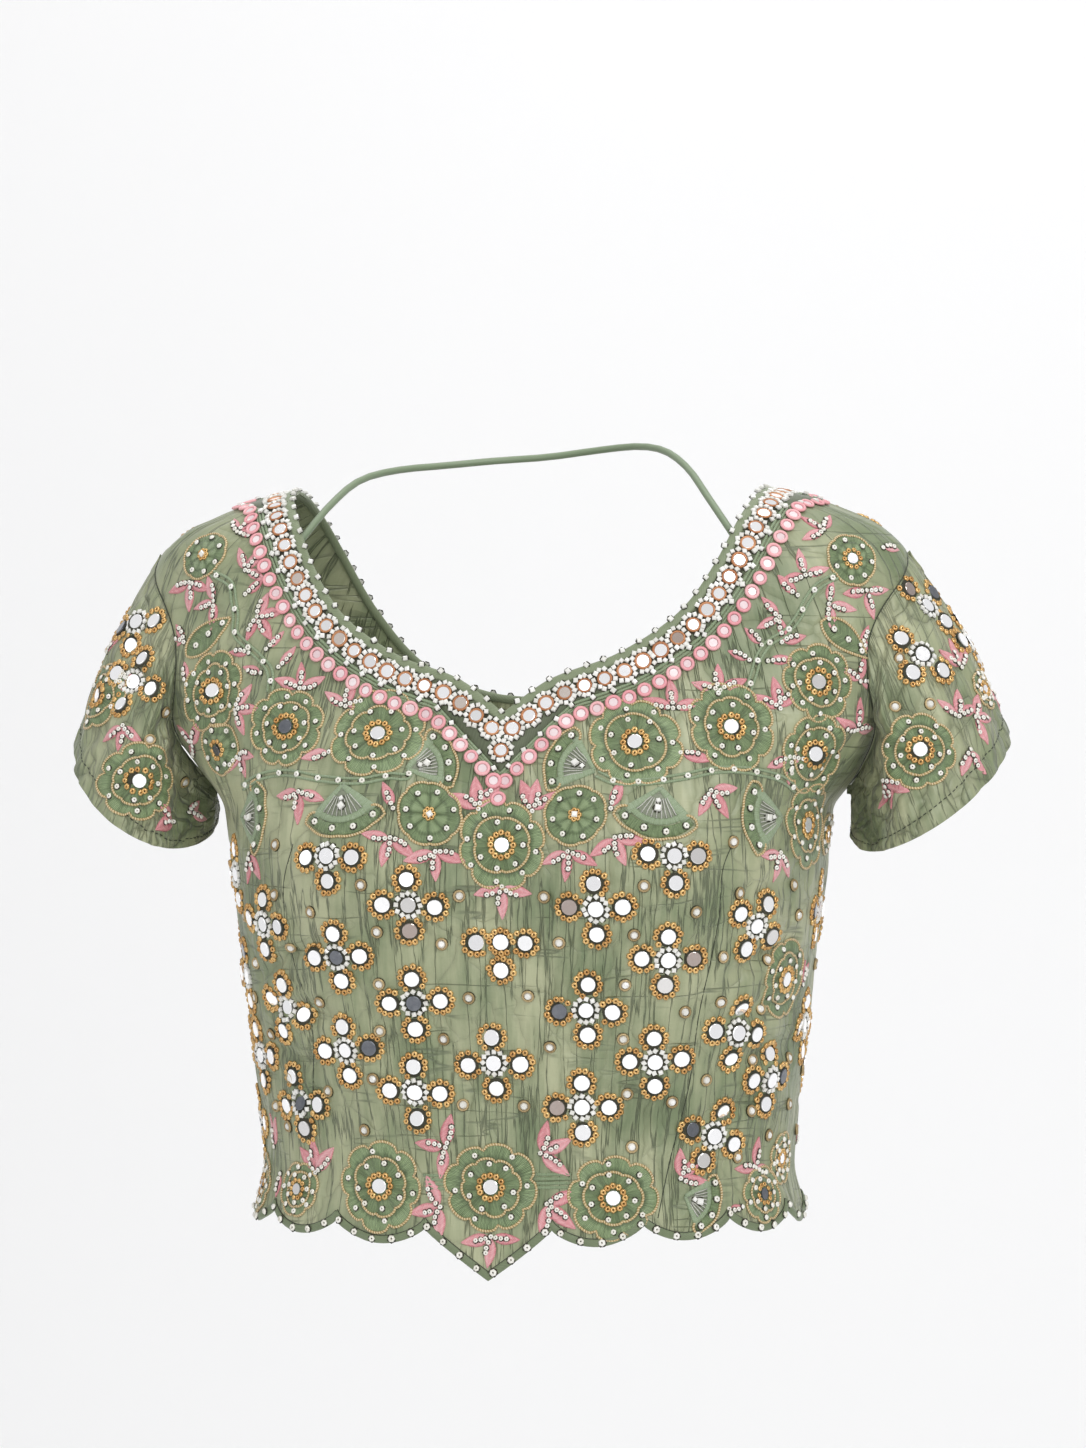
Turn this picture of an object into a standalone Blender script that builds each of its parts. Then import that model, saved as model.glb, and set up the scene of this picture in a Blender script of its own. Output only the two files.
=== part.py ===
"""A choli: a short, fitted blouse with a sweetheart neck, short flared sleeves, a scalloped hem with a
point at the centre, a neck tie and a centre-back opening. It stands open and hollow, as when it is worn.

Metres, +Z up. The wearer faces -Y, and the wearer's left is +X. The origin is midway between the two
shoulder seams, at the height of their neck ends, where the wearer's shoulders carry the blouse.
"""

import math
from collections import namedtuple

import bmesh
import bpy
import numpy as np

# ---------------------------------------------------------------- driving dimensions

CLOTH = 0.0015  # wall of the embroidered silk with its backing
TRIM = 0.0010  # wall of the binding and of the stone trim
SEAM_GAP = 0.0003  # between two pieces that are sewn together
BAND_GAP = 0.0006  # under the bands, which run smoothly over the facets of the cloth
ARMHOLE_GAP = 0.0006  # between bodice and sleeve, whose walls meet at an angle
UNDERARM_GAP = 0.0014  # where the sleeve folds down past the outside of the bodice

# The form that the cloth stands on, as level sections. The upper ones close over the shoulders.
Section = namedtuple("Section", "height half_width front_depth back_depth front_fullness back_fullness")
FORM = (
    Section(0.012, 0.088, 0.030, 0.030, 2.1, 2.1),
    Section(0.000, 0.118, 0.040, 0.040, 2.1, 2.1),
    Section(-0.004, 0.137, 0.047, 0.047, 2.1, 2.1),
    Section(-0.011, 0.158, 0.055, 0.055, 2.2, 2.2),
    Section(-0.020, 0.176, 0.062, 0.062, 2.2, 2.2),
    Section(-0.032, 0.188, 0.068, 0.069, 2.2, 2.2),
    Section(-0.050, 0.194, 0.075, 0.077, 2.2, 2.2),
    Section(-0.080, 0.195, 0.085, 0.088, 2.2, 2.2),
    Section(-0.112, 0.186, 0.094, 0.095, 2.3, 2.2),
    Section(-0.138, 0.167, 0.103, 0.098, 2.4, 2.3),
    Section(-0.160, 0.151, 0.109, 0.099, 2.6, 2.4),
    Section(-0.190, 0.1475, 0.112, 0.096, 2.7, 2.4),
    Section(-0.235, 0.1420, 0.108, 0.089, 2.6, 2.4),
    Section(-0.285, 0.1360, 0.101, 0.083, 2.5, 2.4),
    Section(-0.335, 0.1315, 0.096, 0.081, 2.4, 2.4),
    Section(-0.360, 0.1365, 0.097, 0.084, 2.4, 2.4),
    Section(-0.388, 0.1390, 0.098, 0.086, 2.4, 2.4),
)

# The cups: a soft rise on each side, cut in with the waist darts.
CUP_ACROSS = 0.082
CUP_HEIGHT = -0.188
CUP_RISE = 0.011
CUP_SPREAD_ACROSS = 0.040
CUP_SPREAD_UP = 0.048

# Heights of the outline
NECK_POINT = -0.112  # the point of the sweetheart neck
UNDERARM = -0.147
SHOULDER_TIP = -0.032
HEM = -0.360  # the notches between the scallops, at the centre front
HEM_SIDE_RISE = 0.007  # how much higher they are at the side seam

# Half of the neck edge: how far across and how high, from the centre to the shoulder
FRONT_NECK = (
    (0.000, NECK_POINT),
    (0.020, -0.097),
    (0.055, -0.083),
    (0.085, -0.061),
    (0.100, -0.038),
    (0.110, -0.016),
    (0.118, 0.000),
)
BACK_NECK = (
    (0.000, -0.104),
    (0.034, -0.101),
    (0.068, -0.086),
    (0.091, -0.058),
    (0.106, -0.028),
    (0.118, 0.000),
)

# How far the armhole cuts in from the side seam line, as an angle round the form
ARMHOLE_FRONT = math.radians(15)
ARMHOLE_BACK = math.radians(13)
ARMHOLE_SHAPE = 0.8  # below 1 the foot of the armhole is a broad U

# The hem: one pointed lobe at the centre front and round scallops from there to the centre back
POINT_HALF_WIDTH = 0.031
POINT_DROP = 0.024
SCALLOP_DROP = 0.009
SCALLOPS_FRONT = 3.5  # on each side of the point, up to the side seam
SCALLOPS_BACK = 4.5  # from the side seam to the opening
SCALLOP_FADE = 0.045  # height over which the rows of the cloth level out above the scallops
HEM_TWIST = math.radians(-4)  # the bodice hangs a little round the form

# A sleeve's hem is an oval, lower at its front. The wearer's left sleeve stands out a little more.
SLEEVE_HEM_INNER = (0.1600, -0.002, -0.1690)
SLEEVE_HEM_OUTER = {-1: (0.2320, -0.002, -0.1235), 1: (0.2395, -0.002, -0.1250)}
SLEEVE_HEM_FRONT = (0.0, -0.0570, -0.0230)  # from the centre to the front
SLEEVE_CAP_RISE = 0.0045

BINDING_WIDTH = 0.0055
NECK_TRIM_FROM = 0.0025  # from the neck edge
NECK_TRIM_TO = 0.0170
PLACKET_COLUMNS = 2  # of the back panels' mesh, on each side of the opening

TIE_RADIUS = 0.0018
TIE_ANCHOR_ALONG = 0.80  # where the tie is sewn, as a share of the neck edge up from its point
TIE_ANCHOR_IN = 0.006  # how far inside the neck edge
# The tie's way over the slope of the shoulders and round the nape, from the wearer's right to the left
TIE_ROUTE = (
    (-0.096, -0.026, -0.007),
    (-0.086, 0.002, 0.006),
    (-0.071, 0.027, 0.012),
    (-0.052, 0.047, 0.015),
    (-0.027, 0.060, 0.018),
    (0.000, 0.064, 0.020),
    (0.026, 0.060, 0.023),
    (0.048, 0.046, 0.024),
    (0.063, 0.027, 0.021),
    (0.078, 0.002, 0.011),
    (0.092, -0.025, -0.006),
)

# Mesh fineness
POINT_SEGMENTS = 6
SCALLOP_SEGMENTS = 6
ROWS_BELOW = 7  # from the hem to the underarm
ROWS_ABOVE = 8
ROW_CROWDING = 1.4  # above 1 the rows are closer together near the hem
SLEEVE_ROUND = 2 * ROWS_ABOVE  # so that the sleeve's edge has the corners of the armhole's
SLEEVE_ROWS = 4
NECK_TRIM_SEGMENTS = 18
TIE_POINTS = 34
WELD = 1e-6

COLUMNS = round(SCALLOPS_BACK * SCALLOP_SEGMENTS)  # of half a front and of a back panel alike
ROWS = ROWS_BELOW + ROWS_ABOVE
LEVEL = ROWS_BELOW / ROWS
QUARTER = math.pi / 2
STEP = 1e-5  # for slopes taken from two nearby points
SLEEVE_STEP = 1e-3  # the same along the armhole, which turns sharply at the underarm


# ---------------------------------------------------------------- curves

def monotone(xs, ys):
    """A smooth curve through the points that never swings past them, as a function of x."""
    order = np.argsort(xs)
    xs, ys = np.asarray(xs, float)[order], np.asarray(ys, float)[order]
    step = np.diff(xs)
    slope = np.diff(ys) / step
    ends = np.concatenate([[slope[0]], slope, [slope[-1]]])
    before, after = ends[:-1], ends[1:]
    same_way = before * after > 0
    total = np.where(same_way, before + after, 1.0)
    tangent = np.where(same_way, 2 * before * after / total, 0.0)

    def at(x):
        x = np.clip(np.asarray(x, float), xs[0], xs[-1])
        i = np.clip(np.searchsorted(xs, x) - 1, 0, len(step) - 1)
        t = (x - xs[i]) / step[i]
        rise = ys[i] * (2 * t**3 - 3 * t**2 + 1) + ys[i + 1] * (3 * t**2 - 2 * t**3)
        lean = tangent[i] * (t**3 - 2 * t**2 + t) + tangent[i + 1] * (t**3 - t**2)
        return rise + step[i] * lean

    return at


def through(points):
    """A smooth curve through the points, by share of its length from 0 to 1."""
    points = np.asarray(points, float)
    along = np.concatenate([[0], np.cumsum(np.linalg.norm(np.diff(points, axis=0), axis=1))])
    along /= along[-1]
    tangent = np.gradient(points, along, axis=0)

    def at(share):
        share = np.clip(np.asarray(share, float), 0, 1)
        i = np.clip(np.searchsorted(along, share) - 1, 0, len(along) - 2)
        gap = (along[i + 1] - along[i])[..., None]
        t = (share - along[i])[..., None] / gap
        return (
            points[i] * (2 * t**3 - 3 * t**2 + 1)
            + points[i + 1] * (3 * t**2 - 2 * t**3)
            + gap * tangent[i] * (t**3 - 2 * t**2 + t)
            + gap * tangent[i + 1] * (t**3 - t**2)
        )

    return at


# ---------------------------------------------------------------- the form

heights = [s.height for s in FORM]
half_width_at = monotone(heights, [s.half_width for s in FORM])
front_depth_at = monotone(heights, [s.front_depth for s in FORM])
back_depth_at = monotone(heights, [s.back_depth for s in FORM])
front_fullness_at = monotone(heights, [s.front_fullness for s in FORM])
back_fullness_at = monotone(heights, [s.back_fullness for s in FORM])


def form(turn, height):
    """The point of the form at an angle from the centre front, towards +X, and a height."""
    turn, height = np.broadcast_arrays(np.asarray(turn, float), np.asarray(height, float))
    sine, cosine = np.sin(turn), np.cos(turn)
    is_front = cosine >= 0
    depth = np.where(is_front, front_depth_at(height), back_depth_at(height))
    power = np.where(is_front, front_fullness_at(height), back_fullness_at(height))
    reach = (
        np.abs(sine / half_width_at(height)) ** power + np.abs(cosine / depth) ** power
    ) ** (-1 / power)
    across, forward = reach * sine, reach * cosine
    up = ((height - CUP_HEIGHT) / CUP_SPREAD_UP) ** 2
    for side in (-1, 1):
        out = ((across - side * CUP_ACROSS) / CUP_SPREAD_ACROSS) ** 2
        forward = forward + CUP_RISE * np.exp(-(out + up) / 2) * np.clip(2 * cosine, 0, 1)
    return np.stack([across, -forward, height], axis=-1)


def outward(turn, height):
    """The unit normal of the form, pointing away from the wearer."""
    round_it = form(turn + STEP, height) - form(turn - STEP, height)
    up_it = form(turn, height + STEP) - form(turn, height - STEP)
    normal = np.cross(round_it, up_it)
    return normal / np.linalg.norm(normal, axis=-1, keepdims=True)


def turn_for(across, height, back=False):
    """The angle at which the form is that far across, for a height and a distance from 0 up."""
    across, height = np.broadcast_arrays(np.asarray(across, float), np.asarray(height, float))
    low, high = np.zeros(across.shape), np.full(across.shape, QUARTER)
    for _ in range(40):
        middle = (low + high) / 2
        short = form(math.pi - middle if back else middle, height)[..., 0] < across
        low, high = np.where(short, middle, low), np.where(short, high, middle)
    return math.pi - high if back else high


def twist_at(height):
    """How far the bodice has turned round the form at a height: none at the underarm, all at the hem."""
    share = np.clip((UNDERARM - height) / (UNDERARM - HEM), 0, 1)
    return HEM_TWIST * share**2 * (3 - 2 * share)


# ---------------------------------------------------------------- the hem

_turns = np.linspace(0, math.pi, 721)
_ring = form(_turns, np.full_like(_turns, HEM))
_lengths = np.concatenate([[0], np.cumsum(np.linalg.norm(np.diff(_ring, axis=0), axis=1))])
SIDE_LENGTH = float(np.interp(QUARTER, _turns, _lengths))  # hem from centre front to side seam
BACK_LENGTH = float(_lengths[-1]) - SIDE_LENGTH
PITCH_FRONT = (SIDE_LENGTH - POINT_HALF_WIDTH) / SCALLOPS_FRONT
PITCH_BACK = BACK_LENGTH / SCALLOPS_BACK


def hem_turn(along):
    """The angle round the form at a distance along the hem from the centre front."""
    return np.interp(along, _lengths, _turns)


def hem_base(along):
    """The height of the hem's notches at a distance from the centre front."""
    return HEM + HEM_SIDE_RISE * np.sin(hem_turn(np.abs(along))) ** 2


def hem_drop(along):
    """How far the hem reaches below its notches at a distance from the centre front."""
    along = np.abs(along)
    point = POINT_DROP * np.clip(1 - along / POINT_HALF_WIDTH, 0, 1) ** 0.9
    count = np.where(
        along < SIDE_LENGTH,
        (along - POINT_HALF_WIDTH) / PITCH_FRONT,
        (along - SIDE_LENGTH) / PITCH_BACK + SCALLOPS_FRONT,
    )
    scallop = SCALLOP_DROP * np.abs(np.sin(math.pi * count)) ** 0.75
    return np.where(along < POINT_HALF_WIDTH, point, scallop)


# ---------------------------------------------------------------- the bodice panels

front_neck_at = through(FRONT_NECK)
back_neck_at = through(BACK_NECK)


def armhole(share, back=False):
    """(turn, height) of the armhole, from the underarm at 0 to the shoulder tip at 1."""
    drop = (1 + np.cos(math.pi * np.asarray(share, float))) / 2
    height = SHOULDER_TIP + (UNDERARM - SHOULDER_TIP) * drop
    cut = ARMHOLE_BACK if back else ARMHOLE_FRONT
    in_from_side = cut * np.abs(np.sin(math.pi * drop)) ** ARMHOLE_SHAPE
    return (QUARTER + in_from_side if back else QUARTER - in_from_side), height


def neck(share, back=False):
    """(turn, height) of the neck edge, from the centre at 0 to the shoulder at 1."""
    place = (back_neck_at if back else front_neck_at)(share)
    return turn_for(place[..., 0], place[..., 1], back), place[..., 1]


def along_hem(share, back=False):
    """Distance along the hem from the centre front, for a share of a half panel's columns from its
    centre to the side seam. The columns meet the notches of the hem."""
    if back:
        return SIDE_LENGTH + BACK_LENGTH * (1 - share)
    at_notch = POINT_SEGMENTS / (POINT_SEGMENTS + SCALLOPS_FRONT * SCALLOP_SEGMENTS)
    return np.interp(share, [0, at_notch, 1], [0, POINT_HALF_WIDTH, SIDE_LENGTH])


def half_bodice(share, rise, back=False):
    """(turn, height) in half a bodice. share runs from its centre to the side seam and the armhole.
    rise runs from the hem at 0, past the neck point and the underarm at LEVEL, to the shoulder seam."""
    along = along_hem(share, back)
    turn = hem_turn(along)
    below = np.clip(rise / LEVEL, 0, 1) ** ROW_CROWDING
    above = np.clip((rise - LEVEL) / (1 - LEVEL), 0, 1)
    inner_turn, inner_height = neck(above, back)
    outer_turn, outer_height = armhole(above, back)
    base = hem_base(along)
    inner_height = base + (inner_height - base) * below
    outer_height = base + (outer_height - base) * below
    hem_share = (math.pi - turn if back else turn) / QUARTER
    share = hem_share + (share - hem_share) * above
    turn = inner_turn + (outer_turn - inner_turn) * share
    height = inner_height + (outer_height - inner_height) * share
    fade = np.clip(1 - (height - base) / SCALLOP_FADE, 0, 1)
    return turn, height - hem_drop(along) * fade


def off_the_seams(turn, height, back=False):
    """The angles again, kept half a seam's gap away from the side, shoulder and centre-back seams."""
    half_gap = SEAM_GAP / 2
    at_side = half_gap / half_width_at(height)
    if not back:
        return np.minimum(turn, QUARTER - at_side)
    at_centre = half_gap / back_depth_at(height)
    return np.clip(turn, QUARTER + at_side, math.pi - at_centre)


def placed(turn, height, side, lift=0.0):
    """The points of the bodice on one side, 1 for the wearer's left, lifted off the form."""
    turn = side * turn + twist_at(height)
    return form(turn, height) + lift * outward(turn, height)


# ---------------------------------------------------------------- making objects

def material(name, colour, roughness, metallic=0.0):
    made = bpy.data.materials.new(name)
    made.use_nodes = True
    shader = made.node_tree.nodes["Principled BSDF"]
    shader.inputs["Base Color"].default_value = (*colour, 1)
    shader.inputs["Roughness"].default_value = roughness
    shader.inputs["Metallic"].default_value = metallic
    return made


def roll_up(bm):
    """Bends a grid into a tube, which is closed along its sides."""
    for vert in bm.verts:
        turn = math.pi * vert.co.x
        vert.co = (math.cos(turn), math.sin(turn), vert.co.y)
    bmesh.ops.remove_doubles(bm, verts=bm.verts, dist=WELD)


def slit(bm, start):
    """Parts a grid down its middle from v = start to its top edge."""
    middle = [vert for vert in bm.verts if abs(vert.co.x) < WELD and vert.co.y > 2 * start - 1 - WELD]
    bmesh.ops.split_edges(bm, edges=[edge for edge in bm.edges if all(v in middle for v in edge.verts)])
    for vert in bm.verts:
        if abs(vert.co.x) < WELD:
            centres = [face.calc_center_median().x for face in vert.link_faces]
            if min(centres) > 0 or max(centres) < 0:
                vert.co.x += math.copysign(WELD, centres[0])


def cloth(name, columns, rows, place, finish, is_tube=False, slit_from=None):
    """An object with the closed wall of a cloth of columns by rows. place(u, v, behind) says where its
    points go: behind is 0 on the outer face and 1 on the inner face."""
    bm = bmesh.new()
    bmesh.ops.create_grid(bm, x_segments=columns, y_segments=rows, size=1)
    if is_tube:
        roll_up(bm)
    if slit_from is not None:
        slit(bm, slit_from)
    outer = list(bm.verts)
    made = bmesh.ops.extrude_face_region(bm, geom=list(bm.faces), use_keep_orig=True)
    inner = [part for part in made["geom"] if isinstance(part, bmesh.types.BMVert)]
    for behind, verts in enumerate((outer, inner)):
        x, y, z = np.array([vert.co for vert in verts]).T
        u, v = (np.arctan2(y, x) / math.tau, (z + 1) / 2) if is_tube else ((x + 1) / 2, (y + 1) / 2)
        for vert, point in zip(verts, place(u, v, behind)):
            vert.co = point
    bmesh.ops.recalc_face_normals(bm, faces=list(bm.faces))
    mesh = bpy.data.meshes.new(name)
    bm.to_mesh(mesh)
    bm.free()
    mesh.materials.append(finish)
    obj = bpy.data.objects.new(name, mesh)
    blouse.objects.link(obj)
    return obj


def make_front(finish):
    def place(u, v, behind):
        across = 2 * u - 1
        turn, height = half_bodice(np.abs(across), v)
        return placed(off_the_seams(turn, height), height, np.sign(across), -CLOTH * behind)

    return cloth("front_panel", 2 * COLUMNS, ROWS, place, finish, slit_from=LEVEL)


def make_back(side, finish):
    def place(u, v, behind):
        turn, height = half_bodice(1 - u, v, back=True)
        return placed(off_the_seams(turn, height, back=True), height, side, -CLOTH * behind)

    return cloth("back_panel_left" if side > 0 else "back_panel_right", COLUMNS, ROWS, place, finish)


# ---------------------------------------------------------------- bands along an edge

def beside(turn, height, distance):
    """(turn, height) at a distance from a line on the form, to its left seen from outside."""
    edge, normals = form(turn, height), outward(turn, height)
    ahead = np.diff(edge, axis=0)
    ahead /= np.linalg.norm(ahead, axis=1, keepdims=True)
    before, after = np.vstack([ahead[:1], ahead]), np.vstack([ahead, ahead[-1:]])
    left = np.cross(normals, before) + np.cross(normals, after)
    moved = edge + distance * 2 * left / (left**2).sum(axis=1, keepdims=True)
    return np.arctan2(moved[:, 0], -moved[:, 1]), moved[:, 2]


def band(name, low, high, finish):
    """A flat strip just above the cloth, between two lines of (turn, height) points."""
    columns = len(low[0]) - 1

    def place(u, v, behind):
        i, is_high = np.rint(u * columns).astype(int), v > 0.5
        turn = np.where(is_high, high[0][i], low[0][i])
        height = np.where(is_high, high[1][i], low[1][i])
        return form(turn, height) + (BAND_GAP + TRIM * (1 - behind)) * outward(turn, height)

    return cloth(name, columns, 1, place, finish)


def make_hem_bindings(finish):
    """The narrow bias strip on the edge of the scallops, in three lengths."""
    share = np.linspace(0, 1, COLUMNS + 1)
    front, back = along_hem(share), along_hem(share, back=True)[::-1]
    front[-1] -= SEAM_GAP / 2
    back[0] += SEAM_GAP / 2
    back[-1] -= SEAM_GAP / 2
    lengths = {
        "hem_binding_front": np.concatenate([-front[:0:-1], front]),
        "hem_binding_back_left": back,
        "hem_binding_back_right": -back[::-1],
    }
    for name, along in lengths.items():
        height = hem_base(along) - hem_drop(along)
        turn = np.sign(along) * hem_turn(np.abs(along)) + twist_at(height)
        steepness = np.gradient(height, along)
        top = height + BINDING_WIDTH * np.sqrt(1 + steepness**2)
        band(name, (turn, height), (turn, top), finish)


def neck_line(distance, back=False):
    """(turn, height) of a line at a distance outside the neck edge, from the centre to the shoulder."""
    share = np.linspace(0, 1, NECK_TRIM_SEGMENTS + 1)
    turn, height = neck(share, back)
    if back:
        turn, height = beside(turn, height, distance)
    else:
        turn, height = beside(turn[::-1], height[::-1], distance)
        turn, height = turn[::-1], height[::-1]
    ridge = np.linspace(0, SHOULDER_TIP, 50)
    along_ridge = np.hypot(half_width_at(ridge) - half_width_at(0), ridge)
    height[-1] = np.interp(distance, along_ridge, ridge)
    at_seam = SEAM_GAP / 2 / half_width_at(height[-1])
    turn[-1] = QUARTER + at_seam if back else QUARTER - at_seam
    return turn, height


def make_neck_trims(finish):
    """The stone-set strip beside the neck edge, in three lengths that meet at the seams."""
    near, far = (neck_line(distance) for distance in (NECK_TRIM_FROM, NECK_TRIM_TO))
    low, high = (
        (np.concatenate([-turn[:0:-1], [0.0], turn[1:]]), np.concatenate([height[:0:-1], height]))
        for turn, height in (far, near)
    )
    band("neck_trim_front", low, high, finish)
    near, far = (neck_line(distance, back=True) for distance in (NECK_TRIM_FROM, NECK_TRIM_TO))
    for turn, height in (near, far):
        turn[0] = math.pi - SEAM_GAP / 2 / back_depth_at(height[0])
    band("neck_trim_back_left", far, near, finish)
    band("neck_trim_back_right", *((-turn, height) for turn, height in (far, near)), finish)


def make_placket(finish):
    """The underlap behind the centre-back opening, which holds the hooks, from the hem to the neck. It
    has the panels' own rows and columns, so that it lies flat against them."""
    depth_in = CLOTH + BAND_GAP

    def place(u, v, behind):
        past_opening = (2 * u - 1) * PLACKET_COLUMNS / COLUMNS
        turn, height = half_bodice(np.abs(past_opening), v * LEVEL, back=True)
        turn = np.where(past_opening > 0, 2 * math.pi - turn, turn)
        return placed(turn, height, 1, -depth_in - TRIM * behind)

    return cloth("back_placket", 2 * PLACKET_COLUMNS, ROWS_BELOW, place, finish)


# ---------------------------------------------------------------- sleeves and tie

def sleeve_start(angle):
    """The sleeve's edge at the armhole of the wearer's left. The angle runs from the shoulder tip over
    the front to the underarm at half a turn, and up the back."""
    angle = np.mod(angle, math.tau)
    share = np.abs(1 - angle / math.pi)
    is_back = angle > math.pi
    front_turn, height = armhole(share)
    back_turn, _ = armhole(share, back=True)
    turn = np.where(is_back, back_turn, front_turn)
    return form(turn, height), outward(turn, height)


def sleeve_surface(angle, down, side):
    """The outer face of a sleeve, as it would be on the wearer's left, from the armhole at down 0 to
    its hem at 1."""
    start, normal = sleeve_start(angle)
    ahead, _ = sleeve_start(angle + SLEEVE_STEP)
    behind, _ = sleeve_start(angle - SLEEVE_STEP)
    along = ahead - behind
    along /= np.linalg.norm(along, axis=-1, keepdims=True)
    outer, inner = np.array(SLEEVE_HEM_OUTER[side]), np.array(SLEEVE_HEM_INNER)
    cosine, sine = np.cos(angle)[..., None], np.sin(angle)[..., None]
    start = start + ARMHOLE_GAP * np.cross(normal, along) + UNDERARM_GAP * normal * (1 - cosine) / 2
    to_outer, to_front = (outer - inner) / 2, np.array(SLEEVE_HEM_FRONT)
    hem = (outer + inner) / 2 + cosine * to_outer + sine * to_front
    down = np.asarray(down)[..., None]
    away = cosine * to_outer / np.linalg.norm(to_outer) + sine * to_front / np.linalg.norm(to_front)
    rise = SLEEVE_CAP_RISE * 4 * down * (1 - down) * (1 + cosine) / 2
    return start + (hem - start) * down + rise * away


def make_sleeve(side, finish):
    def place(u, v, behind):
        angle, down = math.tau * np.mod(u, 1.0), 1 - v
        points = sleeve_surface(angle, down, side)
        round_it = sleeve_surface(angle + STEP, down, side) - sleeve_surface(angle - STEP, down, side)
        down_it = sleeve_surface(angle, down + STEP, side) - sleeve_surface(angle, down - STEP, side)
        normal = np.cross(round_it, down_it)
        normal /= np.linalg.norm(normal, axis=-1, keepdims=True)
        return (points - CLOTH * behind * normal) * (side, 1, 1)

    name = "sleeve_left" if side > 0 else "sleeve_right"
    return cloth(name, SLEEVE_ROUND, SLEEVE_ROWS, place, finish, is_tube=True)


def make_neck_tie(finish):
    """The round fabric cord from one side of the neck edge, behind the nape, to the other."""
    turn, height = neck(np.array([TIE_ANCHOR_ALONG]))
    turn = turn + TIE_ANCHOR_IN / np.linalg.norm(form(turn, height)[:, :2], axis=1)
    sewn_at = (form(turn, height) - (CLOTH + 2 * BAND_GAP + TIE_RADIUS) * outward(turn, height))[0]
    route = [sewn_at * (-1, 1, 1), *TIE_ROUTE, sewn_at]
    points = through(route)(np.linspace(0, 1, TIE_POINTS))
    curve = bpy.data.curves.new("neck_tie", "CURVE")
    curve.dimensions = "3D"
    curve.bevel_depth = TIE_RADIUS
    curve.bevel_resolution = 2
    curve.use_fill_caps = True
    spline = curve.splines.new("POLY")
    spline.points.add(len(points) - 1)
    for knot, point in zip(spline.points, points):
        knot.co = (*point, 1)
    obj = bpy.data.objects.new("neck_tie", curve)
    blouse.objects.link(obj)
    curve.materials.append(finish)
    return obj


# ---------------------------------------------------------------- the blouse

for old in list(bpy.data.objects):
    bpy.data.objects.remove(old)
blouse = bpy.data.collections.new("choli_blouse")
bpy.context.scene.collection.children.link(blouse)

silk = material("sage_silk", (0.20, 0.26, 0.18), 0.55)
binding_silk = material("binding_silk", (0.15, 0.24, 0.17), 0.5)
stone_trim = material("stone_trim", (0.80, 0.78, 0.72), 0.25)

make_front(silk)
for wearer_side in (-1, 1):
    make_back(wearer_side, silk)
    make_sleeve(wearer_side, silk)
make_placket(silk)
make_hem_bindings(binding_silk)
make_neck_trims(stone_trim)
make_neck_tie(binding_silk)
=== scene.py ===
"""The looks of the choli: its creased silk, and the mirrors, beads, cords and satin stitch sewn on it.

Metres, +Z up. The wearer faces -Y, and the wearer's left is +X. The tables hold millimetres and degrees.
"""

import math
from collections import namedtuple

import bmesh
import bpy
import numpy as np
from bpy.props import FloatProperty, FloatVectorProperty, PointerProperty
from mathutils import Matrix, Vector
from mathutils.bvhtree import BVHTree


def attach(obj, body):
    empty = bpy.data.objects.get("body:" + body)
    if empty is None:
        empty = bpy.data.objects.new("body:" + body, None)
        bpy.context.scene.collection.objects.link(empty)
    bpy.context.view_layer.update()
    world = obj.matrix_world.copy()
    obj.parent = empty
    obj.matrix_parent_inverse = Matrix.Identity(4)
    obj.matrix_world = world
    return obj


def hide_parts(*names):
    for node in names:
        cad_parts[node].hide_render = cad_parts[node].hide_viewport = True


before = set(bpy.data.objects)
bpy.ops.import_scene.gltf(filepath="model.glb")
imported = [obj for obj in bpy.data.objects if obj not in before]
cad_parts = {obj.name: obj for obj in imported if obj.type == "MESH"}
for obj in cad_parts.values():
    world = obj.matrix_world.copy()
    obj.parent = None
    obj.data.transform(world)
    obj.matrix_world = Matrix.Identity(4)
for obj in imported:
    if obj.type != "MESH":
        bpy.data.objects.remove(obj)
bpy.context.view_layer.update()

bl_info = {
    "name": "Mirror-work choli",
    "version": (1, 0, 0),
    "blender": (4, 5, 0),
    "location": "3D View > Sidebar > Choli",
    "description": "Dresses a choli blouse in creased silk with mirrors, beads, cords and satin stitch",
    "category": "Object",
}

MM = 0.001
QUARTER = math.pi / 2
STEP = 1e-5
BODY = "root"
SIDES = ((1, "left"), (-1, "right"))
PANELS = ("front", "back_left", "back_right")
TUBE_ROUND = 0.34  # length of a sleeve round its middle, in its flat cloth


# ---------------------------------------------------------------- what a user would change

class CholiSilk(bpy.types.PropertyGroup):
    """The cloth of the blouse."""
    colour: FloatVectorProperty(
        name="Silk", description="Colour of the silk where it is flat", subtype="COLOR",
        size=3, min=0, max=1, default=(0.168, 0.214, 0.109))
    # The colour painted into the crush lines and the crumples' ridges as their shade
    painted_crease_shade: FloatVectorProperty(
        name="Silk in the creases", description="Colour of the silk in its crush lines", subtype="COLOR",
        size=3, min=0, max=1, default=(0.072, 0.090, 0.048))
    binding: FloatVectorProperty(
        name="Binding", description="Colour of the strip on the hem and beside the neck", subtype="COLOR",
        size=3, min=0, max=1, default=(0.203, 0.254, 0.139))
    wall: FloatProperty(
        name="Thickness", description="How thick the cloth is", unit="LENGTH", default=1.1 * MM,
        min=0.5 * MM, max=2 * MM)
    creasing: FloatProperty(
        name="Creasing", description="How deep the creases are, as a share of the worn ones",
        subtype="FACTOR", default=1.0, min=0, max=2)


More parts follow.
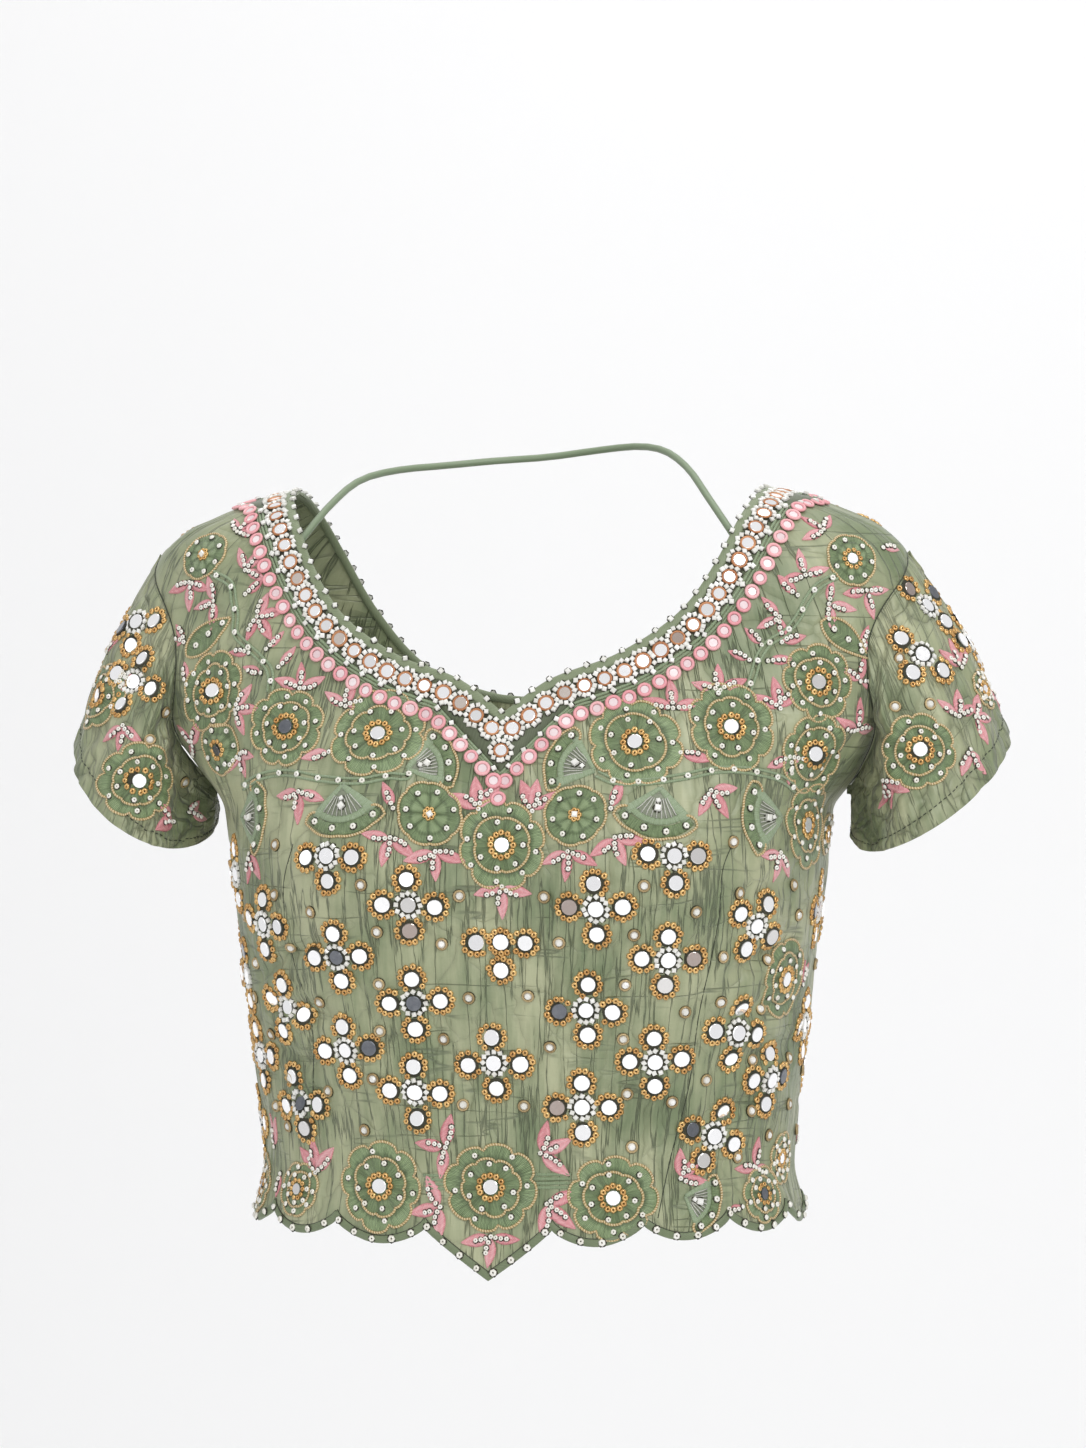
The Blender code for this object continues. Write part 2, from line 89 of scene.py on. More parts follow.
class CholiStones(bpy.types.PropertyGroup):
    """The mirrors, beads and stones."""
    mirror: FloatProperty(
        name="Mirror", description="Diameter of a round mirror", unit="LENGTH", default=7.4 * MM,
        min=4 * MM, max=12 * MM)
    border_mirror: FloatProperty(
        name="Border mirror", description="Diameter of a mirror in the neck border", unit="LENGTH",
        default=6.4 * MM, min=3 * MM, max=8 * MM)
    gold_bead: FloatProperty(
        name="Gold bead", description="Diameter of a gold bead", unit="LENGTH", default=3.45 * MM,
        min=1 * MM, max=5 * MM)
    white_bead: FloatProperty(
        name="White bead", description="Diameter of a white bead", unit="LENGTH", default=3.3 * MM,
        min=1 * MM, max=5 * MM)
    crystal: FloatProperty(
        name="Crystal", description="Width of a cut crystal", unit="LENGTH", default=2.75 * MM,
        min=1 * MM, max=5 * MM)
    gold: FloatVectorProperty(
        name="Gold beads", description="Colour of the gold beads", subtype="COLOR", size=3, min=0,
        max=1, default=(0.82, 0.44, 0.11))


class CholiStitches(bpy.types.PropertyGroup):
    """The embroidery threads."""
    green: FloatVectorProperty(
        name="Green satin", description="Colour of the green satin stitch", subtype="COLOR", size=3,
        min=0, max=1, default=(0.184, 0.262, 0.117))
    pink: FloatVectorProperty(
        name="Pink satin", description="Colour of the pink satin stitch", subtype="COLOR", size=3,
        min=0, max=1, default=(0.84, 0.36, 0.375))
    cord: FloatVectorProperty(
        name="Cord", description="Colour of the couched gold cord", subtype="COLOR", size=3, min=0,
        max=1, default=(0.66, 0.50, 0.23))
    cord_width: FloatProperty(
        name="Cord width", description="Width of the couched gold cord", unit="LENGTH",
        default=1.35 * MM, min=0.5 * MM, max=2 * MM)


class CholiStage(bpy.types.PropertyGroup):
    """The floor and the light."""
    floor: FloatVectorProperty(
        name="Floor", description="Colour of the floor and the backdrop", subtype="COLOR", size=3,
        min=0, max=1, default=(0.93, 0.93, 0.93))
    key: FloatProperty(
        name="Key light", description="Power of the large soft light", unit="POWER", default=33.5,
        min=0, max=500)


# ---------------------------------------------------------------- the form, as in the part's source

Section = namedtuple("Section", "height half_width front_depth back_depth front_fullness back_fullness")
FORM = (
    Section(0.012, 0.088, 0.030, 0.030, 2.1, 2.1),
    Section(0.000, 0.118, 0.040, 0.040, 2.1, 2.1),
    Section(-0.004, 0.137, 0.047, 0.047, 2.1, 2.1),
    Section(-0.011, 0.158, 0.055, 0.055, 2.2, 2.2),
    Section(-0.020, 0.176, 0.062, 0.062, 2.2, 2.2),
    Section(-0.032, 0.188, 0.068, 0.069, 2.2, 2.2),
    Section(-0.050, 0.194, 0.075, 0.077, 2.2, 2.2),
    Section(-0.080, 0.195, 0.085, 0.088, 2.2, 2.2),
    Section(-0.112, 0.186, 0.094, 0.095, 2.3, 2.2),
    Section(-0.138, 0.167, 0.103, 0.098, 2.4, 2.3),
    Section(-0.160, 0.151, 0.109, 0.099, 2.6, 2.4),
    Section(-0.190, 0.1475, 0.112, 0.096, 2.7, 2.4),
    Section(-0.235, 0.1420, 0.108, 0.089, 2.6, 2.4),
    Section(-0.285, 0.1360, 0.101, 0.083, 2.5, 2.4),
    Section(-0.335, 0.1315, 0.096, 0.081, 2.4, 2.4),
    Section(-0.360, 0.1365, 0.097, 0.084, 2.4, 2.4),
    Section(-0.388, 0.1390, 0.098, 0.086, 2.4, 2.4),
)
CUP_ACROSS = 0.082
CUP_HEIGHT = -0.188
CUP_RISE = 0.011
CUP_SPREAD_ACROSS = 0.040
CUP_SPREAD_UP = 0.048

NECK_POINT = -0.112
UNDERARM = -0.147
SHOULDER_TIP = -0.032
HEM = -0.360
HEM_SIDE_RISE = 0.007
FRONT_NECK = (
    (0.000, NECK_POINT),
    (0.020, -0.097),
    (0.055, -0.083),
    (0.085, -0.061),
    (0.100, -0.038),
    (0.110, -0.016),
    (0.118, 0.000),
)
BACK_NECK = (
    (0.000, -0.104),
    (0.034, -0.101),
    (0.068, -0.086),
    (0.091, -0.058),
    (0.106, -0.028),
    (0.118, 0.000),
)
ARMHOLE_FRONT = math.radians(15)
ARMHOLE_BACK = math.radians(13)
ARMHOLE_SHAPE = 0.8
POINT_HALF_WIDTH = 0.031
POINT_DROP = 0.024
SCALLOP_DROP = 0.009
SCALLOPS_FRONT = 3.5
SCALLOPS_BACK = 4.5
SCALLOP_FADE = 0.045
HEM_TWIST = math.radians(-4)
SEAM_GAP = 0.0003
ARMHOLE_GAP = 0.0001
UNDERARM_GAP = 0.0002
SLEEVE_HEM_INNER = (0.1600, -0.002, -0.1690)
SLEEVE_HEM_OUTER = {-1: (0.2320, -0.002, -0.1235), 1: (0.2395, -0.002, -0.1250)}
SLEEVE_HEM_FRONT = (0.0, -0.0570, -0.0230)
SLEEVE_CAP_RISE = 0.0045
SLEEVE_STEP = 1e-3
TIE_RADIUS = 0.0018
TIE_ANCHOR_ALONG = 0.80
TIE_ANCHOR_IN = 0.006
TIE_DEPTH = 0.0015 + 2 * 0.0006 + TIE_RADIUS  # behind the cloth's face, where the tie is sewn on
TIE_ROUTE = (
    (-0.096, -0.026, -0.007),
    (-0.086, 0.002, 0.006),
    (-0.071, 0.027, 0.012),
    (-0.052, 0.047, 0.015),
    (-0.027, 0.060, 0.018),
    (0.000, 0.064, 0.020),
    (0.026, 0.060, 0.023),
    (0.048, 0.046, 0.024),
    (0.063, 0.027, 0.021),
    (0.078, 0.002, 0.011),
    (0.092, -0.025, -0.006),
)
TIE_POINTS = 34

# Mesh fineness of the silk
COLUMNS = 81  # of half a front and of a back panel; a scallop has 18 of them
POINT_COLUMNS = 18
ROWS_BELOW = 96
ROWS_ABOVE = 58
ROWS = ROWS_BELOW + ROWS_ABOVE
LEVEL = ROWS_BELOW / ROWS
SLEEVE_ROUND = 144
SLEEVE_ROWS = 44
PLACKET_COLUMNS = 4
GRAIN_RADIUS = 0.125  # turns the angle round the form into a distance along the cloth


def line_length(points):
    """The distance along a line at each of its points."""
    return np.concatenate([[0], np.cumsum(np.linalg.norm(np.diff(points, axis=0), axis=1))])


def along_line(points, along, places):
    """Values at places on a line, by its points and the distance along it at each."""
    return np.stack([np.interp(places, along, points[:, axis]) for axis in range(3)], axis=-1)


def monotone(xs, ys):
    """A smooth curve through the points that never swings past them, as a function of x."""
    order = np.argsort(xs)
    xs, ys = np.asarray(xs, float)[order], np.asarray(ys, float)[order]
    step = np.diff(xs)
    slope = np.diff(ys) / step
    ends = np.concatenate([[slope[0]], slope, [slope[-1]]])
    before, after = ends[:-1], ends[1:]
    same_way = before * after > 0
    total = np.where(same_way, before + after, 1.0)
    tangent = np.where(same_way, 2 * before * after / total, 0.0)

    def at(x):
        x = np.clip(np.asarray(x, float), xs[0], xs[-1])
        i = np.clip(np.searchsorted(xs, x) - 1, 0, len(step) - 1)
        t = (x - xs[i]) / step[i]
        rise = ys[i] * (2 * t**3 - 3 * t**2 + 1) + ys[i + 1] * (3 * t**2 - 2 * t**3)
        lean = tangent[i] * (t**3 - 2 * t**2 + t) + tangent[i + 1] * (t**3 - t**2)
        return rise + step[i] * lean

    return at


def through(points):
    """A smooth curve through the points, by share of its length from 0 to 1."""
    points = np.asarray(points, float)
    along = line_length(points)
    along /= along[-1]
    tangent = np.gradient(points, along, axis=0)

    def at(share):
        share = np.clip(np.asarray(share, float), 0, 1)
        i = np.clip(np.searchsorted(along, share) - 1, 0, len(along) - 2)
        gap = (along[i + 1] - along[i])[..., None]
        t = (share - along[i])[..., None] / gap
        return (
            points[i] * (2 * t**3 - 3 * t**2 + 1)
            + points[i + 1] * (3 * t**2 - 2 * t**3)
            + gap * tangent[i] * (t**3 - 2 * t**2 + t)
            + gap * tangent[i + 1] * (t**3 - t**2)
        )

    return at


heights = [s.height for s in FORM]
half_width_at = monotone(heights, [s.half_width for s in FORM])
front_depth_at = monotone(heights, [s.front_depth for s in FORM])
back_depth_at = monotone(heights, [s.back_depth for s in FORM])
front_fullness_at = monotone(heights, [s.front_fullness for s in FORM])
back_fullness_at = monotone(heights, [s.back_fullness for s in FORM])


def form(turn, height):
    """The point of the form at an angle from the centre front, towards +X, and a height."""
    turn, height = np.broadcast_arrays(np.asarray(turn, float), np.asarray(height, float))
    sine, cosine = np.sin(turn), np.cos(turn)
    is_front = cosine >= 0
    depth = np.where(is_front, front_depth_at(height), back_depth_at(height))
    power = np.where(is_front, front_fullness_at(height), back_fullness_at(height))
    reach = (
        np.abs(sine / half_width_at(height)) ** power + np.abs(cosine / depth) ** power
    ) ** (-1 / power)
    across, forward = reach * sine, reach * cosine
    up = ((height - CUP_HEIGHT) / CUP_SPREAD_UP) ** 2
    for side in (-1, 1):
        out = ((across - side * CUP_ACROSS) / CUP_SPREAD_ACROSS) ** 2
        forward = forward + CUP_RISE * np.exp(-(out + up) / 2) * np.clip(2 * cosine, 0, 1)
    return np.stack([across, -forward, height], axis=-1)


def unit(vectors):
    """The vectors at length 1."""
    return vectors / np.linalg.norm(vectors, axis=-1, keepdims=True)


def outward(turn, height):
    """The unit normal of the form, pointing away from the wearer."""
    round_it = form(turn + STEP, height) - form(turn - STEP, height)
    up_it = form(turn, height + STEP) - form(turn, height - STEP)
    return unit(np.cross(round_it, up_it))


def turn_for(across, height, back=False):
    """The angle at which the form is that far across, for a height and a distance from 0 up."""
    across, height = np.broadcast_arrays(np.asarray(across, float), np.asarray(height, float))
    low, high = np.zeros(across.shape), np.full(across.shape, QUARTER)
    for _ in range(40):
        middle = (low + high) / 2
        short = form(math.pi - middle if back else middle, height)[..., 0] < across
        low, high = np.where(short, middle, low), np.where(short, high, middle)
    return math.pi - high if back else high


def twist_at(height):
    """How far the bodice has turned round the form at a height: none at the underarm, all at the hem."""
    share = np.clip((UNDERARM - height) / (UNDERARM - HEM), 0, 1)
    return HEM_TWIST * share**2 * (3 - 2 * share)


_turns = np.linspace(0, math.pi, 721)
_ring = form(_turns, np.full_like(_turns, HEM))
_lengths = line_length(_ring)
SIDE_LENGTH = float(np.interp(QUARTER, _turns, _lengths))
BACK_LENGTH = float(_lengths[-1]) - SIDE_LENGTH
PITCH_FRONT = (SIDE_LENGTH - POINT_HALF_WIDTH) / SCALLOPS_FRONT
PITCH_BACK = BACK_LENGTH / SCALLOPS_BACK


def hem_turn(along):
    """The angle round the form at a distance along the hem from the centre front."""
    return np.interp(along, _lengths, _turns)


def hem_base(along):
    """The height of the hem's notches at a distance from the centre front."""
    return HEM + HEM_SIDE_RISE * np.sin(hem_turn(np.abs(along))) ** 2


def hem_drop(along):
    """How far the hem reaches below its notches at a distance from the centre front."""
    along = np.abs(along)
    point = POINT_DROP * np.clip(1 - along / POINT_HALF_WIDTH, 0, 1) ** 0.9
    count = np.where(
        along < SIDE_LENGTH,
        (along - POINT_HALF_WIDTH) / PITCH_FRONT,
        (along - SIDE_LENGTH) / PITCH_BACK + SCALLOPS_FRONT,
    )
    scallop = SCALLOP_DROP * np.abs(np.sin(math.pi * count)) ** 0.75
    return np.where(along < POINT_HALF_WIDTH, point, scallop)


front_neck_at = through(FRONT_NECK)
back_neck_at = through(BACK_NECK)


def armhole(share, back=False):
    """(turn, height) of the armhole, from the underarm at 0 to the shoulder tip at 1."""
    drop = (1 + np.cos(math.pi * np.asarray(share, float))) / 2
    height = SHOULDER_TIP + (UNDERARM - SHOULDER_TIP) * drop
    cut = ARMHOLE_BACK if back else ARMHOLE_FRONT
    in_from_side = cut * np.abs(np.sin(math.pi * drop)) ** ARMHOLE_SHAPE
    return (QUARTER + in_from_side if back else QUARTER - in_from_side), height


def neck(share, back=False):
    """(turn, height) of the neck edge, from the centre at 0 to the shoulder at 1."""
    place = (back_neck_at if back else front_neck_at)(share)
    return turn_for(place[..., 0], place[..., 1], back), place[..., 1]


def along_hem(share, back=False):
    """Distance along the hem from the centre front, for a share of a half panel's columns."""
    if back:
        return SIDE_LENGTH + BACK_LENGTH * (1 - share)
    return np.interp(share, [0, POINT_COLUMNS / COLUMNS, 1], [0, POINT_HALF_WIDTH, SIDE_LENGTH])


def half_bodice(share, rise, back=False):
    """(turn, height) in half a bodice: share from its centre to the side seam and the armhole, and rise
    from the hem at 0, past the neck point and the underarm at LEVEL, to the shoulder seam at 1."""
    along = along_hem(share, back)
    turn = hem_turn(along)
    below = np.clip(rise / LEVEL, 0, 1)
    above = np.clip((rise - LEVEL) / (1 - LEVEL), 0, 1)
    inner_turn, inner_height = neck(above, back)
    outer_turn, outer_height = armhole(above, back)
    base = hem_base(along)
    inner_height = base + (inner_height - base) * below
    outer_height = base + (outer_height - base) * below
    hem_share = (math.pi - turn if back else turn) / QUARTER
    share = hem_share + (share - hem_share) * above
    turn = inner_turn + (outer_turn - inner_turn) * share
    height = inner_height + (outer_height - inner_height) * share
    fade = np.clip(1 - (height - base) / SCALLOP_FADE, 0, 1)
    return turn, height - hem_drop(along) * fade


def off_the_seams(turn, height, back=False):
    """The angles again, kept half a seam's gap away from the side, shoulder and centre-back seams."""
    half_gap = SEAM_GAP / 2
    at_side = half_gap / half_width_at(height)
    if not back:
        return np.minimum(turn, QUARTER - at_side)
    at_centre = half_gap / back_depth_at(height)
    return np.clip(turn, QUARTER + at_side, math.pi - at_centre)


def sleeve_start(angle):
    """The sleeve's edge at the armhole of the wearer's left. The angle runs from the shoulder tip over
    the front to the underarm at half a turn, and up the back."""
    angle = np.mod(angle, math.tau)
    share = np.abs(1 - angle / math.pi)
    is_back = angle > math.pi
    front_turn, height = armhole(share)
    back_turn, _ = armhole(share, back=True)
    turn = np.where(is_back, back_turn, front_turn)
    return form(turn, height), outward(turn, height)


def sleeve_surface(angle, down, side):
    """The outer face of a sleeve, as it would be on the wearer's left, from the armhole at down 0 to
    its hem at 1."""
    start, normal = sleeve_start(angle)
    ahead, _ = sleeve_start(angle + SLEEVE_STEP)
    behind, _ = sleeve_start(angle - SLEEVE_STEP)
    along = unit(ahead - behind)
    outer, inner = np.array(SLEEVE_HEM_OUTER[side]), np.array(SLEEVE_HEM_INNER)
    cosine, sine = np.cos(angle)[..., None], np.sin(angle)[..., None]
    start = start + ARMHOLE_GAP * np.cross(normal, along) + UNDERARM_GAP * normal * (1 - cosine) / 2
    to_outer, to_front = (outer - inner) / 2, np.array(SLEEVE_HEM_FRONT)
    hem = (outer + inner) / 2 + cosine * to_outer + sine * to_front
    down = np.asarray(down)[..., None]
    away = cosine * to_outer / np.linalg.norm(to_outer) + sine * to_front / np.linalg.norm(to_front)
    rise = SLEEVE_CAP_RISE * 4 * down * (1 - down) * (1 + cosine) / 2
    return start + (hem - start) * down + rise * away


def sleeve_outward(angle, down, side):
    """The unit normal of that face."""
    round_it = sleeve_surface(angle + STEP, down, side) - sleeve_surface(angle - STEP, down, side)
    down_it = sleeve_surface(angle, down + STEP, side) - sleeve_surface(angle, down - STEP, side)
    return unit(np.cross(round_it, down_it))


# ---------------------------------------------------------------- the front elevation

# The front's motifs are placed on an elevation: an upright plane through the origin, seen by an eye that
# is a little to the wearer's left. A place on it is (across, up) in millimetres.
VIEW_TURN = math.radians(8)
VIEW_DISTANCE = 2.4
VIEW_ACROSS = 0.006  # where the middle of the view is
VIEW_UP = -0.117
LENS = 119.34  # millimetres, on Blender's sensor of 36
VIEW_RIGHT = np.array([math.cos(VIEW_TURN), math.sin(VIEW_TURN), 0.0])
VIEW_BACK = np.array([math.sin(VIEW_TURN), -math.cos(VIEW_TURN), 0.0])
EYE = VIEW_ACROSS * VIEW_RIGHT + VIEW_DISTANCE * VIEW_BACK + np.array([0.0, 0.0, VIEW_UP])


def seen(tree, across, up):
    """Where a place of the elevation falls on a surface: the point and its normal."""
    target = VIEW_RIGHT * across * MM + np.array([0.0, 0.0, up * MM])
    point, normal, _, _ = tree.ray_cast(Vector(EYE), Vector(target - EYE).normalized())
    if point is None:
        point, normal, _, _ = tree.find_nearest(Vector(target))
    return np.array(point), np.array(normal)


# ---------------------------------------------------------------- creases

# A soft trough between two places of the front elevation: how wide and how deep it is, in millimetres
Crease = namedtuple("Crease", "start end width depth")
FRONT_CREASES = (
    Crease((-136.5, -242.5), (-100.5, -222.5), 4, 0.9),
    Crease((-134.5, -255), (-93, -265), 5, 1.0),
    Crease((-120.5, -195), (-115.5, -235), 4, 0.6),
    Crease((-134.5, -275), (-100.5, -292.5), 4, 0.7),
    Crease((-130.5, -310), (-95.5, -297.5), 5, 0.6),
    Crease((-73, -315), (-35.5, -300), 6, 0.5),
    Crease((-50.5, -255), (-38, -295), 5, 0.4),
    Crease((-115.5, -140), (-140.5, -155), 5, 0.7),
    Crease((-55.5, -230), (-30.5, -220), 6, 0.5),
    Crease((92, -247.5), (134.5, -222.5), 5, 1.1),
    Crease((87, -267.5), (129.5, -255), 5, 0.9),
    Crease((84.5, -292.5), (134.5, -275), 6, 0.8),
    Crease((102, -205), (134.5, -195), 5, 0.6),
    Crease((79.5, -320), (119.5, -300), 5, 0.7),
    Crease((44.5, -295), (62, -322.5), 6, 0.5),
    Crease((4.5, -235), (14.5, -270), 6, 0.4),
    Crease((34.5, -330), (64.5, -310), 6, 0.5),
    Crease((157, -100), (129.5, -135), 6, 1.2),
    Crease((164.5, -120), (134.5, -155), 6, 1.0),
    Crease((-158, -105), (-143, -145), 6, 1.0),
    Crease((-165.5, -85), (-148, -115), 5, 0.8),
)
# The same on the back, between two places of (degrees from the centre back, height), for the left half.
BACK_CREASES = (
    Crease((16, -228), (38, -214), 5, 0.7),
    Crease((12, -262), (44, -243), 6, 0.9),
    Crease((22, -296), (52, -272), 5, 0.8),
    Crease((14, -322), (40, -308), 6, 0.6),
    Crease((48, -232), (72, -204), 5, 0.8),
    Crease((58, -262), (80, -240), 5, 0.9),
    Crease((56, -305), (76, -284), 6, 0.7),
    Crease((52, -150), (68, -120), 6, 1.0),
    Crease((44, -170), (62, -158), 5, 0.6),
    Crease((30, -134), (44, -118), 5, 0.5),
    Crease((62, -70), (70, -104), 5, 0.8),
)
# On a sleeve, between two places of (degrees from the shoulder over the front, share down to the hem)
SLEEVE_CREASES = (
    Crease((118, 0.02), (78, 0.62), 5, 1.3),
    Crease((132, 0.05), (104, 0.80), 5, 1.1),
    Crease((100, 0.02), (58, 0.45), 5, 0.9),
    Crease((84, 0.02), (44, 0.36), 4, 0.6),
    Crease((30, 0.05), (16, 0.55), 5, 0.5),
    Crease((64, 0.55), (40, 0.95), 6, 0.6),
    Crease((148, 0.20), (128, 0.98), 5, 0.9),
    Crease((20, 0.62), (2, 0.98), 6, 0.6),
    Crease((240, 0.03), (286, 0.60), 5, 1.1),
    Crease((226, 0.05), (258, 0.85), 5, 1.0),
    Crease((262, 0.02), (306, 0.42), 5, 0.8),
    Crease((330, 0.05), (344, 0.60), 5, 0.5),
    Crease((292, 0.55), (318, 0.96), 6, 0.6),
)
# The stitched lines of the waist darts, as places of the front elevation
DARTS = (
    ((100.5, -177.5), (96.5, -187.5), (94.5, -210), (90.5, -232.5), (84, -262.5), (79.5, -295.5),
     (69, -337.5), (63.5, -364)),
    ((-119, -177), (-123.5, -195), (-123, -214.5), (-118, -238), (-110.5, -261), (-109, -300),
     (-112, -345)),
)
DART_WIDTH = 2.6  # millimetres
DART_DEPTH = 0.8
DART_PUCKER = 0.30
DART_PUCKER_PITCH = 9.0
NECK_CALM = 24.0  # how far from the neck edge the creases are shallow, in millimetres
ARMHOLE_CALM = 9.0
ARMHOLE_DIP = 0.5  # how far the cloth is drawn in at the armhole's seam
UNDERARM_CALM = 0.7  # how far round a sleeve from its underarm seam the creases are shallow
EDGE_DIP = 0.5  # how far the cloth rolls in at its seams, in millimetres
UNEVENNESS = 1.7  # millimetres, of the broad hollows and swells
CRUSH = 0.09  # millimetres, of the fine upright crush
DEEPER = 2.8  # how much deeper the creases are than the lists give
FINE_CREASE = 0.8  # millimetres, of the narrow creases that run across each other
SLEEVE_LENGTH = 95.0  # from the armhole to the hem, in millimetres
SLEEVE_HEM_STITCH = 9.0  # how far the stitched line is from the sleeve's edge, in millimetres


def soft_noise(x, y, seed):
    """Smooth noise from -1 to 1 that changes over a distance of about 1."""
    grid = np.random.RandomState(seed).uniform(-1, 1, (61, 67))
    i, j = np.floor(x).astype(int), np.floor(y).astype(int)
    s, t = x - i, y - j
    s, t = s * s * (3 - 2 * s), t * t * (3 - 2 * t)
    i, j, k, m = i % 61, j % 67, (i + 1) % 61, (j + 1) % 67
    low = grid[i, j] * (1 - s) + grid[k, j] * s
    high = grid[i, m] * (1 - s) + grid[k, m] * s
    return low * (1 - t) + high * t


def nearest_on(path, points):
    """How far points are from a path in space, and how far along it their nearest places are."""
    steps = np.diff(path, axis=0)
    spans = np.linalg.norm(steps, axis=1)
    starts = line_length(path)
    best, along = np.full(len(points), 1e9), np.zeros(len(points))
    for start, step, span, run in zip(path[:-1], steps, spans, starts):
        share = np.clip((points - start) @ step / span**2, 0, 1)
        away = np.linalg.norm(points - start - share[:, None] * step, axis=1)
        closer = away < best
        best = np.where(closer, away, best)
        along = np.where(closer, run + share * span, along)
    return best, along


def troughs(points, creases):
    """The relief of soft troughs with raised sides, from (path in space, width, depth) of each."""
    relief = np.zeros(len(points))
    for path, width, depth in creases:
        away, along = nearest_on(path, points)
        length = np.linalg.norm(np.diff(path, axis=0), axis=1).sum()
        fade = np.sin(math.pi * np.clip(along / length, 0, 1)) ** 0.7
        out = (away / (width * MM)) ** 2
        relief -= depth * MM * fade * (1 - 0.75 * out) * np.exp(-out / 1.6)
    return relief


def smooth_form_tree():
    """The smooth form as a search tree, to find the elevation's places on before the cloth is made."""
    turns = np.linspace(-math.pi, math.pi, 181)
    levels = np.linspace(-0.388, 0.0, 120)
    turn, height = np.meshgrid(turns, levels)
    points = form(turn, height).reshape(-1, 3)
    wide = len(turns)
    faces = [
        (r * wide + c, r * wide + c + 1, (r + 1) * wide + c + 1, (r + 1) * wide + c)
        for r in range(len(levels) - 1)
        for c in range(wide - 1)
    ]
    return BVHTree.FromPolygons([Vector(p) for p in points], faces)


def seen_path(tree, places, count):
    """Points along a smooth line through places of the elevation, where it falls on a surface."""
    line = through(places)(np.linspace(0, 1, count))
    found = [seen(tree, *place) for place in line]
    return np.array([point for point, _ in found]), np.array([normal for _, normal in found])


def bodice_creases():
    """The creases and darts of the bodice as paths in space."""
    tree = smooth_form_tree()
    creases = [(seen_path(tree, (c.start, c.end), 6)[0], c.width, DEEPER * c.depth) for c in FRONT_CREASES]
    for side in (-1, 1):
        for crease in BACK_CREASES:
            steps = np.linspace(0, 1, 6)
            turn = math.pi - np.radians(crease.start[0] + (crease.end[0] - crease.start[0]) * steps)
            height = (crease.start[1] + (crease.end[1] - crease.start[1]) * steps) * MM
            shift = 4 * MM * side
            creases.append((form(side * turn, height + shift), crease.width, DEEPER * crease.depth))
    darts = [seen_path(tree, dart, 24)[0] for dart in DARTS]
    return creases, darts


def neck_edges():
    """The neck edge as paths in space, where the cloth lies calm under its border."""
    share = np.linspace(0, 1, 24)
    front, back = form(*neck(share)), form(*neck(share, back=True))
    ahead = np.concatenate([front[:0:-1] * (-1, 1, 1), front])
    return ahead, np.concatenate([back[:0:-1] * (-1, 1, 1), back])


def armhole_edges():
    """The four halves of the armholes as paths in space, where the cloth lies calm by the sleeve's seam."""
    share = np.linspace(0, 1, 24)
    front, back = form(*armhole(share)), form(*armhole(share, back=True))
    return front, back, front * (-1, 1, 1), back * (-1, 1, 1)


def bodice_relief(turn, height, creases, darts):
    """How far the creased cloth of the bodice stands off the form."""
    points = form(turn, height)
    shape = points.shape[:-1]
    points = points.reshape(-1, 3)
    turn, height = turn.ravel(), height.ravel()
    across = turn * GRAIN_RADIUS / MM
    up = height / MM
    relief = troughs(points, creases)
    relief += UNEVENNESS * MM * soft_noise(across / 26, up / 31, 3) * soft_noise(across / 70, up / 60, 8)
    relief += 0.5 * UNEVENNESS * MM * soft_noise(across / 11 + up / 40, up / 24, 5)
    relief += CRUSH * MM * soft_noise(across / 3.1, up / 34, 11)
    for seed, lean in ((14, 70), (17, -55)):
        crossing = soft_noise(across / 27 + up / lean, up / 24, seed)
        where = np.clip(0.35 + soft_noise(across / 55, up / 48, seed + 1), 0, 1)
        relief -= FINE_CREASE * MM * where * np.exp(-(crossing / 0.13) ** 2)
    for dart in darts:
        away, along = nearest_on(dart, points)
        out = (away / (DART_WIDTH * MM)) ** 2
        relief -= DART_DEPTH * MM * (1 - 0.8 * out) * np.exp(-out / 1.4)
        pucker = np.sin(math.tau * along / (DART_PUCKER_PITCH * MM) + 2 * soft_noise(along / 0.02, away, 4))
        relief += DART_PUCKER * MM * pucker * np.exp(-out / 9)
    side = np.abs(np.abs(turn) - QUARTER) * half_width_at(height) / MM
    below_arm = np.clip((UNDERARM - height) / 0.01, 0, 1)
    ripple = 1 + 0.4 * np.sin(up * math.tau / 11)
    relief -= EDGE_DIP * MM * np.exp(-(side / 2.6) ** 2) * below_arm * ripple
    for edge in neck_edges():
        away, _ = nearest_on(edge, points)
        relief *= 0.12 + 0.88 * np.clip(away / (NECK_CALM * MM), 0, 1) ** 1.5
    for edge in armhole_edges():
        away, _ = nearest_on(edge, points)
        relief *= 0.10 + 0.90 * np.clip(away / (ARMHOLE_CALM * MM), 0, 1)
        relief -= ARMHOLE_DIP * MM * np.exp(-(away / (1.8 * MM)) ** 2)
    creasing = bpy.context.scene.choli_silk.creasing
    return (creasing * relief).reshape(shape)


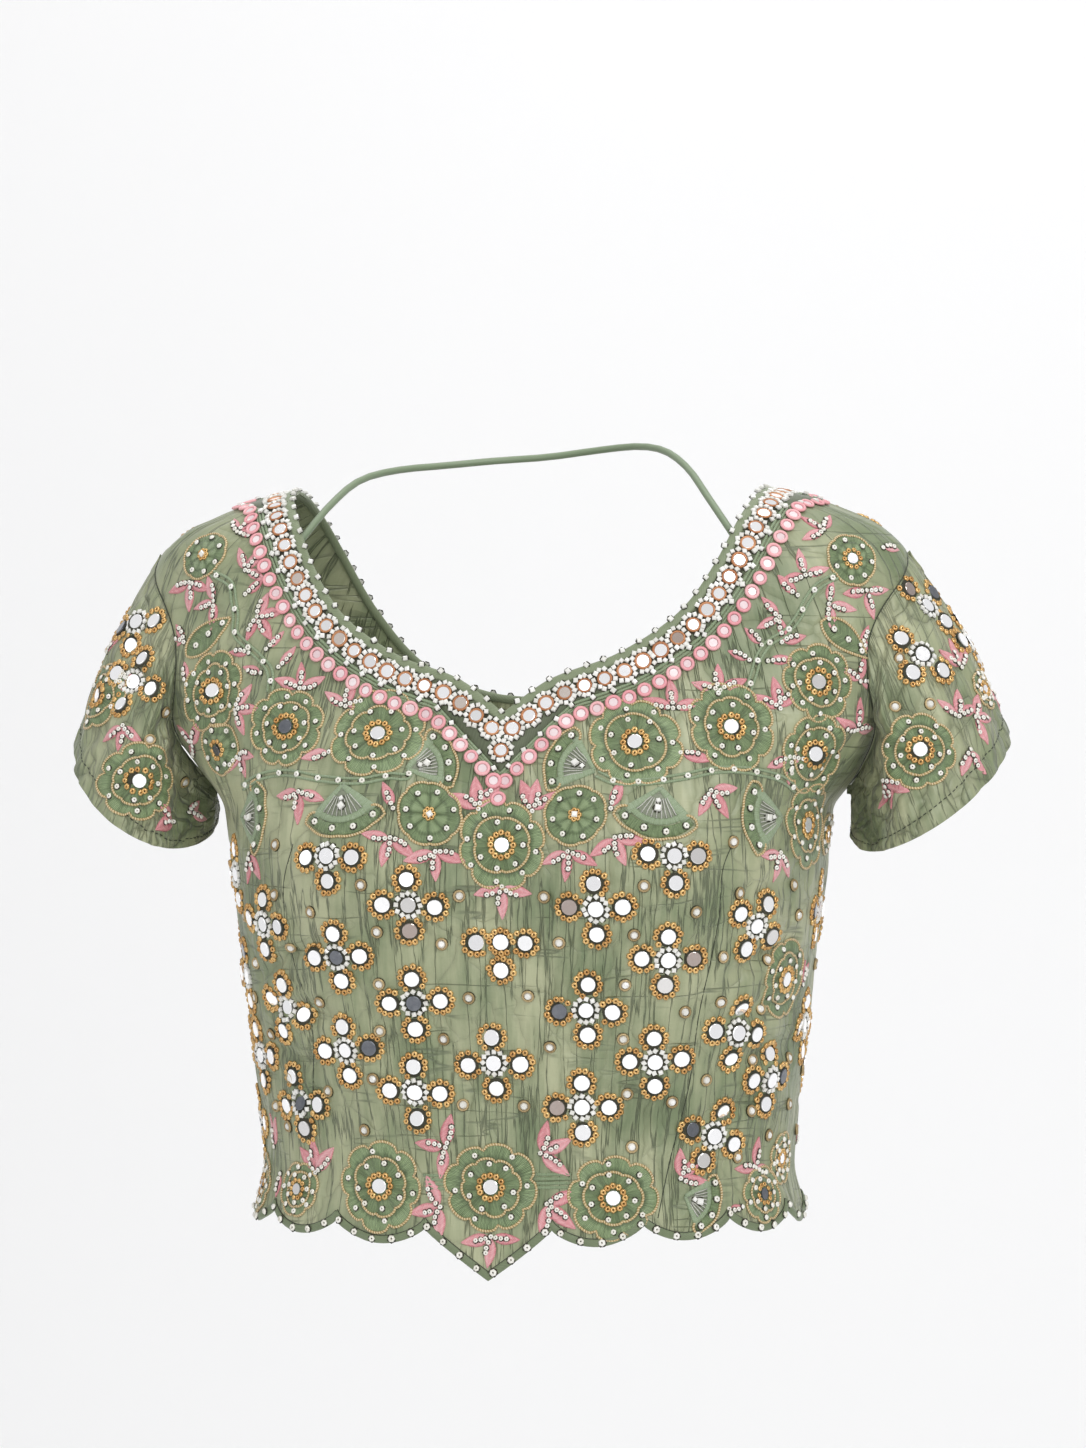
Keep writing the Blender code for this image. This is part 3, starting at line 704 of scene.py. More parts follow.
def sleeve_relief(angle, down, side):
    """How far the creased cloth of a sleeve stands off its plain face."""
    points = sleeve_surface(angle, down, side)
    paths = []
    for index, crease in enumerate(SLEEVE_CREASES):
        steps = np.linspace(0, 1, 6)
        turn = np.radians(crease.start[0] + (crease.end[0] - crease.start[0]) * steps)
        fall = crease.start[1] + (crease.end[1] - crease.start[1]) * steps
        turn = turn + side * math.radians(3 + 2 * (index % 3))
        paths.append((sleeve_surface(turn, fall, side), crease.width, 0.7 * DEEPER * crease.depth))
    relief = troughs(points, paths)
    angle = np.mod(angle, math.tau)
    edge = (1 - down) * SLEEVE_LENGTH
    relief += 1.0 * MM * soft_noise(angle * 3 + 5 * side, down * 2.5, 21)
    relief += 0.25 * MM * soft_noise(angle * 9 + 5 * side, down * 6, 22)
    for seed, lean in ((24, 2.6), (26, -2.2)):
        crossing = soft_noise(angle * 2.3 + lean * down + 5 * side, down * 2.2, seed)
        relief -= 1.5 * FINE_CREASE * MM * np.exp(-(crossing / 0.13) ** 2)
    relief += 0.35 * MM * np.sin(angle * 13 + 2 * soft_noise(angle * 2, down, 6)) * np.exp(-edge / 12)
    relief -= 0.55 * MM * np.exp(-((edge - SLEEVE_HEM_STITCH) / 1.6) ** 2)
    relief *= 0.10 + 0.90 * np.clip(down * SLEEVE_LENGTH / ARMHOLE_CALM, 0, 1)
    relief *= 0.20 + 0.80 * np.clip(np.abs(angle - math.pi) / UNDERARM_CALM, 0, 1)
    relief -= ARMHOLE_DIP * MM * np.exp(-((down * SLEEVE_LENGTH) / 1.8) ** 2)
    ends_meet = np.minimum(angle, math.tau - angle)
    seam = np.abs(angle - math.pi) * 40
    relief -= 0.4 * MM * np.exp(-(seam / 2.2) ** 2) * np.clip(ends_meet, 0, 1)
    return bpy.context.scene.choli_silk.creasing * relief


# ---------------------------------------------------------------- silk pieces

def deselect_all():
    """Leaves nothing selected, so that an operator acts on its own object only."""
    for obj in bpy.context.selected_objects:
        obj.select_set(False)


def shade_by_angle(obj, degrees):
    """Smooth shading that stays crisp at edges sharper than the angle."""
    deselect_all()
    obj.select_set(True)
    bpy.context.view_layer.objects.active = obj
    bpy.ops.object.shade_smooth_by_angle(angle=math.radians(degrees))


def linked(name, mesh):
    """A new object in the scene, which rides on the garment's body."""
    obj = bpy.data.objects.new(name, mesh)
    bpy.context.scene.collection.objects.link(obj)
    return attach(obj, BODY)


def roll_up(bm):
    """Bends a grid into a tube, which is closed along its sides."""
    for vert in bm.verts:
        turn = math.pi * vert.co.x
        vert.co = (math.cos(turn), math.sin(turn), vert.co.y)
    bmesh.ops.remove_doubles(bm, verts=bm.verts, dist=1e-6)


def slit(bm, start):
    """Parts a grid down its middle from v = start to its top edge."""
    middle = [vert for vert in bm.verts if abs(vert.co.x) < 1e-6 and vert.co.y > 2 * start - 1 - 1e-6]
    bmesh.ops.split_edges(bm, edges=[edge for edge in bm.edges if all(v in middle for v in edge.verts)])
    for vert in bm.verts:
        if abs(vert.co.x) < 1e-6:
            centres = [face.calc_center_median().x for face in vert.link_faces]
            if min(centres) > 0 or max(centres) < 0:
                vert.co.x += math.copysign(1e-6, centres[0])


def silk_piece(name, columns, rows, place, finish, is_tube=False, slit_from=None):
    """A closed sheet of silk of columns by rows. place(u, v, behind) gives its points and where they are
    in the flat cloth: behind is 0 on the outer face and 1 on the inner face."""
    bm = bmesh.new()
    bmesh.ops.create_grid(bm, x_segments=columns, y_segments=rows, size=1)
    if is_tube:
        roll_up(bm)
    if slit_from is not None:
        slit(bm, slit_from)
    outside = bm.faces.layers.int.new("outside")
    for face in bm.faces:
        face[outside] = 1
    outer = list(bm.verts)
    made = bmesh.ops.extrude_face_region(bm, geom=list(bm.faces), use_keep_orig=True)
    for part in made["geom"]:
        if isinstance(part, bmesh.types.BMFace):
            part[outside] = 0
    inner = [part for part in made["geom"] if isinstance(part, bmesh.types.BMVert)]
    grain_places = {}
    for behind, verts in enumerate((outer, inner)):
        x, y, z = np.array([vert.co for vert in verts]).T
        u, v = (np.arctan2(y, x) / math.tau, (z + 1) / 2) if is_tube else ((x + 1) / 2, (y + 1) / 2)
        points, flat = place(u, v, behind)
        for vert, point, spot in zip(verts, points, flat):
            vert.co = point
            grain_places[vert] = spot
    bmesh.ops.recalc_face_normals(bm, faces=list(bm.faces))
    grain = bm.loops.layers.uv.new("grain")
    for face in bm.faces:
        spots = [grain_places[loop.vert] for loop in face.loops]
        wraps = is_tube and max(s[0] for s in spots) - min(s[0] for s in spots) > 0.1
        for loop, spot in zip(face.loops, spots):
            around = spot[0] + (TUBE_ROUND if wraps and spot[0] < 0 else 0)
            loop[grain].uv = (around, spot[1])
    mesh = bpy.data.meshes.new(name)
    bm.to_mesh(mesh)
    bm.free()
    mesh.materials.append(finish)
    obj = linked(name, mesh)
    shade_by_angle(obj, 55)
    return obj


def cloth_tree(*names):
    """A search tree of the outer faces of silk pieces and of the faces at their edges. Those at the edges
    are made in no fixed order, so they are sorted, and a place between two faces finds the same one."""
    points, faces = [], []
    for name in names:
        mesh = bpy.data.objects[name].data
        first, inner = len(points), len(mesh.vertices) // 2
        points.extend(vert.co.copy() for vert in mesh.vertices)
        outside = mesh.attributes["outside"].data
        shown = [list(face.vertices) for face in mesh.polygons if outside[face.index].value]
        shown.sort(key=lambda face: sorted(face) if max(face) >= inner else [])
        faces.extend([first + v for v in face] for face in shown)
    return BVHTree.FromPolygons(points, faces)


def make_bodice(finish):
    """The front with its slit down to the neck's point, and the two back panels."""
    wall = bpy.context.scene.choli_silk.wall
    creases, darts = bodice_creases()

    def settle(turn, height, side, behind):
        turn = side * turn + twist_at(height)
        lift = bodice_relief(turn, height, creases, darts) - wall * behind
        points = form(turn, height) + lift[:, None] * outward(turn, height)
        return points, np.stack([turn * GRAIN_RADIUS, height], axis=-1)

    def place_front(u, v, behind):
        across = 2 * u - 1
        turn, height = half_bodice(np.abs(across), v)
        return settle(off_the_seams(turn, height), height, np.sign(across), behind)

    def place_back(side):
        def place(u, v, behind):
            turn, height = half_bodice(1 - u, v, back=True)
            return settle(off_the_seams(turn, height, back=True), height, side, behind)

        return place

    front = silk_piece("front_silk", 2 * COLUMNS, ROWS, place_front, finish, slit_from=LEVEL)
    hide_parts("front_panel")
    for side, name in SIDES:
        back = silk_piece(f"back_silk_{name}", COLUMNS, ROWS, place_back(side), finish)
        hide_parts(f"back_panel_{name}")


def make_placket(finish):
    """The underlap behind the centre-back opening."""
    wall = bpy.context.scene.choli_silk.wall
    creases, darts = bodice_creases()

    def place(u, v, behind):
        past_opening = (2 * u - 1) * 6 / COLUMNS
        turn, height = half_bodice(np.abs(past_opening), v * LEVEL, back=True)
        turn = np.where(past_opening > 0, 2 * math.pi - turn, turn) + twist_at(height)
        relief = bodice_relief(np.mod(turn + math.pi, math.tau) - math.pi, height, creases, darts)
        lift = relief - wall * (1 + behind) - 0.7 * MM
        points = form(turn, height) + lift[:, None] * outward(turn, height)
        return points, np.stack([turn * GRAIN_RADIUS, height], axis=-1)

    placket = silk_piece("placket_silk", 2 * PLACKET_COLUMNS, ROWS_BELOW, place, finish)
    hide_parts("back_placket")


def make_sleeves(finish):
    """The two sleeves."""
    wall = bpy.context.scene.choli_silk.wall
    for side, name in SIDES:
        def place(u, v, behind):
            angle, down = math.tau * np.mod(u, 1.0), 1 - v
            normal = sleeve_outward(angle, down, side)
            lift = sleeve_relief(angle, down, side) - wall * behind
            points = sleeve_surface(angle, down, side) + lift[:, None] * normal
            return points * (side, 1, 1), np.stack([u * TUBE_ROUND, -0.1 * down], axis=-1)

        sleeve = silk_piece(f"sleeve_silk_{name}", SLEEVE_ROUND, SLEEVE_ROWS, place, finish, is_tube=True)
        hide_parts(f"sleeve_{name}")


# ---------------------------------------------------------------- small shapes, modelled once

# The points, the faces' corners and sizes, and the thread direction of a small shape of unit radius, and
# the shape that goes under it
Shape = namedtuple("Shape", "points corners sizes threads finish is_smooth under", defaults=(None,))


def taken(finish, is_smooth):
    """The active object's mesh as a shape. The object is removed."""
    obj = bpy.context.object
    mesh = obj.data
    points = np.empty(3 * len(mesh.vertices))
    mesh.vertices.foreach_get("co", points)
    corners = np.empty(len(mesh.loops), int)
    mesh.loops.foreach_get("vertex_index", corners)
    sizes = np.array([len(face.vertices) for face in mesh.polygons])
    threads = np.zeros(2 * len(mesh.loops))
    if mesh.uv_layers:
        mesh.uv_layers[0].data.foreach_get("uv", threads)
    bpy.data.objects.remove(obj)
    bpy.data.meshes.remove(mesh)
    return Shape(points.reshape(-1, 3), corners, sizes, threads.reshape(-1, 2), finish, is_smooth)


def select_faces_up(obj):
    """Selects the upward faces of the object in edit mode, and nothing else."""
    bpy.ops.mesh.select_all(action="DESELECT")
    edit = bmesh.from_edit_mesh(obj.data)
    edit.normal_update()
    for face in edit.faces:
        if face.normal.z > 0.9:
            face.select_set(True)
    bmesh.update_edit_mesh(obj.data)


def bead_shape(finish):
    """A round seed bead with its hole upwards."""
    deselect_all()
    bpy.ops.mesh.primitive_torus_add(
        major_segments=6, minor_segments=4, major_radius=0.60, minor_radius=0.44)
    shape = taken(finish, True)
    return shape._replace(points=shape.points * (1, 1, 1.15) + (0, 0, 0.33))


def disc_shape(finish, height, rim, segments):
    """A flat disc with a sloping rim, as cut mirror glass has."""
    deselect_all()
    bpy.ops.mesh.primitive_cylinder_add(vertices=segments, radius=1, depth=height)
    obj = bpy.context.object
    bpy.ops.object.mode_set(mode="EDIT")
    select_faces_up(obj)
    bpy.ops.mesh.inset(thickness=rim)
    bpy.ops.transform.translate(value=(0, 0, rim * 0.6))
    bpy.ops.object.mode_set(mode="OBJECT")
    shape = taken(finish, False)
    return shape._replace(points=shape.points + (0, 0, height / 2))


def cut_stone_shape(finish, sides, table, height):
    """A cut stone: a cone frustum with a flat table."""
    deselect_all()
    bpy.ops.mesh.primitive_cone_add(vertices=sides, radius1=1, radius2=table, depth=height)
    shape = taken(finish, False)
    return shape._replace(points=shape.points + (0, 0, height / 2))


def low_cone_shape(finish, sides, reach, height):
    """The dark thread and painted shadow that show round a bead or a mirror, as a very low cone."""
    deselect_all()
    bpy.ops.mesh.primitive_cone_add(vertices=sides, radius1=reach, radius2=0, depth=height)
    shape = taken(finish, False)
    return shape._replace(points=shape.points + (0, 0, height / 2))


def ring_shape(finish, major, minor, segments, rounds, rise):
    """A flat-lying ring."""
    deselect_all()
    bpy.ops.mesh.primitive_torus_add(
        major_segments=segments, minor_segments=rounds, major_radius=major, minor_radius=minor)
    shape = taken(finish, True)
    return shape._replace(points=shape.points * (1, 1, rise) + (0, 0, minor * rise * 0.7))


def closed_rows(rows, columns):
    """The faces of a closed skin of rows of points, with a cap over the first and the last row."""
    r, c = np.meshgrid(np.arange(rows - 1), np.arange(columns), indexing="ij")
    ahead = (c + 1) % columns
    quads = np.stack([r * columns + c, r * columns + ahead, (r + 1) * columns + ahead,
                      (r + 1) * columns + c], axis=-1).reshape(-1, 4)
    spots = np.stack([r * (columns + 1) + c, r * (columns + 1) + c + 1,
                      (r + 1) * (columns + 1) + c + 1, (r + 1) * (columns + 1) + c], axis=-1).reshape(-1)
    first, last = np.arange(columns)[::-1], (rows - 1) * columns + np.arange(columns)
    corners = np.concatenate([quads.ravel(), first, last])
    cap_spots = np.concatenate([first, (rows - 1) * (columns + 1) + np.arange(columns)])
    sizes = np.concatenate([np.full(len(quads), 4), [columns, columns]])
    return corners, sizes, np.concatenate([spots, cap_spots])


class Trimming:
    """Gathers many small shapes into one mesh."""

    def __init__(self, name):
        self.name = name
        self.points, self.corners, self.sizes, self.threads = [], [], [], []
        self.finishes, self.smooth, self.tints = [], [], []
        self.count = 0

    def add(self, points, corners, sizes, threads, finish, is_smooth, tints):
        """One mesh's worth: points, the corners and sizes of its faces, the threads at its corners, its
        finish and a tint for each point."""
        self.points.append(points)
        self.corners.append(corners + self.count)
        self.sizes.append(sizes)
        self.threads.append(threads)
        self.tints.append(tints)
        self.finishes.append((finish, len(sizes)))
        self.smooth.append(np.full(len(sizes), is_smooth))
        self.count += len(points)

    def scatter(self, shape, points, outs, rights, sizes, tints):
        """Copies of a shape, each at a point, with its own way out, way right, size and tint."""
        copies = len(points)
        if not copies:
            return
        if shape.under is not None:
            self.scatter(shape.under, points, outs, rights, sizes, tints)
        outs = unit(outs)
        rights = unit(rights - (rights * outs).sum(axis=1, keepdims=True) * outs)
        ups = np.cross(outs, rights)
        local = shape.points[None] * np.asarray(sizes)[:, None, None]
        sideways, upwards, outwards = local[..., 0:1], local[..., 1:2], local[..., 2:3]
        placed = points[:, None] + sideways * rights[:, None] + upwards * ups[:, None]
        placed += outwards * outs[:, None]
        each = len(shape.points)
        shift = np.repeat(np.arange(copies) * each, len(shape.corners))
        self.add(
            placed.reshape(-1, 3),
            np.tile(shape.corners, copies) + shift,
            np.tile(shape.sizes, copies),
            np.tile(shape.threads, (copies, 1)),
            shape.finish,
            shape.is_smooth,
            np.repeat(tints, each),
        )

    def skin(self, rows, threads, finish, tint=0.5, found=None):
        """A closed skin through rows of points, (rows, columns, 3), with threads at (rows, columns + 1).
        Faces at points that found marks as off the cloth are left out."""
        count, columns = rows.shape[:2]
        corners, sizes, spots = closed_rows(count, columns)
        threads = threads.reshape(-1, 2)[spots]
        points = rows.reshape(-1, 3)
        tint = np.broadcast_to(tint, (count, columns)).ravel()
        if found is not None and not found.all():
            if not found.any():
                return
            ends = np.cumsum(sizes)
            starts = ends - sizes
            keep = np.array([found.ravel()[corners[a:b]].all() for a, b in zip(starts, ends)])
            kept = np.repeat(keep, sizes)
            corners, threads, sizes = corners[kept], threads[kept], sizes[keep]
            if not len(sizes):
                return
            used, corners = np.unique(corners, return_inverse=True)
            points, tint = points[used], tint[used]
        self.add(points, corners, sizes, threads, finish, True, tint)

    def sewn(self):
        """The object with all that was gathered."""
        mesh = bpy.data.meshes.new(self.name)
        points, corners = np.concatenate(self.points), np.concatenate(self.corners)
        sizes = np.concatenate(self.sizes)
        mesh.vertices.add(len(points))
        mesh.vertices.foreach_set("co", points.astype(np.float32).ravel())
        mesh.loops.add(len(corners))
        mesh.loops.foreach_set("vertex_index", corners.astype(np.int32))
        mesh.polygons.add(len(sizes))
        mesh.polygons.foreach_set("loop_start", (np.cumsum(sizes) - sizes).astype(np.int32))
        names = list(dict.fromkeys(finish for finish, _ in self.finishes))
        slots = np.concatenate([np.full(count, names.index(finish)) for finish, count in self.finishes])
        mesh.polygons.foreach_set("material_index", slots.astype(np.int32))
        mesh.polygons.foreach_set("use_smooth", np.concatenate(self.smooth))
        layer = mesh.uv_layers.new(name="thread")
        layer.data.foreach_set("uv", np.concatenate(self.threads).astype(np.float32).ravel())
        tint = mesh.attributes.new("tint", "FLOAT", "POINT")
        tint.data.foreach_set("value", np.concatenate(self.tints).astype(np.float32))
        for name in names:
            mesh.materials.append(bpy.data.materials[name])
        mesh.update(calc_edges=True)
        edit = bmesh.new()
        edit.from_mesh(mesh)
        bmesh.ops.recalc_face_normals(edit, faces=edit.faces)
        edit.to_mesh(mesh)
        edit.free()
        return linked(self.name, mesh)


# ---------------------------------------------------------------- laying things on the cloth

# Where a motif lies: the cloth's search tree, the motif's middle, and its ways right, up and out
Bed = namedtuple("Bed", "tree origin right up out")
REACH = 0.022  # how far off the cloth a motif's flat drawing may be


def bed_on(tree, point, normal, lean=0.0):
    """The bed of a motif at a point of the cloth. It leans clockwise, seen from outside, in degrees."""
    out = unit(normal)
    up = unit(np.array([0.0, 0.0, 1.0]) - out[2] * out)
    right = np.cross(up, out)
    cosine, sine = math.cos(math.radians(lean)), math.sin(math.radians(lean))
    return Bed(tree, point, cosine * right - sine * up, cosine * up + sine * right, out)


def bed_seen(tree, across, up, lean=0.0):
    """The bed of a motif at a place of the front elevation."""
    return bed_on(tree, *seen(tree, across, up), lean)


def bed_near(tree, point, lean=0.0):
    """The bed of a motif at the cloth's nearest place to a point."""
    found, normal, _, _ = tree.find_nearest(Vector(point))
    return bed_on(tree, np.array(found), np.array(normal), lean)


def on_cloth(bed, x, y):
    """Where places of a flat drawing, in millimetres, fall on the cloth: points, normals, and whether
    each of them is on it."""
    x, y = np.broadcast_arrays(x, y)
    shape = x.shape
    starts = (
        bed.origin + REACH * bed.out + MM * (x.reshape(-1, 1) * bed.right + y.reshape(-1, 1) * bed.up)
    )
    points, normals = np.zeros((len(starts), 3)), np.tile(bed.out, (len(starts), 1))
    found = np.zeros(len(starts), bool)
    way = Vector(-bed.out)
    for i, start in enumerate(starts):
        point, normal, _, _ = bed.tree.ray_cast(Vector(start), way, 2 * REACH)
        if point is not None and normal.dot(way) < -0.15:
            points[i], normals[i], found[i] = point, normal, True
    return points.reshape(*shape, 3), normals.reshape(*shape, 3), found.reshape(shape)


def set_pieces(trimming, shape, bed, places, sizes, random, lift=0.0, tilt=0.10, tints=None):
    """Sets copies of a stone, bead or mirror at (x, y) places of a flat drawing, each a little askew."""
    places = np.atleast_2d(places)
    points, normals, found = on_cloth(bed, places[:, 0], places[:, 1])
    count = len(places)
    sizes = np.broadcast_to(np.asarray(sizes, float), (count,))
    askew = unit(normals + tilt * random.uniform(-1, 1, (count, 3)))
    spin = random.uniform(0, math.tau, count)[:, None]
    rights = np.cos(spin) * bed.right + np.sin(spin) * bed.up
    if tints is None:
        tints = random.uniform(0, 1, count)
    trimming.scatter(
        shape, (points + lift * MM * normals)[found], askew[found], rights[found],
        (sizes * MM / 2)[found], tints[found])


def lay_skin(trimming, bed, x, y, lift, threads, finish, tint=0.5):
    """Lays a closed skin on the cloth. x, y and lift are (rows, columns), in millimetres."""
    points, normals, found = on_cloth(bed, x, y)
    trimming.skin(points + lift[..., None] * MM * normals, threads, finish, tint, found)


# The profile of a satin-stitched bar: shares of its half width, and of its height
BAR_ACROSS = np.array([-1.0, -0.9, -0.5, 0.0, 0.5, 0.9, 1.0])
BAR_RISE = np.array([-0.45, 0.50, 0.92, 1.0, 0.92, 0.50, -0.45])
LEAF_RISE = np.array([-0.45, 0.72, 1.0, 0.48, 1.0, 0.72, -0.45])


def lay_bar(trimming, bed, line, half_widths, height, finish, rises=BAR_RISE, slant=0.0, tint=0.5):
    """Lays a bar of satin stitch along a line of the flat drawing, in millimetres."""
    line = np.asarray(line, float)
    ahead = unit(np.gradient(line, axis=0))
    sideways = np.stack([-ahead[:, 1], ahead[:, 0]], axis=-1)
    offsets = np.asarray(half_widths)[:, None] * BAR_ACROSS
    x = line[:, 0:1] + sideways[:, 0:1] * offsets
    y = line[:, 1:2] + sideways[:, 1:2] * offsets
    lift = height * np.broadcast_to(rises, x.shape)
    along = line_length(line)
    u = along[:, None] + slant * np.abs(offsets)
    threads = np.stack([u, offsets], axis=-1)
    threads = np.concatenate([threads, threads[:, -1:]], axis=1)
    lay_skin(trimming, bed, x, y, lift, threads, finish, tint)


def tube(trimming, points, normals, radius, finish, is_closed=False, lift=0.0, sides=5, tint=0.5):
    """A round cord along points on the cloth."""
    radius = np.broadcast_to(np.asarray(radius, float), (len(points),))[:, None]
    if is_closed:
        ahead = unit(np.roll(points, -1, axis=0) - np.roll(points, 1, axis=0))
    else:
        ahead = unit(np.gradient(points, axis=0))
    sideways = unit(np.cross(ahead, normals))
    upwards = np.cross(sideways, ahead)
    turns = math.tau * np.arange(sides) / sides + 0.3
    centre = points + lift * normals
    rows = centre[:, None] + radius[:, None] * (
        np.cos(turns)[:, None] * sideways[:, None] + np.sin(turns)[:, None] * upwards[:, None])
    along = line_length(points) / MM
    if is_closed:
        rows = np.concatenate([rows, rows[:1]])
        along = np.append(along, along[-1] + np.linalg.norm(points[0] - points[-1]) / MM)
    u = np.broadcast_to(along[:, None], (len(rows), sides + 1))
    v = np.broadcast_to(np.arange(sides + 1) / sides, u.shape)
    if not is_closed:
        trimming.skin(rows, np.stack([u, v], axis=-1), finish, tint)
        return
    corners, sizes, spots = closed_rows(len(rows), sides)
    corners, sizes, spots = corners[:-2 * sides], sizes[:-2], spots[:-2 * sides]
    wrap = len(points) * sides
    corners = np.where(corners >= wrap, corners - wrap, corners)
    threads = np.stack([u, v], axis=-1).reshape(-1, 2)[spots]
    tints = np.full(wrap, tint)
    trimming.add(rows[:-1].reshape(-1, 3), corners, sizes, threads, finish, True, tints)


def lay_cord(trimming, bed, line, width, finish, is_closed=False, sides=5, tint=0.5, lift=0.3):
    """Lays a cord along a line of the flat drawing. A closed one that runs off the cloth is left open."""
    line = np.asarray(line, float)
    points, normals, found = on_cloth(bed, line[:, 0], line[:, 1])
    if found.all():
        tube(trimming, points, normals, width * MM / 2, finish, is_closed, lift * width * MM, sides, tint)
        return
    if is_closed and found.any():
        start = int(np.argmin(found))
        points, normals = np.roll(points, -start, axis=0), np.roll(normals, -start, axis=0)
        found = np.roll(found, -start)
    runs = np.flatnonzero(np.diff(np.concatenate([[0], found.astype(int), [0]])))
    for first, last in zip(runs[::2], runs[1::2]):
        if last - first > 2:
            part = slice(first, last)
            tube(trimming, points[part], normals[part], width * MM / 2, finish, False,
                 lift * width * MM, sides, tint)


def ring_places(count, radius, random, uneven, start=0.0):
    """Places round a ring, in millimetres, each a little out of line."""
    turns = start + math.tau * (np.arange(count) + random.uniform(-0.12, 0.12, count)) / count
    radii = radius + random.uniform(-uneven, uneven, count)
    return np.stack([radii * np.cos(turns), radii * np.sin(turns)], axis=-1)


def clear_of(places, taken_places, distance):
    """The places that are at least a distance away from all those taken."""
    if not len(taken_places):
        return places
    gaps = np.linalg.norm(places[:, None] - np.asarray(taken_places)[None], axis=-1)
    return places[gaps.min(axis=1) >= distance]


# ---------------------------------------------------------------- mirror crosses

# A motif's x and y are its place. In a front table, and in one of what is seen of a sleeve, they are
# millimetres across and up on the front elevation. In a table of the sides or the back they are degrees from
# the centre front to the centre back, and millimetres up. In one of a sleeve's hidden part they are degrees
# from the shoulder over the front, and the share down to the hem. A lean is in degrees.
# A cross is whole, without its top mirror, or with gold beads round its middle too.
WHOLE, NO_TOP, GOLD = "whole", "no top", "gold"
Cross = namedtuple("Cross", "x y lean make", defaults=(0, WHOLE))
FRONT_CROSSES = (
    Cross(-102, -183, 0, NO_TOP), Cross(-61.5, -207.5), Cross(-97, -233.5), Cross(-133.5, -217, 8),
    Cross(-15, -227, 0, GOLD), Cross(-58.5, -256.5), Cross(-121, -258.5, 15), Cross(-92.5, -280),
    Cross(-58, -301), Cross(-18.5, -286.5), Cross(32.5, -209.5), Cross(71.5, -183, 0, NO_TOP),
    Cross(68.5, -235), Cross(27.5, -260), Cross(62, -286), Cross(25.5, -308.5), Cross(112.5, -218, 25),
    Cross(103.5, -271.5, 5), Cross(91.5, -323, 20), Cross(120, -295), Cross(-114.5, -306.5, -5),
    Cross(-134.5, -282.5), Cross(-147, -192, 90, NO_TOP), Cross(-141, -243, 90, NO_TOP),
    Cross(143.3, -209.5), Cross(136, -267.5),
)
SIDE_CROSSES = (Cross(86, -222), Cross(82, -268), Cross(78, -316, 6))
BACK_CROSSES = (
    Cross(104, -222), Cross(101, -286, -6), Cross(97, -19, 10), Cross(117, -246, 4), Cross(117, -308),
    Cross(131, -206), Cross(131, -262, 8), Cross(149, -232), Cross(149, -286, -5), Cross(165, -207),
    Cross(166, -256), Cross(164, -301, 4),
)
SLEEVE_CROSSES_SEEN = {
    -1: (Cross(-198.5, -96, 20), Cross(-197, -66, 0, NO_TOP)),
    1: (Cross(195.6, -82.3, 38, NO_TOP), Cross(198, -58, -135, NO_TOP)),
}
SLEEVE_CROSSES_HIDDEN = (Cross(296, 0.36, 10), Cross(352, 0.50))
ARM_LENGTH = 12.4  # from the middle of a cross to its outer mirrors
RING_BEADS = 12
RING_RADIUS = 6.5  # for a mirror of 8
RING_CRYSTALS = 12


def mirror_reflection_tints(random, count):
    """How dark each mirror looks, as a painted reflection: most are bright, some grey, and a few dark."""
    return random.choice([0.05, 0.15, 0.3, 0.55, 0.8, 0.97], count, p=[0.52, 0.19, 0.10, 0.07, 0.06, 0.06])


def make_cross(trimming, shapes, bed, cross, random):
    """Mirrors ringed with gold beads on four sides of one that is ringed with crystals."""
    stones = bpy.context.scene.choli_stones
    mirror, bead, crystal = (size / MM for size in (stones.mirror, stones.gold_bead, stones.crystal))
    ring = RING_RADIUS * mirror / 8
    arms = [0, 1, 2, 3]
    middle = np.zeros(2)
    if cross.make != WHOLE:
        arms.remove(1)
    if cross.make == GOLD:
        middle = np.array([0.0, 1.0])
    tips = [
        (ARM_LENGTH + random.uniform(-0.6, 0.6))
        * np.array([math.cos(math.tau * arm / 4 + lean), math.sin(math.tau * arm / 4 + lean)])
        for arm, lean in zip(arms, random.uniform(-0.09, 0.09, len(arms)))
    ]
    taken_places = []
    around_middle = ring_places(RING_CRYSTALS, ring - 0.3, random, 0.25) + middle
    if cross.make == GOLD:
        set_pieces(trimming, shapes["gold"], bed, around_middle[:-1], bead, random)
    else:
        set_pieces(trimming, shapes["crystal"], bed, around_middle, crystal, random, tilt=0.35)
    taken_places.extend(around_middle)
    for tip in tips:
        places = clear_of(ring_places(RING_BEADS, ring, random, 0.25, random.uniform(0, 1)) + tip,
                          taken_places, 0.6 * bead)
        set_pieces(trimming, shapes["gold"], bed, places, bead * random.uniform(0.92, 1.06, len(places)),
                   random, lift=-0.1, tilt=0.22)
        taken_places.extend(places)
    mirrors = np.array([middle, *tips])
    count = len(mirrors)
    # A dark disc under the mirrors: dark thread, and painted shade in the gaps between the beads
    set_pieces(trimming, shapes["backing"], bed, mirrors, 1.42 * mirror, random, lift=0.4, tilt=0)
    set_pieces(trimming, shapes["mirror"], bed, mirrors, mirror * random.uniform(0.95, 1.04, count), random,
               lift=0.6, tilt=0.07, tints=mirror_reflection_tints(random, count))


# ---------------------------------------------------------------- satin flowers

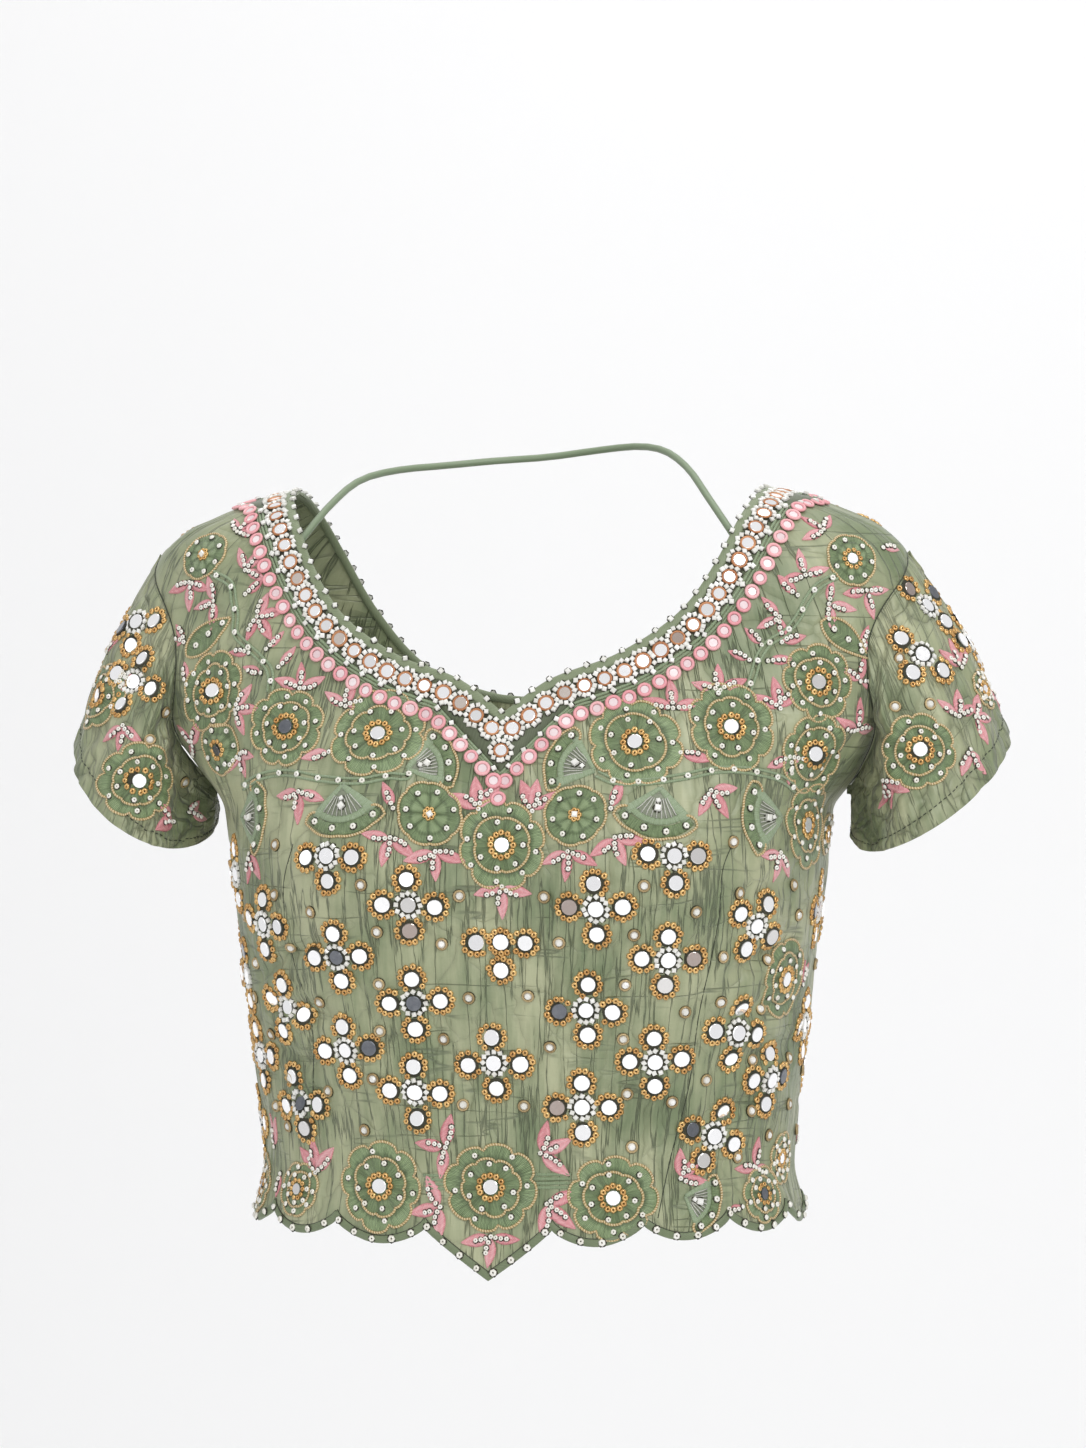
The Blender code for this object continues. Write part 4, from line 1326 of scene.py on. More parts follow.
# The place of a flower, its radius in millimetres and its make
ROSETTE, DAISY, SINGLE = "rosette", "daisy", "single"
Flower = namedtuple("Flower", "x y radius make lean", defaults=(ROSETTE, 0))
FRONT_FLOWERS = (
    Flower(-163.5, -32.5, 12.5, DAISY), Flower(-159, -100.5, 17.5), Flower(-122.5, -118.5, 19),
    Flower(-76.5, -122, 22), Flower(52, -126, 21.5), Flower(100, -118.5, 20.5), Flower(143.5, -96, 17.5),
    Flower(142, -132, 18), Flower(137.5, -167.5, 20), Flower(160.5, -34.5, 13, SINGLE),
    Flower(-14.5, -177.5, 20.5), Flower(-51, -162, 15, DAISY), Flower(22, -162.5, 14.5, DAISY),
    Flower(-75.5, -348, 20.5), Flower(-20, -348.5, 21), Flower(41, -354, 20), Flower(116, -352, 13.5),
    Flower(127, -244.5, 18), Flower(-156.5, -130, 12.5, SINGLE), Flower(-133.5, -347, 14),
    Flower(-116.5, -349.5, 13), Flower(124.5, -334, 12), Flower(147.6, -172, 10, SINGLE),
)
BACK_FLOWERS = (
    Flower(161, -158, 19), Flower(139, -142, 20), Flower(122, -112, 18.5), Flower(111, -57, 14, DAISY),
    Flower(116, -158, 16), Flower(160, -346, 20), Flower(136, -346, 19), Flower(112, -345, 17),
)
SIDE_FLOWERS = (Flower(86, -345, 15),)
SLEEVE_FLOWERS_SEEN = {
    -1: (Flower(-196, -145.5, 18), Flower(-216, -103, 17)),
    1: (Flower(194.5, -130, 17.5), Flower(226.3, -99.6, 9.5)),
}
SLEEVE_FLOWERS_HIDDEN = (Flower(320, 0.72, 13), Flower(262, 0.52, 13))
SPOKES = 64  # a multiple of the lobes, so that each notch falls on a spoke
INNER_LINE = 0.66  # share of the radius at the inner cord
INNER_STEPS = np.array([0.03, 0.32, 0.6, 0.82, 0.95, 1.0])
INNER_RISES = np.array([0.35, 0.60, 0.70, 0.60, 0.35, 0.10])
OUTER_STEPS = np.array([0.14, 0.4, 0.68, 0.9, 1.0])
OUTER_RISES = np.array([0.52, 0.70, 0.66, 0.40, 0.02])


def lobed(turns, count, depth, start):
    """The reach of a lobed outline in each direction: 1 at the lobes, less at the notches."""
    return 1 + 0.3 * depth - depth * (1 - np.abs(np.sin(count * (turns - start) / 2)) ** 0.45)


def flower_outlines(turns, radius, make, random):
    """The inner and outer reach of a flower's satin in each direction."""
    waves = random.uniform(0, math.tau, 4)
    wobble = 1 + 0.035 * np.sin(2 * turns + waves[0]) + 0.02 * np.sin(3 * turns + waves[1])
    starts = math.tau * random.randint(SPOKES, size=2) / SPOKES
    depth = 0.055 if make != ROSETTE else random.uniform(0.12, 0.17)
    outer = radius * wobble * lobed(turns, 8, depth, starts[0])
    inner = radius * INNER_LINE * (1 + 0.04 * np.sin(2 * turns + waves[2])) * wobble
    inner *= lobed(turns, random.choice([4, 8, 8]), random.uniform(0.07, 0.12), starts[1])
    return inner, outer


def make_flower(trimming, shapes, bed, flower, random):
    """A round flower of satin stitch, with lobed rims of gold cord, beads and a ringed mirror."""
    stones, stitches = bpy.context.scene.choli_stones, bpy.context.scene.choli_stitches
    radius, make = flower.radius, flower.make
    turns = math.tau * np.arange(SPOKES) / SPOKES
    inner, outer = flower_outlines(turns, radius, make, random)
    reach = np.concatenate([
        INNER_STEPS[:, None] * inner,
        inner + OUTER_STEPS[:, None] * (outer - inner),
        outer[None] * 0.995,
        outer[None] * 0.6,
        outer[None] * 0.1,
    ])
    rise = np.concatenate([INNER_RISES, OUTER_RISES, [-0.35, -0.45, -0.45]])
    lift = np.broadcast_to(rise[:, None], reach.shape).copy()
    petals = np.abs(np.sin((8 if make == DAISY else 9) * turns / 2 + random.uniform(0, 3)))
    tops, inners = len(INNER_STEPS) + len(OUTER_STEPS) - 1, len(INNER_STEPS)
    lift[1:tops] += 0.30 * petals**0.4 - 0.22
    tints = np.full(reach.shape, random.uniform(0.42, 0.62))
    # The inner rows follow the raised petals: lighter on them as painted highlight, darker between them as
    # painted shade
    tints[1:inners] = 0.10 + 0.46 * petals**0.6
    tints[inners:tops] += 0.26 * np.abs(np.sin(15 * turns / 2 + random.uniform(0, 3))) ** 0.5 - 0.12
    # The rows that dip into the cloth are painted darkest, as shade
    tints[tops:] = 0.05
    if make == ROSETTE:
        # A dark ring of painted shade in the dip beside the inner cord
        tints[inners - 1:inners + 1] = 0.12
    if make != ROSETTE:
        lift[4:6] += 0.4
        # Lighter petals as painted highlight, darker gaps between them as painted shade
        tints[1:4] = 0.04 + 0.96 * petals**0.6
        tints[4:6] = 0.10 + 0.30 * petals**2
        tints[6:tops] = 0.30 + 0.25 * petals**0.5
        # The outer rim, painted darker as shade
        tints[tops - 1] = 0.15
    closed_turns = math.tau * np.arange(SPOKES + 1) / SPOKES
    around = np.broadcast_to(closed_turns * 12, (len(reach), SPOKES + 1))
    outwards = np.concatenate([reach, reach[:, :1]], axis=1)
    threads = np.stack([around, outwards], axis=-1)
    lay_skin(trimming, bed, reach * np.cos(turns), reach * np.sin(turns), lift, threads, "green_satin",
             tints)
    cord = stitches.cord_width / MM
    for rim in (outer, inner) if make == ROSETTE else (outer,):
        line = np.stack([rim * np.cos(turns), rim * np.sin(turns)], axis=-1)
        lay_cord(trimming, bed, line, cord, "gold_cord", is_closed=True)
    bead = 0.87 * stones.white_bead / MM
    if make == ROSETTE:
        near = ring_places(7, 0.55 * radius, random, 0.5, random.uniform(0, 1))
        far = ring_places(random.choice([6, 7, 8]), 0.83 * radius, random, 0.6, random.uniform(0, 1))
        set_pieces(trimming, shapes["white"], bed, near, bead, random, lift=0.62, tilt=0.2)
    else:
        far = ring_places(7, 0.76 * radius, random, 0.6, random.uniform(0, 1))
    set_pieces(trimming, shapes["white"], bed, far, bead, random, lift=0.62, tilt=0.2)
    if make == DAISY:
        heart = ring_places(7, 2.2, random, 0.15)
        set_pieces(trimming, shapes["gold"], bed, heart, 0.8 * stones.gold_bead / MM, random, lift=0.6)
        set_pieces(trimming, shapes["crystal"], bed, (0, 0), 3.4, random, lift=1.0)
        return
    scale = min(1.0, radius / 17)
    mirror = stones.mirror / MM * 0.96 * scale
    ring = RING_RADIUS * mirror / 8
    # A dark disc under the mirror: dark thread, and painted shade in the gaps between the beads
    set_pieces(trimming, shapes["backing"], bed, (0, 0), 1.6 * mirror, random, lift=0.35, tilt=0)
    count = 12 if scale == 1 else 10
    set_pieces(trimming, shapes["gold"], bed, ring_places(count, ring, random, 0.2),
               stones.gold_bead / MM * max(scale, 0.8), random, lift=0.5, tilt=0.2)
    set_pieces(trimming, shapes["mirror"], bed, (0, 0), mirror, random, lift=0.9, tilt=0.06,
               tints=mirror_reflection_tints(random, 1))


# ---------------------------------------------------------------- satin leaves

# The place of a pink spray, the lean of its middle leaf, how many leaves it has and how far apart they
# spread, in degrees, and the length of a leaf in millimetres
Spray = namedtuple("Spray", "x y lean leaves spread length")
FRONT_SPRAYS = (
    Spray(-146.5, -21, 30, 3, 75, 12), Spray(-142.5, -40, 35, 3, 75, 12.5),
    Spray(-170.5, -46.5, 180, 3, 80, 13), Spray(-158.5, -55.5, 250, 3, 80, 13),
    Spray(-142.5, -52, 55, 1, 0, 11), Spray(-136.5, -63.5, 110, 4, 62, 13),
    Spray(-173.5, -76, -60, 2, 50, 11), Spray(-141, -81.5, -85, 1, 0, 12),
    Spray(-132, -79.5, 45, 1, 0, 12), Spray(-126, -88.5, 40, 1, 0, 12), Spray(-135, -91.5, -75, 1, 0, 12),
    Spray(-115.5, -99, 0, 3, 72, 13), Spray(-92.5, -108, 5, 3, 72, 13.5),
    Spray(-147.5, -110, 90, 3, 65, 13), Spray(-172, -97, -20, 1, 0, 11),
    Spray(-169, -127.5, -40, 3, 80, 14), Spray(-145, -132, 160, 3, 60, 13),
    Spray(-101, -131, -105, 1, 0, 15), Spray(-116, -151, 180, 3, 75, 14), Spray(-69, -159, -25, 1, 0, 13),
    Spray(-26.3, -159.4, -12, 3, 40, 15.5), Spray(0.6, -160.3, 12, 3, 37, 14.5),
    Spray(-70.5, -174, 200, 3, 75, 14), Spray(-48, -181, 180, 3, 75, 14),
    Spray(18.5, -181, 180, 3, 75, 14), Spray(42, -174, 165, 3, 70, 14), Spray(40, -159, 25, 1, 0, 13),
    Spray(-14.5, -198.5, 180, 3, 72, 13.5), Spray(146, -20, -35, 3, 80, 12),
    Spray(176, -29, 85, 1, 0, 10), Spray(137, -42.5, -15, 3, 85, 12.5),
    Spray(167.5, -50.5, 175, 3, 80, 13), Spray(149, -57, 95, 3, 80, 13), Spray(133, -52.5, -45, 1, 0, 12),
    Spray(124, -63.5, -120, 3, 80, 12.5), Spray(164.5, -77.5, 60, 2, 60, 10),
    Spray(115, -77.5, -40, 1, 0, 11), Spray(125.5, -76, 80, 1, 0, 12), Spray(109, -85, -60, 1, 0, 11),
    Spray(118.5, -85.5, 85, 1, 0, 12), Spray(94.5, -100, 0, 3, 72, 13), Spray(71, -109, 5, 3, 72, 13.5),
    Spray(124.5, -109, -10, 3, 60, 14), Spray(164.5, -95.5, 20, 3, 80, 12.5),
    Spray(75, -131.5, 100, 1, 0, 15), Spray(129, -133.5, 170, 3, 70, 13),
    Spray(90, -150.5, 150, 3, 65, 14), Spray(124.5, -181.5, 195, 3, 60, 13.5),
    Spray(163, -119.5, 10, 3, 80, 13), Spray(-43, -328.5, -85, 3, 90, 15),
    Spray(-45.5, -358.5, -100, 3, 75, 15), Spray(-20, -373.5, 180, 3, 80, 14),
    Spray(5, -331.5, 75, 3, 58, 16), Spray(8, -357, 130, 3, 58, 16), Spray(75, -344, 50, 3, 60, 14),
    Spray(112, -338.5, 5, 3, 100, 14), Spray(99, -359.5, 90, 1, 0, 8), Spray(-107.5, -341, -5, 3, 40, 16),
    Spray(-128, -328, 5, 2, 30, 15), Spray(-125, -342, 180, 1, 0, 10),
    Spray(-140.5, -182, 165, 2, 50, 14), Spray(135.5, -247, 15, 2, 50, 12),
)
BACK_SPRAYS = (
    Spray(150, -131, 10, 3, 72, 13), Spray(128, -90, -20, 3, 72, 13), Spray(119, -76, 60, 3, 75, 12.5),
    Spray(116, -30, -20, 3, 75, 12), Spray(107, -84, 150, 3, 75, 13), Spray(149, -176, 180, 3, 75, 14),
    Spray(128, -170, 180, 3, 72, 14), Spray(106, -136, 200, 3, 70, 13), Spray(173, -178, 180, 3, 60, 11),
    Spray(104, -176, 180, 3, 70, 13), Spray(148, -325, 0, 3, 60, 15), Spray(148, -357, 0, 3, 70, 12),
    Spray(124, -326, 0, 3, 60, 15), Spray(124, -356, 0, 3, 70, 12), Spray(101, -326, 10, 3, 60, 14),
    Spray(173.5, -331, 0, 2, 45, 11), Spray(134, -168, 90, 1, 0, 12),
)
SIDE_SPRAYS = (Spray(88, -327, 0, 2, 50, 13), Spray(85, -178, 180, 3, 70, 14))
SLEEVE_SPRAYS_SEEN = {
    -1: (
        Spray(-204, -118, 180, 3, 60, 13),
        Spray(-211.5, -81, 0, 3, 60, 12),
        Spray(-179, -166, -100, 2, 50, 13),
        Spray(-171, -161.5, 80, 2, 40, 12),
        Spray(-204, -91, 150, 2, 40, 11),
    ),
    1: (
        Spray(215, -88.5, -10, 3, 50, 14),
        Spray(214, -113, 0, 3, 60, 13),
        Spray(222, -113.5, 100, 3, 60, 14),
        Spray(219.5, -130, 180, 2, 50, 13),
        Spray(176.5, -145.5, 160, 3, 50, 13),
    ),
}
SLEEVE_SPRAYS_HIDDEN = (
    Spray(338, 0.80, 200, 3, 60, 13), Spray(300, 0.86, 180, 2, 45, 9), Spray(325, 0.30, 20, 3, 70, 12),
    Spray(246, 0.72, 180, 3, 60, 12),
)
LEAF_HALF_WIDTH = 0.215  # share of a leaf's length
LEAF_STATIONS = 9
# The two large green leaves on the shoulders
GreenLeaf = namedtuple("GreenLeaf", "x y lean length")
GREEN_LEAVES = (GreenLeaf(-172, -83, 46, 31), GreenLeaf(145, -66, 118, 29))


def leaf_line(length, start, bend):
    """A gently bent line up from a leaf's foot, and the share of its length at each station."""
    share = (1 - np.cos(math.pi * np.linspace(0, 1, LEAF_STATIONS))) / 2
    return np.stack([bend * length * share**2, start + length * share], axis=-1), share


def leaf_widths(share, half_width):
    """Half the width of a leaf at each station, pointed at its tip."""
    return half_width * (0.05 + 1.05 * np.sin(math.pi * share**0.80) ** 0.85 * (1 - 0.15 * share))


def turned(places, degrees):
    """Places of a drawing, turned clockwise about its middle."""
    cosine, sine = math.cos(math.radians(degrees)), math.sin(math.radians(degrees))
    x, y = np.asarray(places, float).T
    return np.stack([cosine * x + sine * y, cosine * y - sine * x], axis=-1)


def make_spray(trimming, shapes, bed, spray, random):
    """Pink satin leaves that fan out from a bead, with a line of beads on each."""
    stones = bpy.context.scene.choli_stones
    bead = 0.78 * stones.white_bead / MM
    taken_places = []
    for leaf in range(spray.leaves):
        lean = (leaf - (spray.leaves - 1) / 2) * spray.spread + random.uniform(-7, 7)
        long = spray.length * random.uniform(0.92, 1.08)
        bend = random.uniform(-0.10, 0.10)
        line, share = leaf_line(long, 1.0, bend)
        half = LEAF_HALF_WIDTH * long * random.uniform(0.95, 1.12)
        # Across the leaf: darker at the sunken edges as painted shade, lighter on the two raised sides as
        # painted highlight
        tints = random.uniform(0.25, 0.6) + np.array([-0.25, -0.2, 0.3, 0.0, 0.3, -0.2, -0.25])
        lay_bar(trimming, bed, turned(line, lean), leaf_widths(share, half), 0.55, "pink_satin",
                LEAF_RISE, slant=0.8, tint=np.clip(tints, 0, 1))
        count = 4 if long > 15.5 else 3
        steps = 2.5 + 1.03 * bead * np.arange(count) + random.uniform(-0.25, 0.25, count)
        off = random.uniform(-0.16, 0.16) * long * np.sin(math.pi * np.clip(steps / long, 0, 1))
        places = np.stack([off + bend * steps**2 / long, steps], axis=-1)
        places = clear_of(turned(places, lean), taken_places, 0.7 * bead)
        taken_places.extend(places)
    if taken_places:
        set_pieces(trimming, shapes["white"], bed, np.array(taken_places), bead, random, lift=0.52, tilt=0.3)
    set_pieces(trimming, shapes["white"], bed, (0, -0.2), bead, random, lift=0.2, tilt=0.3)


def make_green_leaf(trimming, shapes, bed, leaf, random):
    """A large green leaf with a gold cord round it and three beads on it."""
    stitches, stones = bpy.context.scene.choli_stitches, bpy.context.scene.choli_stones
    line, share = leaf_line(leaf.length, 0.0, 0.12)
    half_width = 0.21 * leaf.length
    lay_bar(trimming, bed, line, leaf_widths(share, half_width), 0.6, "green_satin", LEAF_RISE, slant=0.6)
    fine = np.linspace(0, 1, 22)
    fine_line = np.stack([np.interp(fine, share, line[:, 0]), np.interp(fine, share, line[:, 1])], axis=-1)
    reach = leaf_widths(fine, half_width) * 1.04
    sideways = np.stack([reach, 0 * reach], axis=-1)
    rim = np.concatenate([fine_line - sideways, (fine_line + sideways)[::-1]])
    lay_cord(trimming, bed, rim, stitches.cord_width / MM, "gold_cord", is_closed=True)
    steps = np.array([0.25, 0.55, 0.85])
    beads = np.stack([np.interp(steps, share, line[:, 0]), leaf.length * steps], axis=-1)
    set_pieces(trimming, shapes["white"], bed, beads, stones.white_bead / MM, random, lift=0.4)


# ---------------------------------------------------------------- fans

# A fan of bars round a net, by the place of its foot, its reach, and the lean and half the angle of it
Fan = namedtuple("Fan", "x y reach lean half_angle")
FRONT_FANS = (
    Fan(-94.3, -147.5, 25.5, 170.5, 52), Fan(64.6, -149, 25, 189.5, 52), Fan(-62, -139.7, 24, 70, 42),
    Fan(31.8, -140.2, 24, -70, 44), Fan(-144.7, -163.5, 23.5, 90, 50), Fan(125.3, -163.5, 25.5, -90, 43),
    Fan(77, -353, 18.5, 112, 50),
)
BACK_FANS = (
    Fan(136, -168, 24, 188, 52),
    Fan(101, -156, 19, 180, 60),
)
NET_THREADS = 9
RIM_MIDDLE = 0.87  # shares of a fan's reach
RIM_HALF_WIDTH = 0.125
ARC_MIDDLE = 0.68
# Where the cord comes round an end of the rim: (radians past the end, share of the reach)
RIM_CORNERS = np.array([(-0.02, 0.73), (0.03, 0.76), (0.07, 0.83), (0.07, 0.91), (0.03, 0.98)])


def make_fan(trimming, shapes, bed, fan, random):
    """A fan: a net of silver threads between two bars and an arc of pale satin, with a green rim that a
    gold cord goes round."""
    stitches, stones = bpy.context.scene.choli_stitches, bpy.context.scene.choli_stones
    reach, half = fan.reach, math.radians(fan.half_angle)

    def polar(turns, shares):
        return reach * np.stack([shares * np.sin(turns), shares * np.cos(turns)], axis=-1)

    def arc(share, count, spread=1.0):
        return polar(np.linspace(-half * spread, half * spread, count), np.full(count, share))

    rows = np.concatenate([[0.10], np.linspace(0.16, 0.64, 5), [0.66, 0.4, 0.12]])
    rise = np.concatenate([[0.1], np.full(5, 0.22), [-0.3, -0.45, -0.45]])
    ring = np.concatenate([arc(1, 13, 0.94), arc(0.2, 4, 0.94)[::-1]])
    x, y = rows[:, None] * ring[:, 0], rows[:, None] * ring[:, 1]
    threads = np.stack([x * 0.7, y], axis=-1)
    threads = np.concatenate([threads, threads[:, :1]], axis=1)
    lay_skin(trimming, bed, x, y, np.broadcast_to(rise[:, None], x.shape), threads, "net_ground")
    widths = RIM_HALF_WIDTH * reach * np.sin(math.pi * np.linspace(0.05, 0.95, 17)) ** 0.22
    lay_bar(trimming, bed, arc(RIM_MIDDLE, 17, 0.99), widths, 0.72, "green_satin")
    lay_bar(trimming, bed, arc(ARC_MIDDLE, 15, 0.96), np.full(15, 0.07 * reach), 0.66, "light_satin")
    for side, width in ((-1, 0.125), (1, 0.095)):
        shares = np.linspace(0.0, 0.80, 9)
        foot = polar(np.full(9, side * 0.90 * half), shares)
        lay_bar(trimming, bed, foot, width * reach * np.linspace(0.45, 1, 9), 0.74, "light_satin", tint=0.6)
    for turn in np.linspace(-0.72 * half, 0.72 * half, NET_THREADS):
        ray = polar(np.full(4, turn), np.linspace(0.24, 0.62, 4))
        lay_cord(trimming, bed, ray + random.uniform(-0.2, 0.2, ray.shape), 0.62, "silver_thread", sides=3,
                 lift=0.9)
    turns = np.linspace(-half, half, 30)
    shares = 1.0 + 0.028 * np.abs(np.sin(4.5 * turns + random.uniform(0, 3)))
    near_end, far_end = -half - RIM_CORNERS[:, 0], half + RIM_CORNERS[::-1, 0]
    turns = np.concatenate([near_end, turns, far_end])
    shares = np.concatenate([RIM_CORNERS[:, 1], shares, RIM_CORNERS[::-1, 1]])
    lay_cord(trimming, bed, polar(turns, shares), stitches.cord_width / MM, "gold_cord")
    beads = arc(RIM_MIDDLE, 4, 0.82) + random.uniform(-0.5, 0.5, (4, 2))
    set_pieces(trimming, shapes["white"], bed, beads, stones.white_bead / MM, random, lift=0.72, tilt=0.2)
    set_pieces(trimming, shapes["crystal"], bed, [(0, 0.42 * reach), (0, 0.27 * reach)], (3.8, 2.5), random,
               lift=0.5, tilt=0.2)


# ---------------------------------------------------------------- vines and scattered stones

# Beaded double lines of satin stitch, through places of the front elevation
FRONT_VINES = (
    ((-144, -148.5), (-137, -144), (-127, -141.5), (-104, -144.5), (-85, -145.5), (-71, -143), (-61, -142),
     (-61, -141)),
    ((132.5, -150), (128, -146), (113, -141), (93.5, -140), (75.5, -143.5), (54.5, -146), (41, -145.5),
     (33, -142)),
    ((-159.5, -41.5), (-150, -47.5), (-148.5, -55.5), (-147.5, -63), (-147.5, -72), (-142.5, -77.5),
     (-135.5, -84), (-131, -89.5), (-130, -94.5), (-130.5, -101)),
    ((153.5, -42.5), (142.5, -49), (137.5, -56), (134, -63), (127.5, -71), (118.5, -77), (114.5, -82.5),
     (111, -93), (107.5, -103)),
)
# The same on the back, through (degrees to the centre back, height), on both sides
BACK_VINES = (
    ((104, -168), (112, -178), (124, -181), (138, -178), (152, -182), (166, -188)),
    ((113, -66), (117, -78), (121, -92)),
)
VINE_SPACING = 2.7
VINE_BEAD_PITCH = 12.0
# Single stones in gold cups, by their places
FRONT_STONES = (
    (-127.5, -177.5), (-85, -197.5), (-128, -202.5), (-110, -211), (-36, -203), (6.5, -203.5),
    (-120, -228.5), (-77, -221), (-44.5, -227), (-137, -236.5), (-76, -247), (-105.5, -256), (-31, -254),
    (-1.5, -253), (-129.5, -272), (-75.5, -270.5), (-43.5, -274.5), (9.5, -278.5), (-120, -294),
    (-79, -294.5), (-101, -300.5), (-34, -307.5), (-3.5, -308), (-127, -308), (-83, -320), (101, -176),
    (56.5, -198), (104, -201.5), (82.5, -211), (131, -197.5), (51.5, -222.5), (14, -226.5), (96, -233.5),
    (118, -235), (133.5, -212.5), (47, -247.5), (95, -256), (77, -261), (114.5, -259.5), (46, -274.5),
    (110.5, -285), (128.5, -284), (87.5, -295), (48, -302), (70.5, -306), (110, -310.5), (128.5, -307),
    (118.5, -322.5), (50.5, -328.5), (103, -333.5), (-142.5, -213), (-137.5, -253.5), (-121, -318),
)
BACK_STONES = (
    (158, -218), (157, -246), (158, -272), (157, -298), (174, -232), (174, -284), (140, -218), (141, -246),
    (139, -274), (140, -300), (158, -324), (139, -322), (123, -222), (122, -280), (93, -318),
    (108, -262), (107, -312), (92, -236), (92, -288), (122, -200), (146, -198),
)
SLEEVE_STONES_SEEN = {
    -1: ((-190.5, -125), (-183, -111), (-173.5, -146)),
    1: ((182, -108.5), (199.5, -107), (184, -84)),
}
CUP_SIZE = 6.3
Stone = namedtuple("Stone", "x y size lean", defaults=(4.5, 0))


def set_stone(trimming, shapes, bed, stone, random):
    """A single white stone in a gold cup."""
    # A dark disc under the cup: dark thread, and the painted shadow round the cup
    set_pieces(trimming, shapes["backing"], bed, (0, 0), 1.04 * CUP_SIZE, random, lift=0.15, tilt=0)
    set_pieces(trimming, shapes["cup"], bed, (0, 0), CUP_SIZE, random, tilt=0.1)
    set_pieces(trimming, shapes["stone"], bed, (0, 0), stone.size, random, lift=0.3, tilt=0.15)


def make_vine(trimming, shapes, tree, vine, random):
    """Two lines of green satin side by side, with a bead between them at each step."""
    stones = bpy.context.scene.choli_stones
    points, normals = vine
    ahead = unit(np.gradient(points, axis=0))
    sideways = unit(np.cross(ahead, normals))
    for side in (-1, 1):
        line = points + side * VINE_SPACING / 2 * MM * sideways
        tube(trimming, line, normals, 0.75 * MM, "light_satin", lift=0.15 * MM, sides=6)
    along = line_length(points)
    for place in np.arange(0.3, along[-1] / MM / VINE_BEAD_PITCH) * VINE_BEAD_PITCH * MM:
        bed = bed_near(tree, along_line(points, along, place))
        set_pieces(trimming, shapes["white"], bed, (0, 0), stones.white_bead / MM, random, lift=0.2, tilt=0.2)


# ---------------------------------------------------------------- where the motifs lie

def body_bed(tree, turn, up, side, lean=0.0):
    """The bed of a motif on the bodice, by degrees from the centre front, height and side."""
    height = up * MM
    point = form(side * math.radians(turn) + twist_at(height), height)
    return bed_near(tree, point, side * lean)


def sleeve_bed(tree, turn, down, side, lean=0.0):
    """The bed of a motif on a sleeve, by degrees from the shoulder over the front and share down."""
    point = sleeve_surface(np.array(math.radians(turn)), np.array(down), side) * (side, 1, 1)
    return bed_near(tree, point, side * lean)


def nearest(tree, places):
    """The points of the cloth nearest to places, and its normals there."""
    found = [tree.find_nearest(Vector(place))[:2] for place in places]
    return np.array([point for point, _ in found]), np.array([normal for _, normal in found])


def rounded_path(tree, points, count):
    """A smooth line through points, brought onto the cloth, and the cloth's normals there."""
    line = through(points)(np.linspace(0, 1, count))
    return nearest(tree, line)


def back_path(places, side):
    """Points of the smooth form through (degrees to the centre back, height) places."""
    return [form(side * math.radians(turn) + twist_at(up * MM), up * MM) for turn, up in places]


def stepping(points, pitch, start=0.5):
    """Points at even steps of about the pitch along a line, the last half a step before its end."""
    along = line_length(points)
    count = max(1, round(along[-1] / pitch - start + 0.5))
    places = (start + np.arange(count)) * along[-1] / (count + start - 0.5)
    return along_line(points, along, places)


# Short bars of satin stitch, one under another, between the flowers at the hem
HemBars = namedtuple("HemBars", "x y length lean", defaults=(0,))
HEM_BARS = (HemBars(-47.5, -346, 13), HemBars(10.5, -345.5, 17))
BARS_IN_A_GROUP = 4
BAR_PITCH = 2.1


def make_hem_bars(trimming, _, bed, bars, random):
    """A group of short level bars of satin stitch."""
    for row in range(BARS_IN_A_GROUP):
        level = (row - (BARS_IN_A_GROUP - 1) / 2) * BAR_PITCH
        ends = random.uniform(-0.8, 0.8, 2)
        across = np.linspace(-bars.length / 2 + ends[0], bars.length / 2 + ends[1], 7)
        line = np.stack([across, np.full(7, level)], axis=-1)
        lay_bar(trimming, bed, line, np.full(7, 0.75), 0.45, "light_satin", tint=0.3)


# The tables of one kind of motif. A back shift, in millimetres, moves those on the back up on the left and
# down on the right, so that the halves differ.
Tables = namedtuple("Tables", "front side back sleeves_seen sleeves_hidden back_shift",
                    defaults=((), (), {1: (), -1: ()}, (), 0))
CROSSES = Tables(FRONT_CROSSES, SIDE_CROSSES, BACK_CROSSES, SLEEVE_CROSSES_SEEN, SLEEVE_CROSSES_HIDDEN, 3)
FLOWERS = Tables(FRONT_FLOWERS, SIDE_FLOWERS, BACK_FLOWERS, SLEEVE_FLOWERS_SEEN, SLEEVE_FLOWERS_HIDDEN)
SPRAYS = Tables(FRONT_SPRAYS, SIDE_SPRAYS, BACK_SPRAYS, SLEEVE_SPRAYS_SEEN, SLEEVE_SPRAYS_HIDDEN)
FANS = Tables(FRONT_FANS, back=BACK_FANS)
STONES = Tables(
    [Stone(*place) for place in FRONT_STONES],
    back=[Stone(*place) for place in BACK_STONES],
    sleeves_seen={side: [Stone(*place) for place in places] for side, places in SLEEVE_STONES_SEEN.items()},
)


def motifs_by_panel(make, tables, bodice, sleeves=None):
    """The motifs of one kind, each with its maker and its bed, by panel."""
    found = {"front": [(bed_seen(bodice, row.x, row.y, row.lean), row) for row in tables.front]}
    found["front"] += [(body_bed(bodice, row.x, row.y, -1, row.lean), row) for row in tables.side]
    for side, name in SIDES:
        shift = side * tables.back_shift
        found[f"back_{name}"] = [
            (body_bed(bodice, row.x, row.y + shift, side, row.lean), row) for row in tables.back]
        found[f"sleeve_{name}"] = [
            (bed_seen(sleeves[side], row.x, row.y, row.lean), row) for row in tables.sleeves_seen[side]]
        found[f"sleeve_{name}"] += [
            (sleeve_bed(sleeves[side], row.x, row.y, side, row.lean), row) for row in tables.sleeves_hidden]
    return {panel: [(make, bed, row) for bed, row in rows] for panel, rows in found.items()}


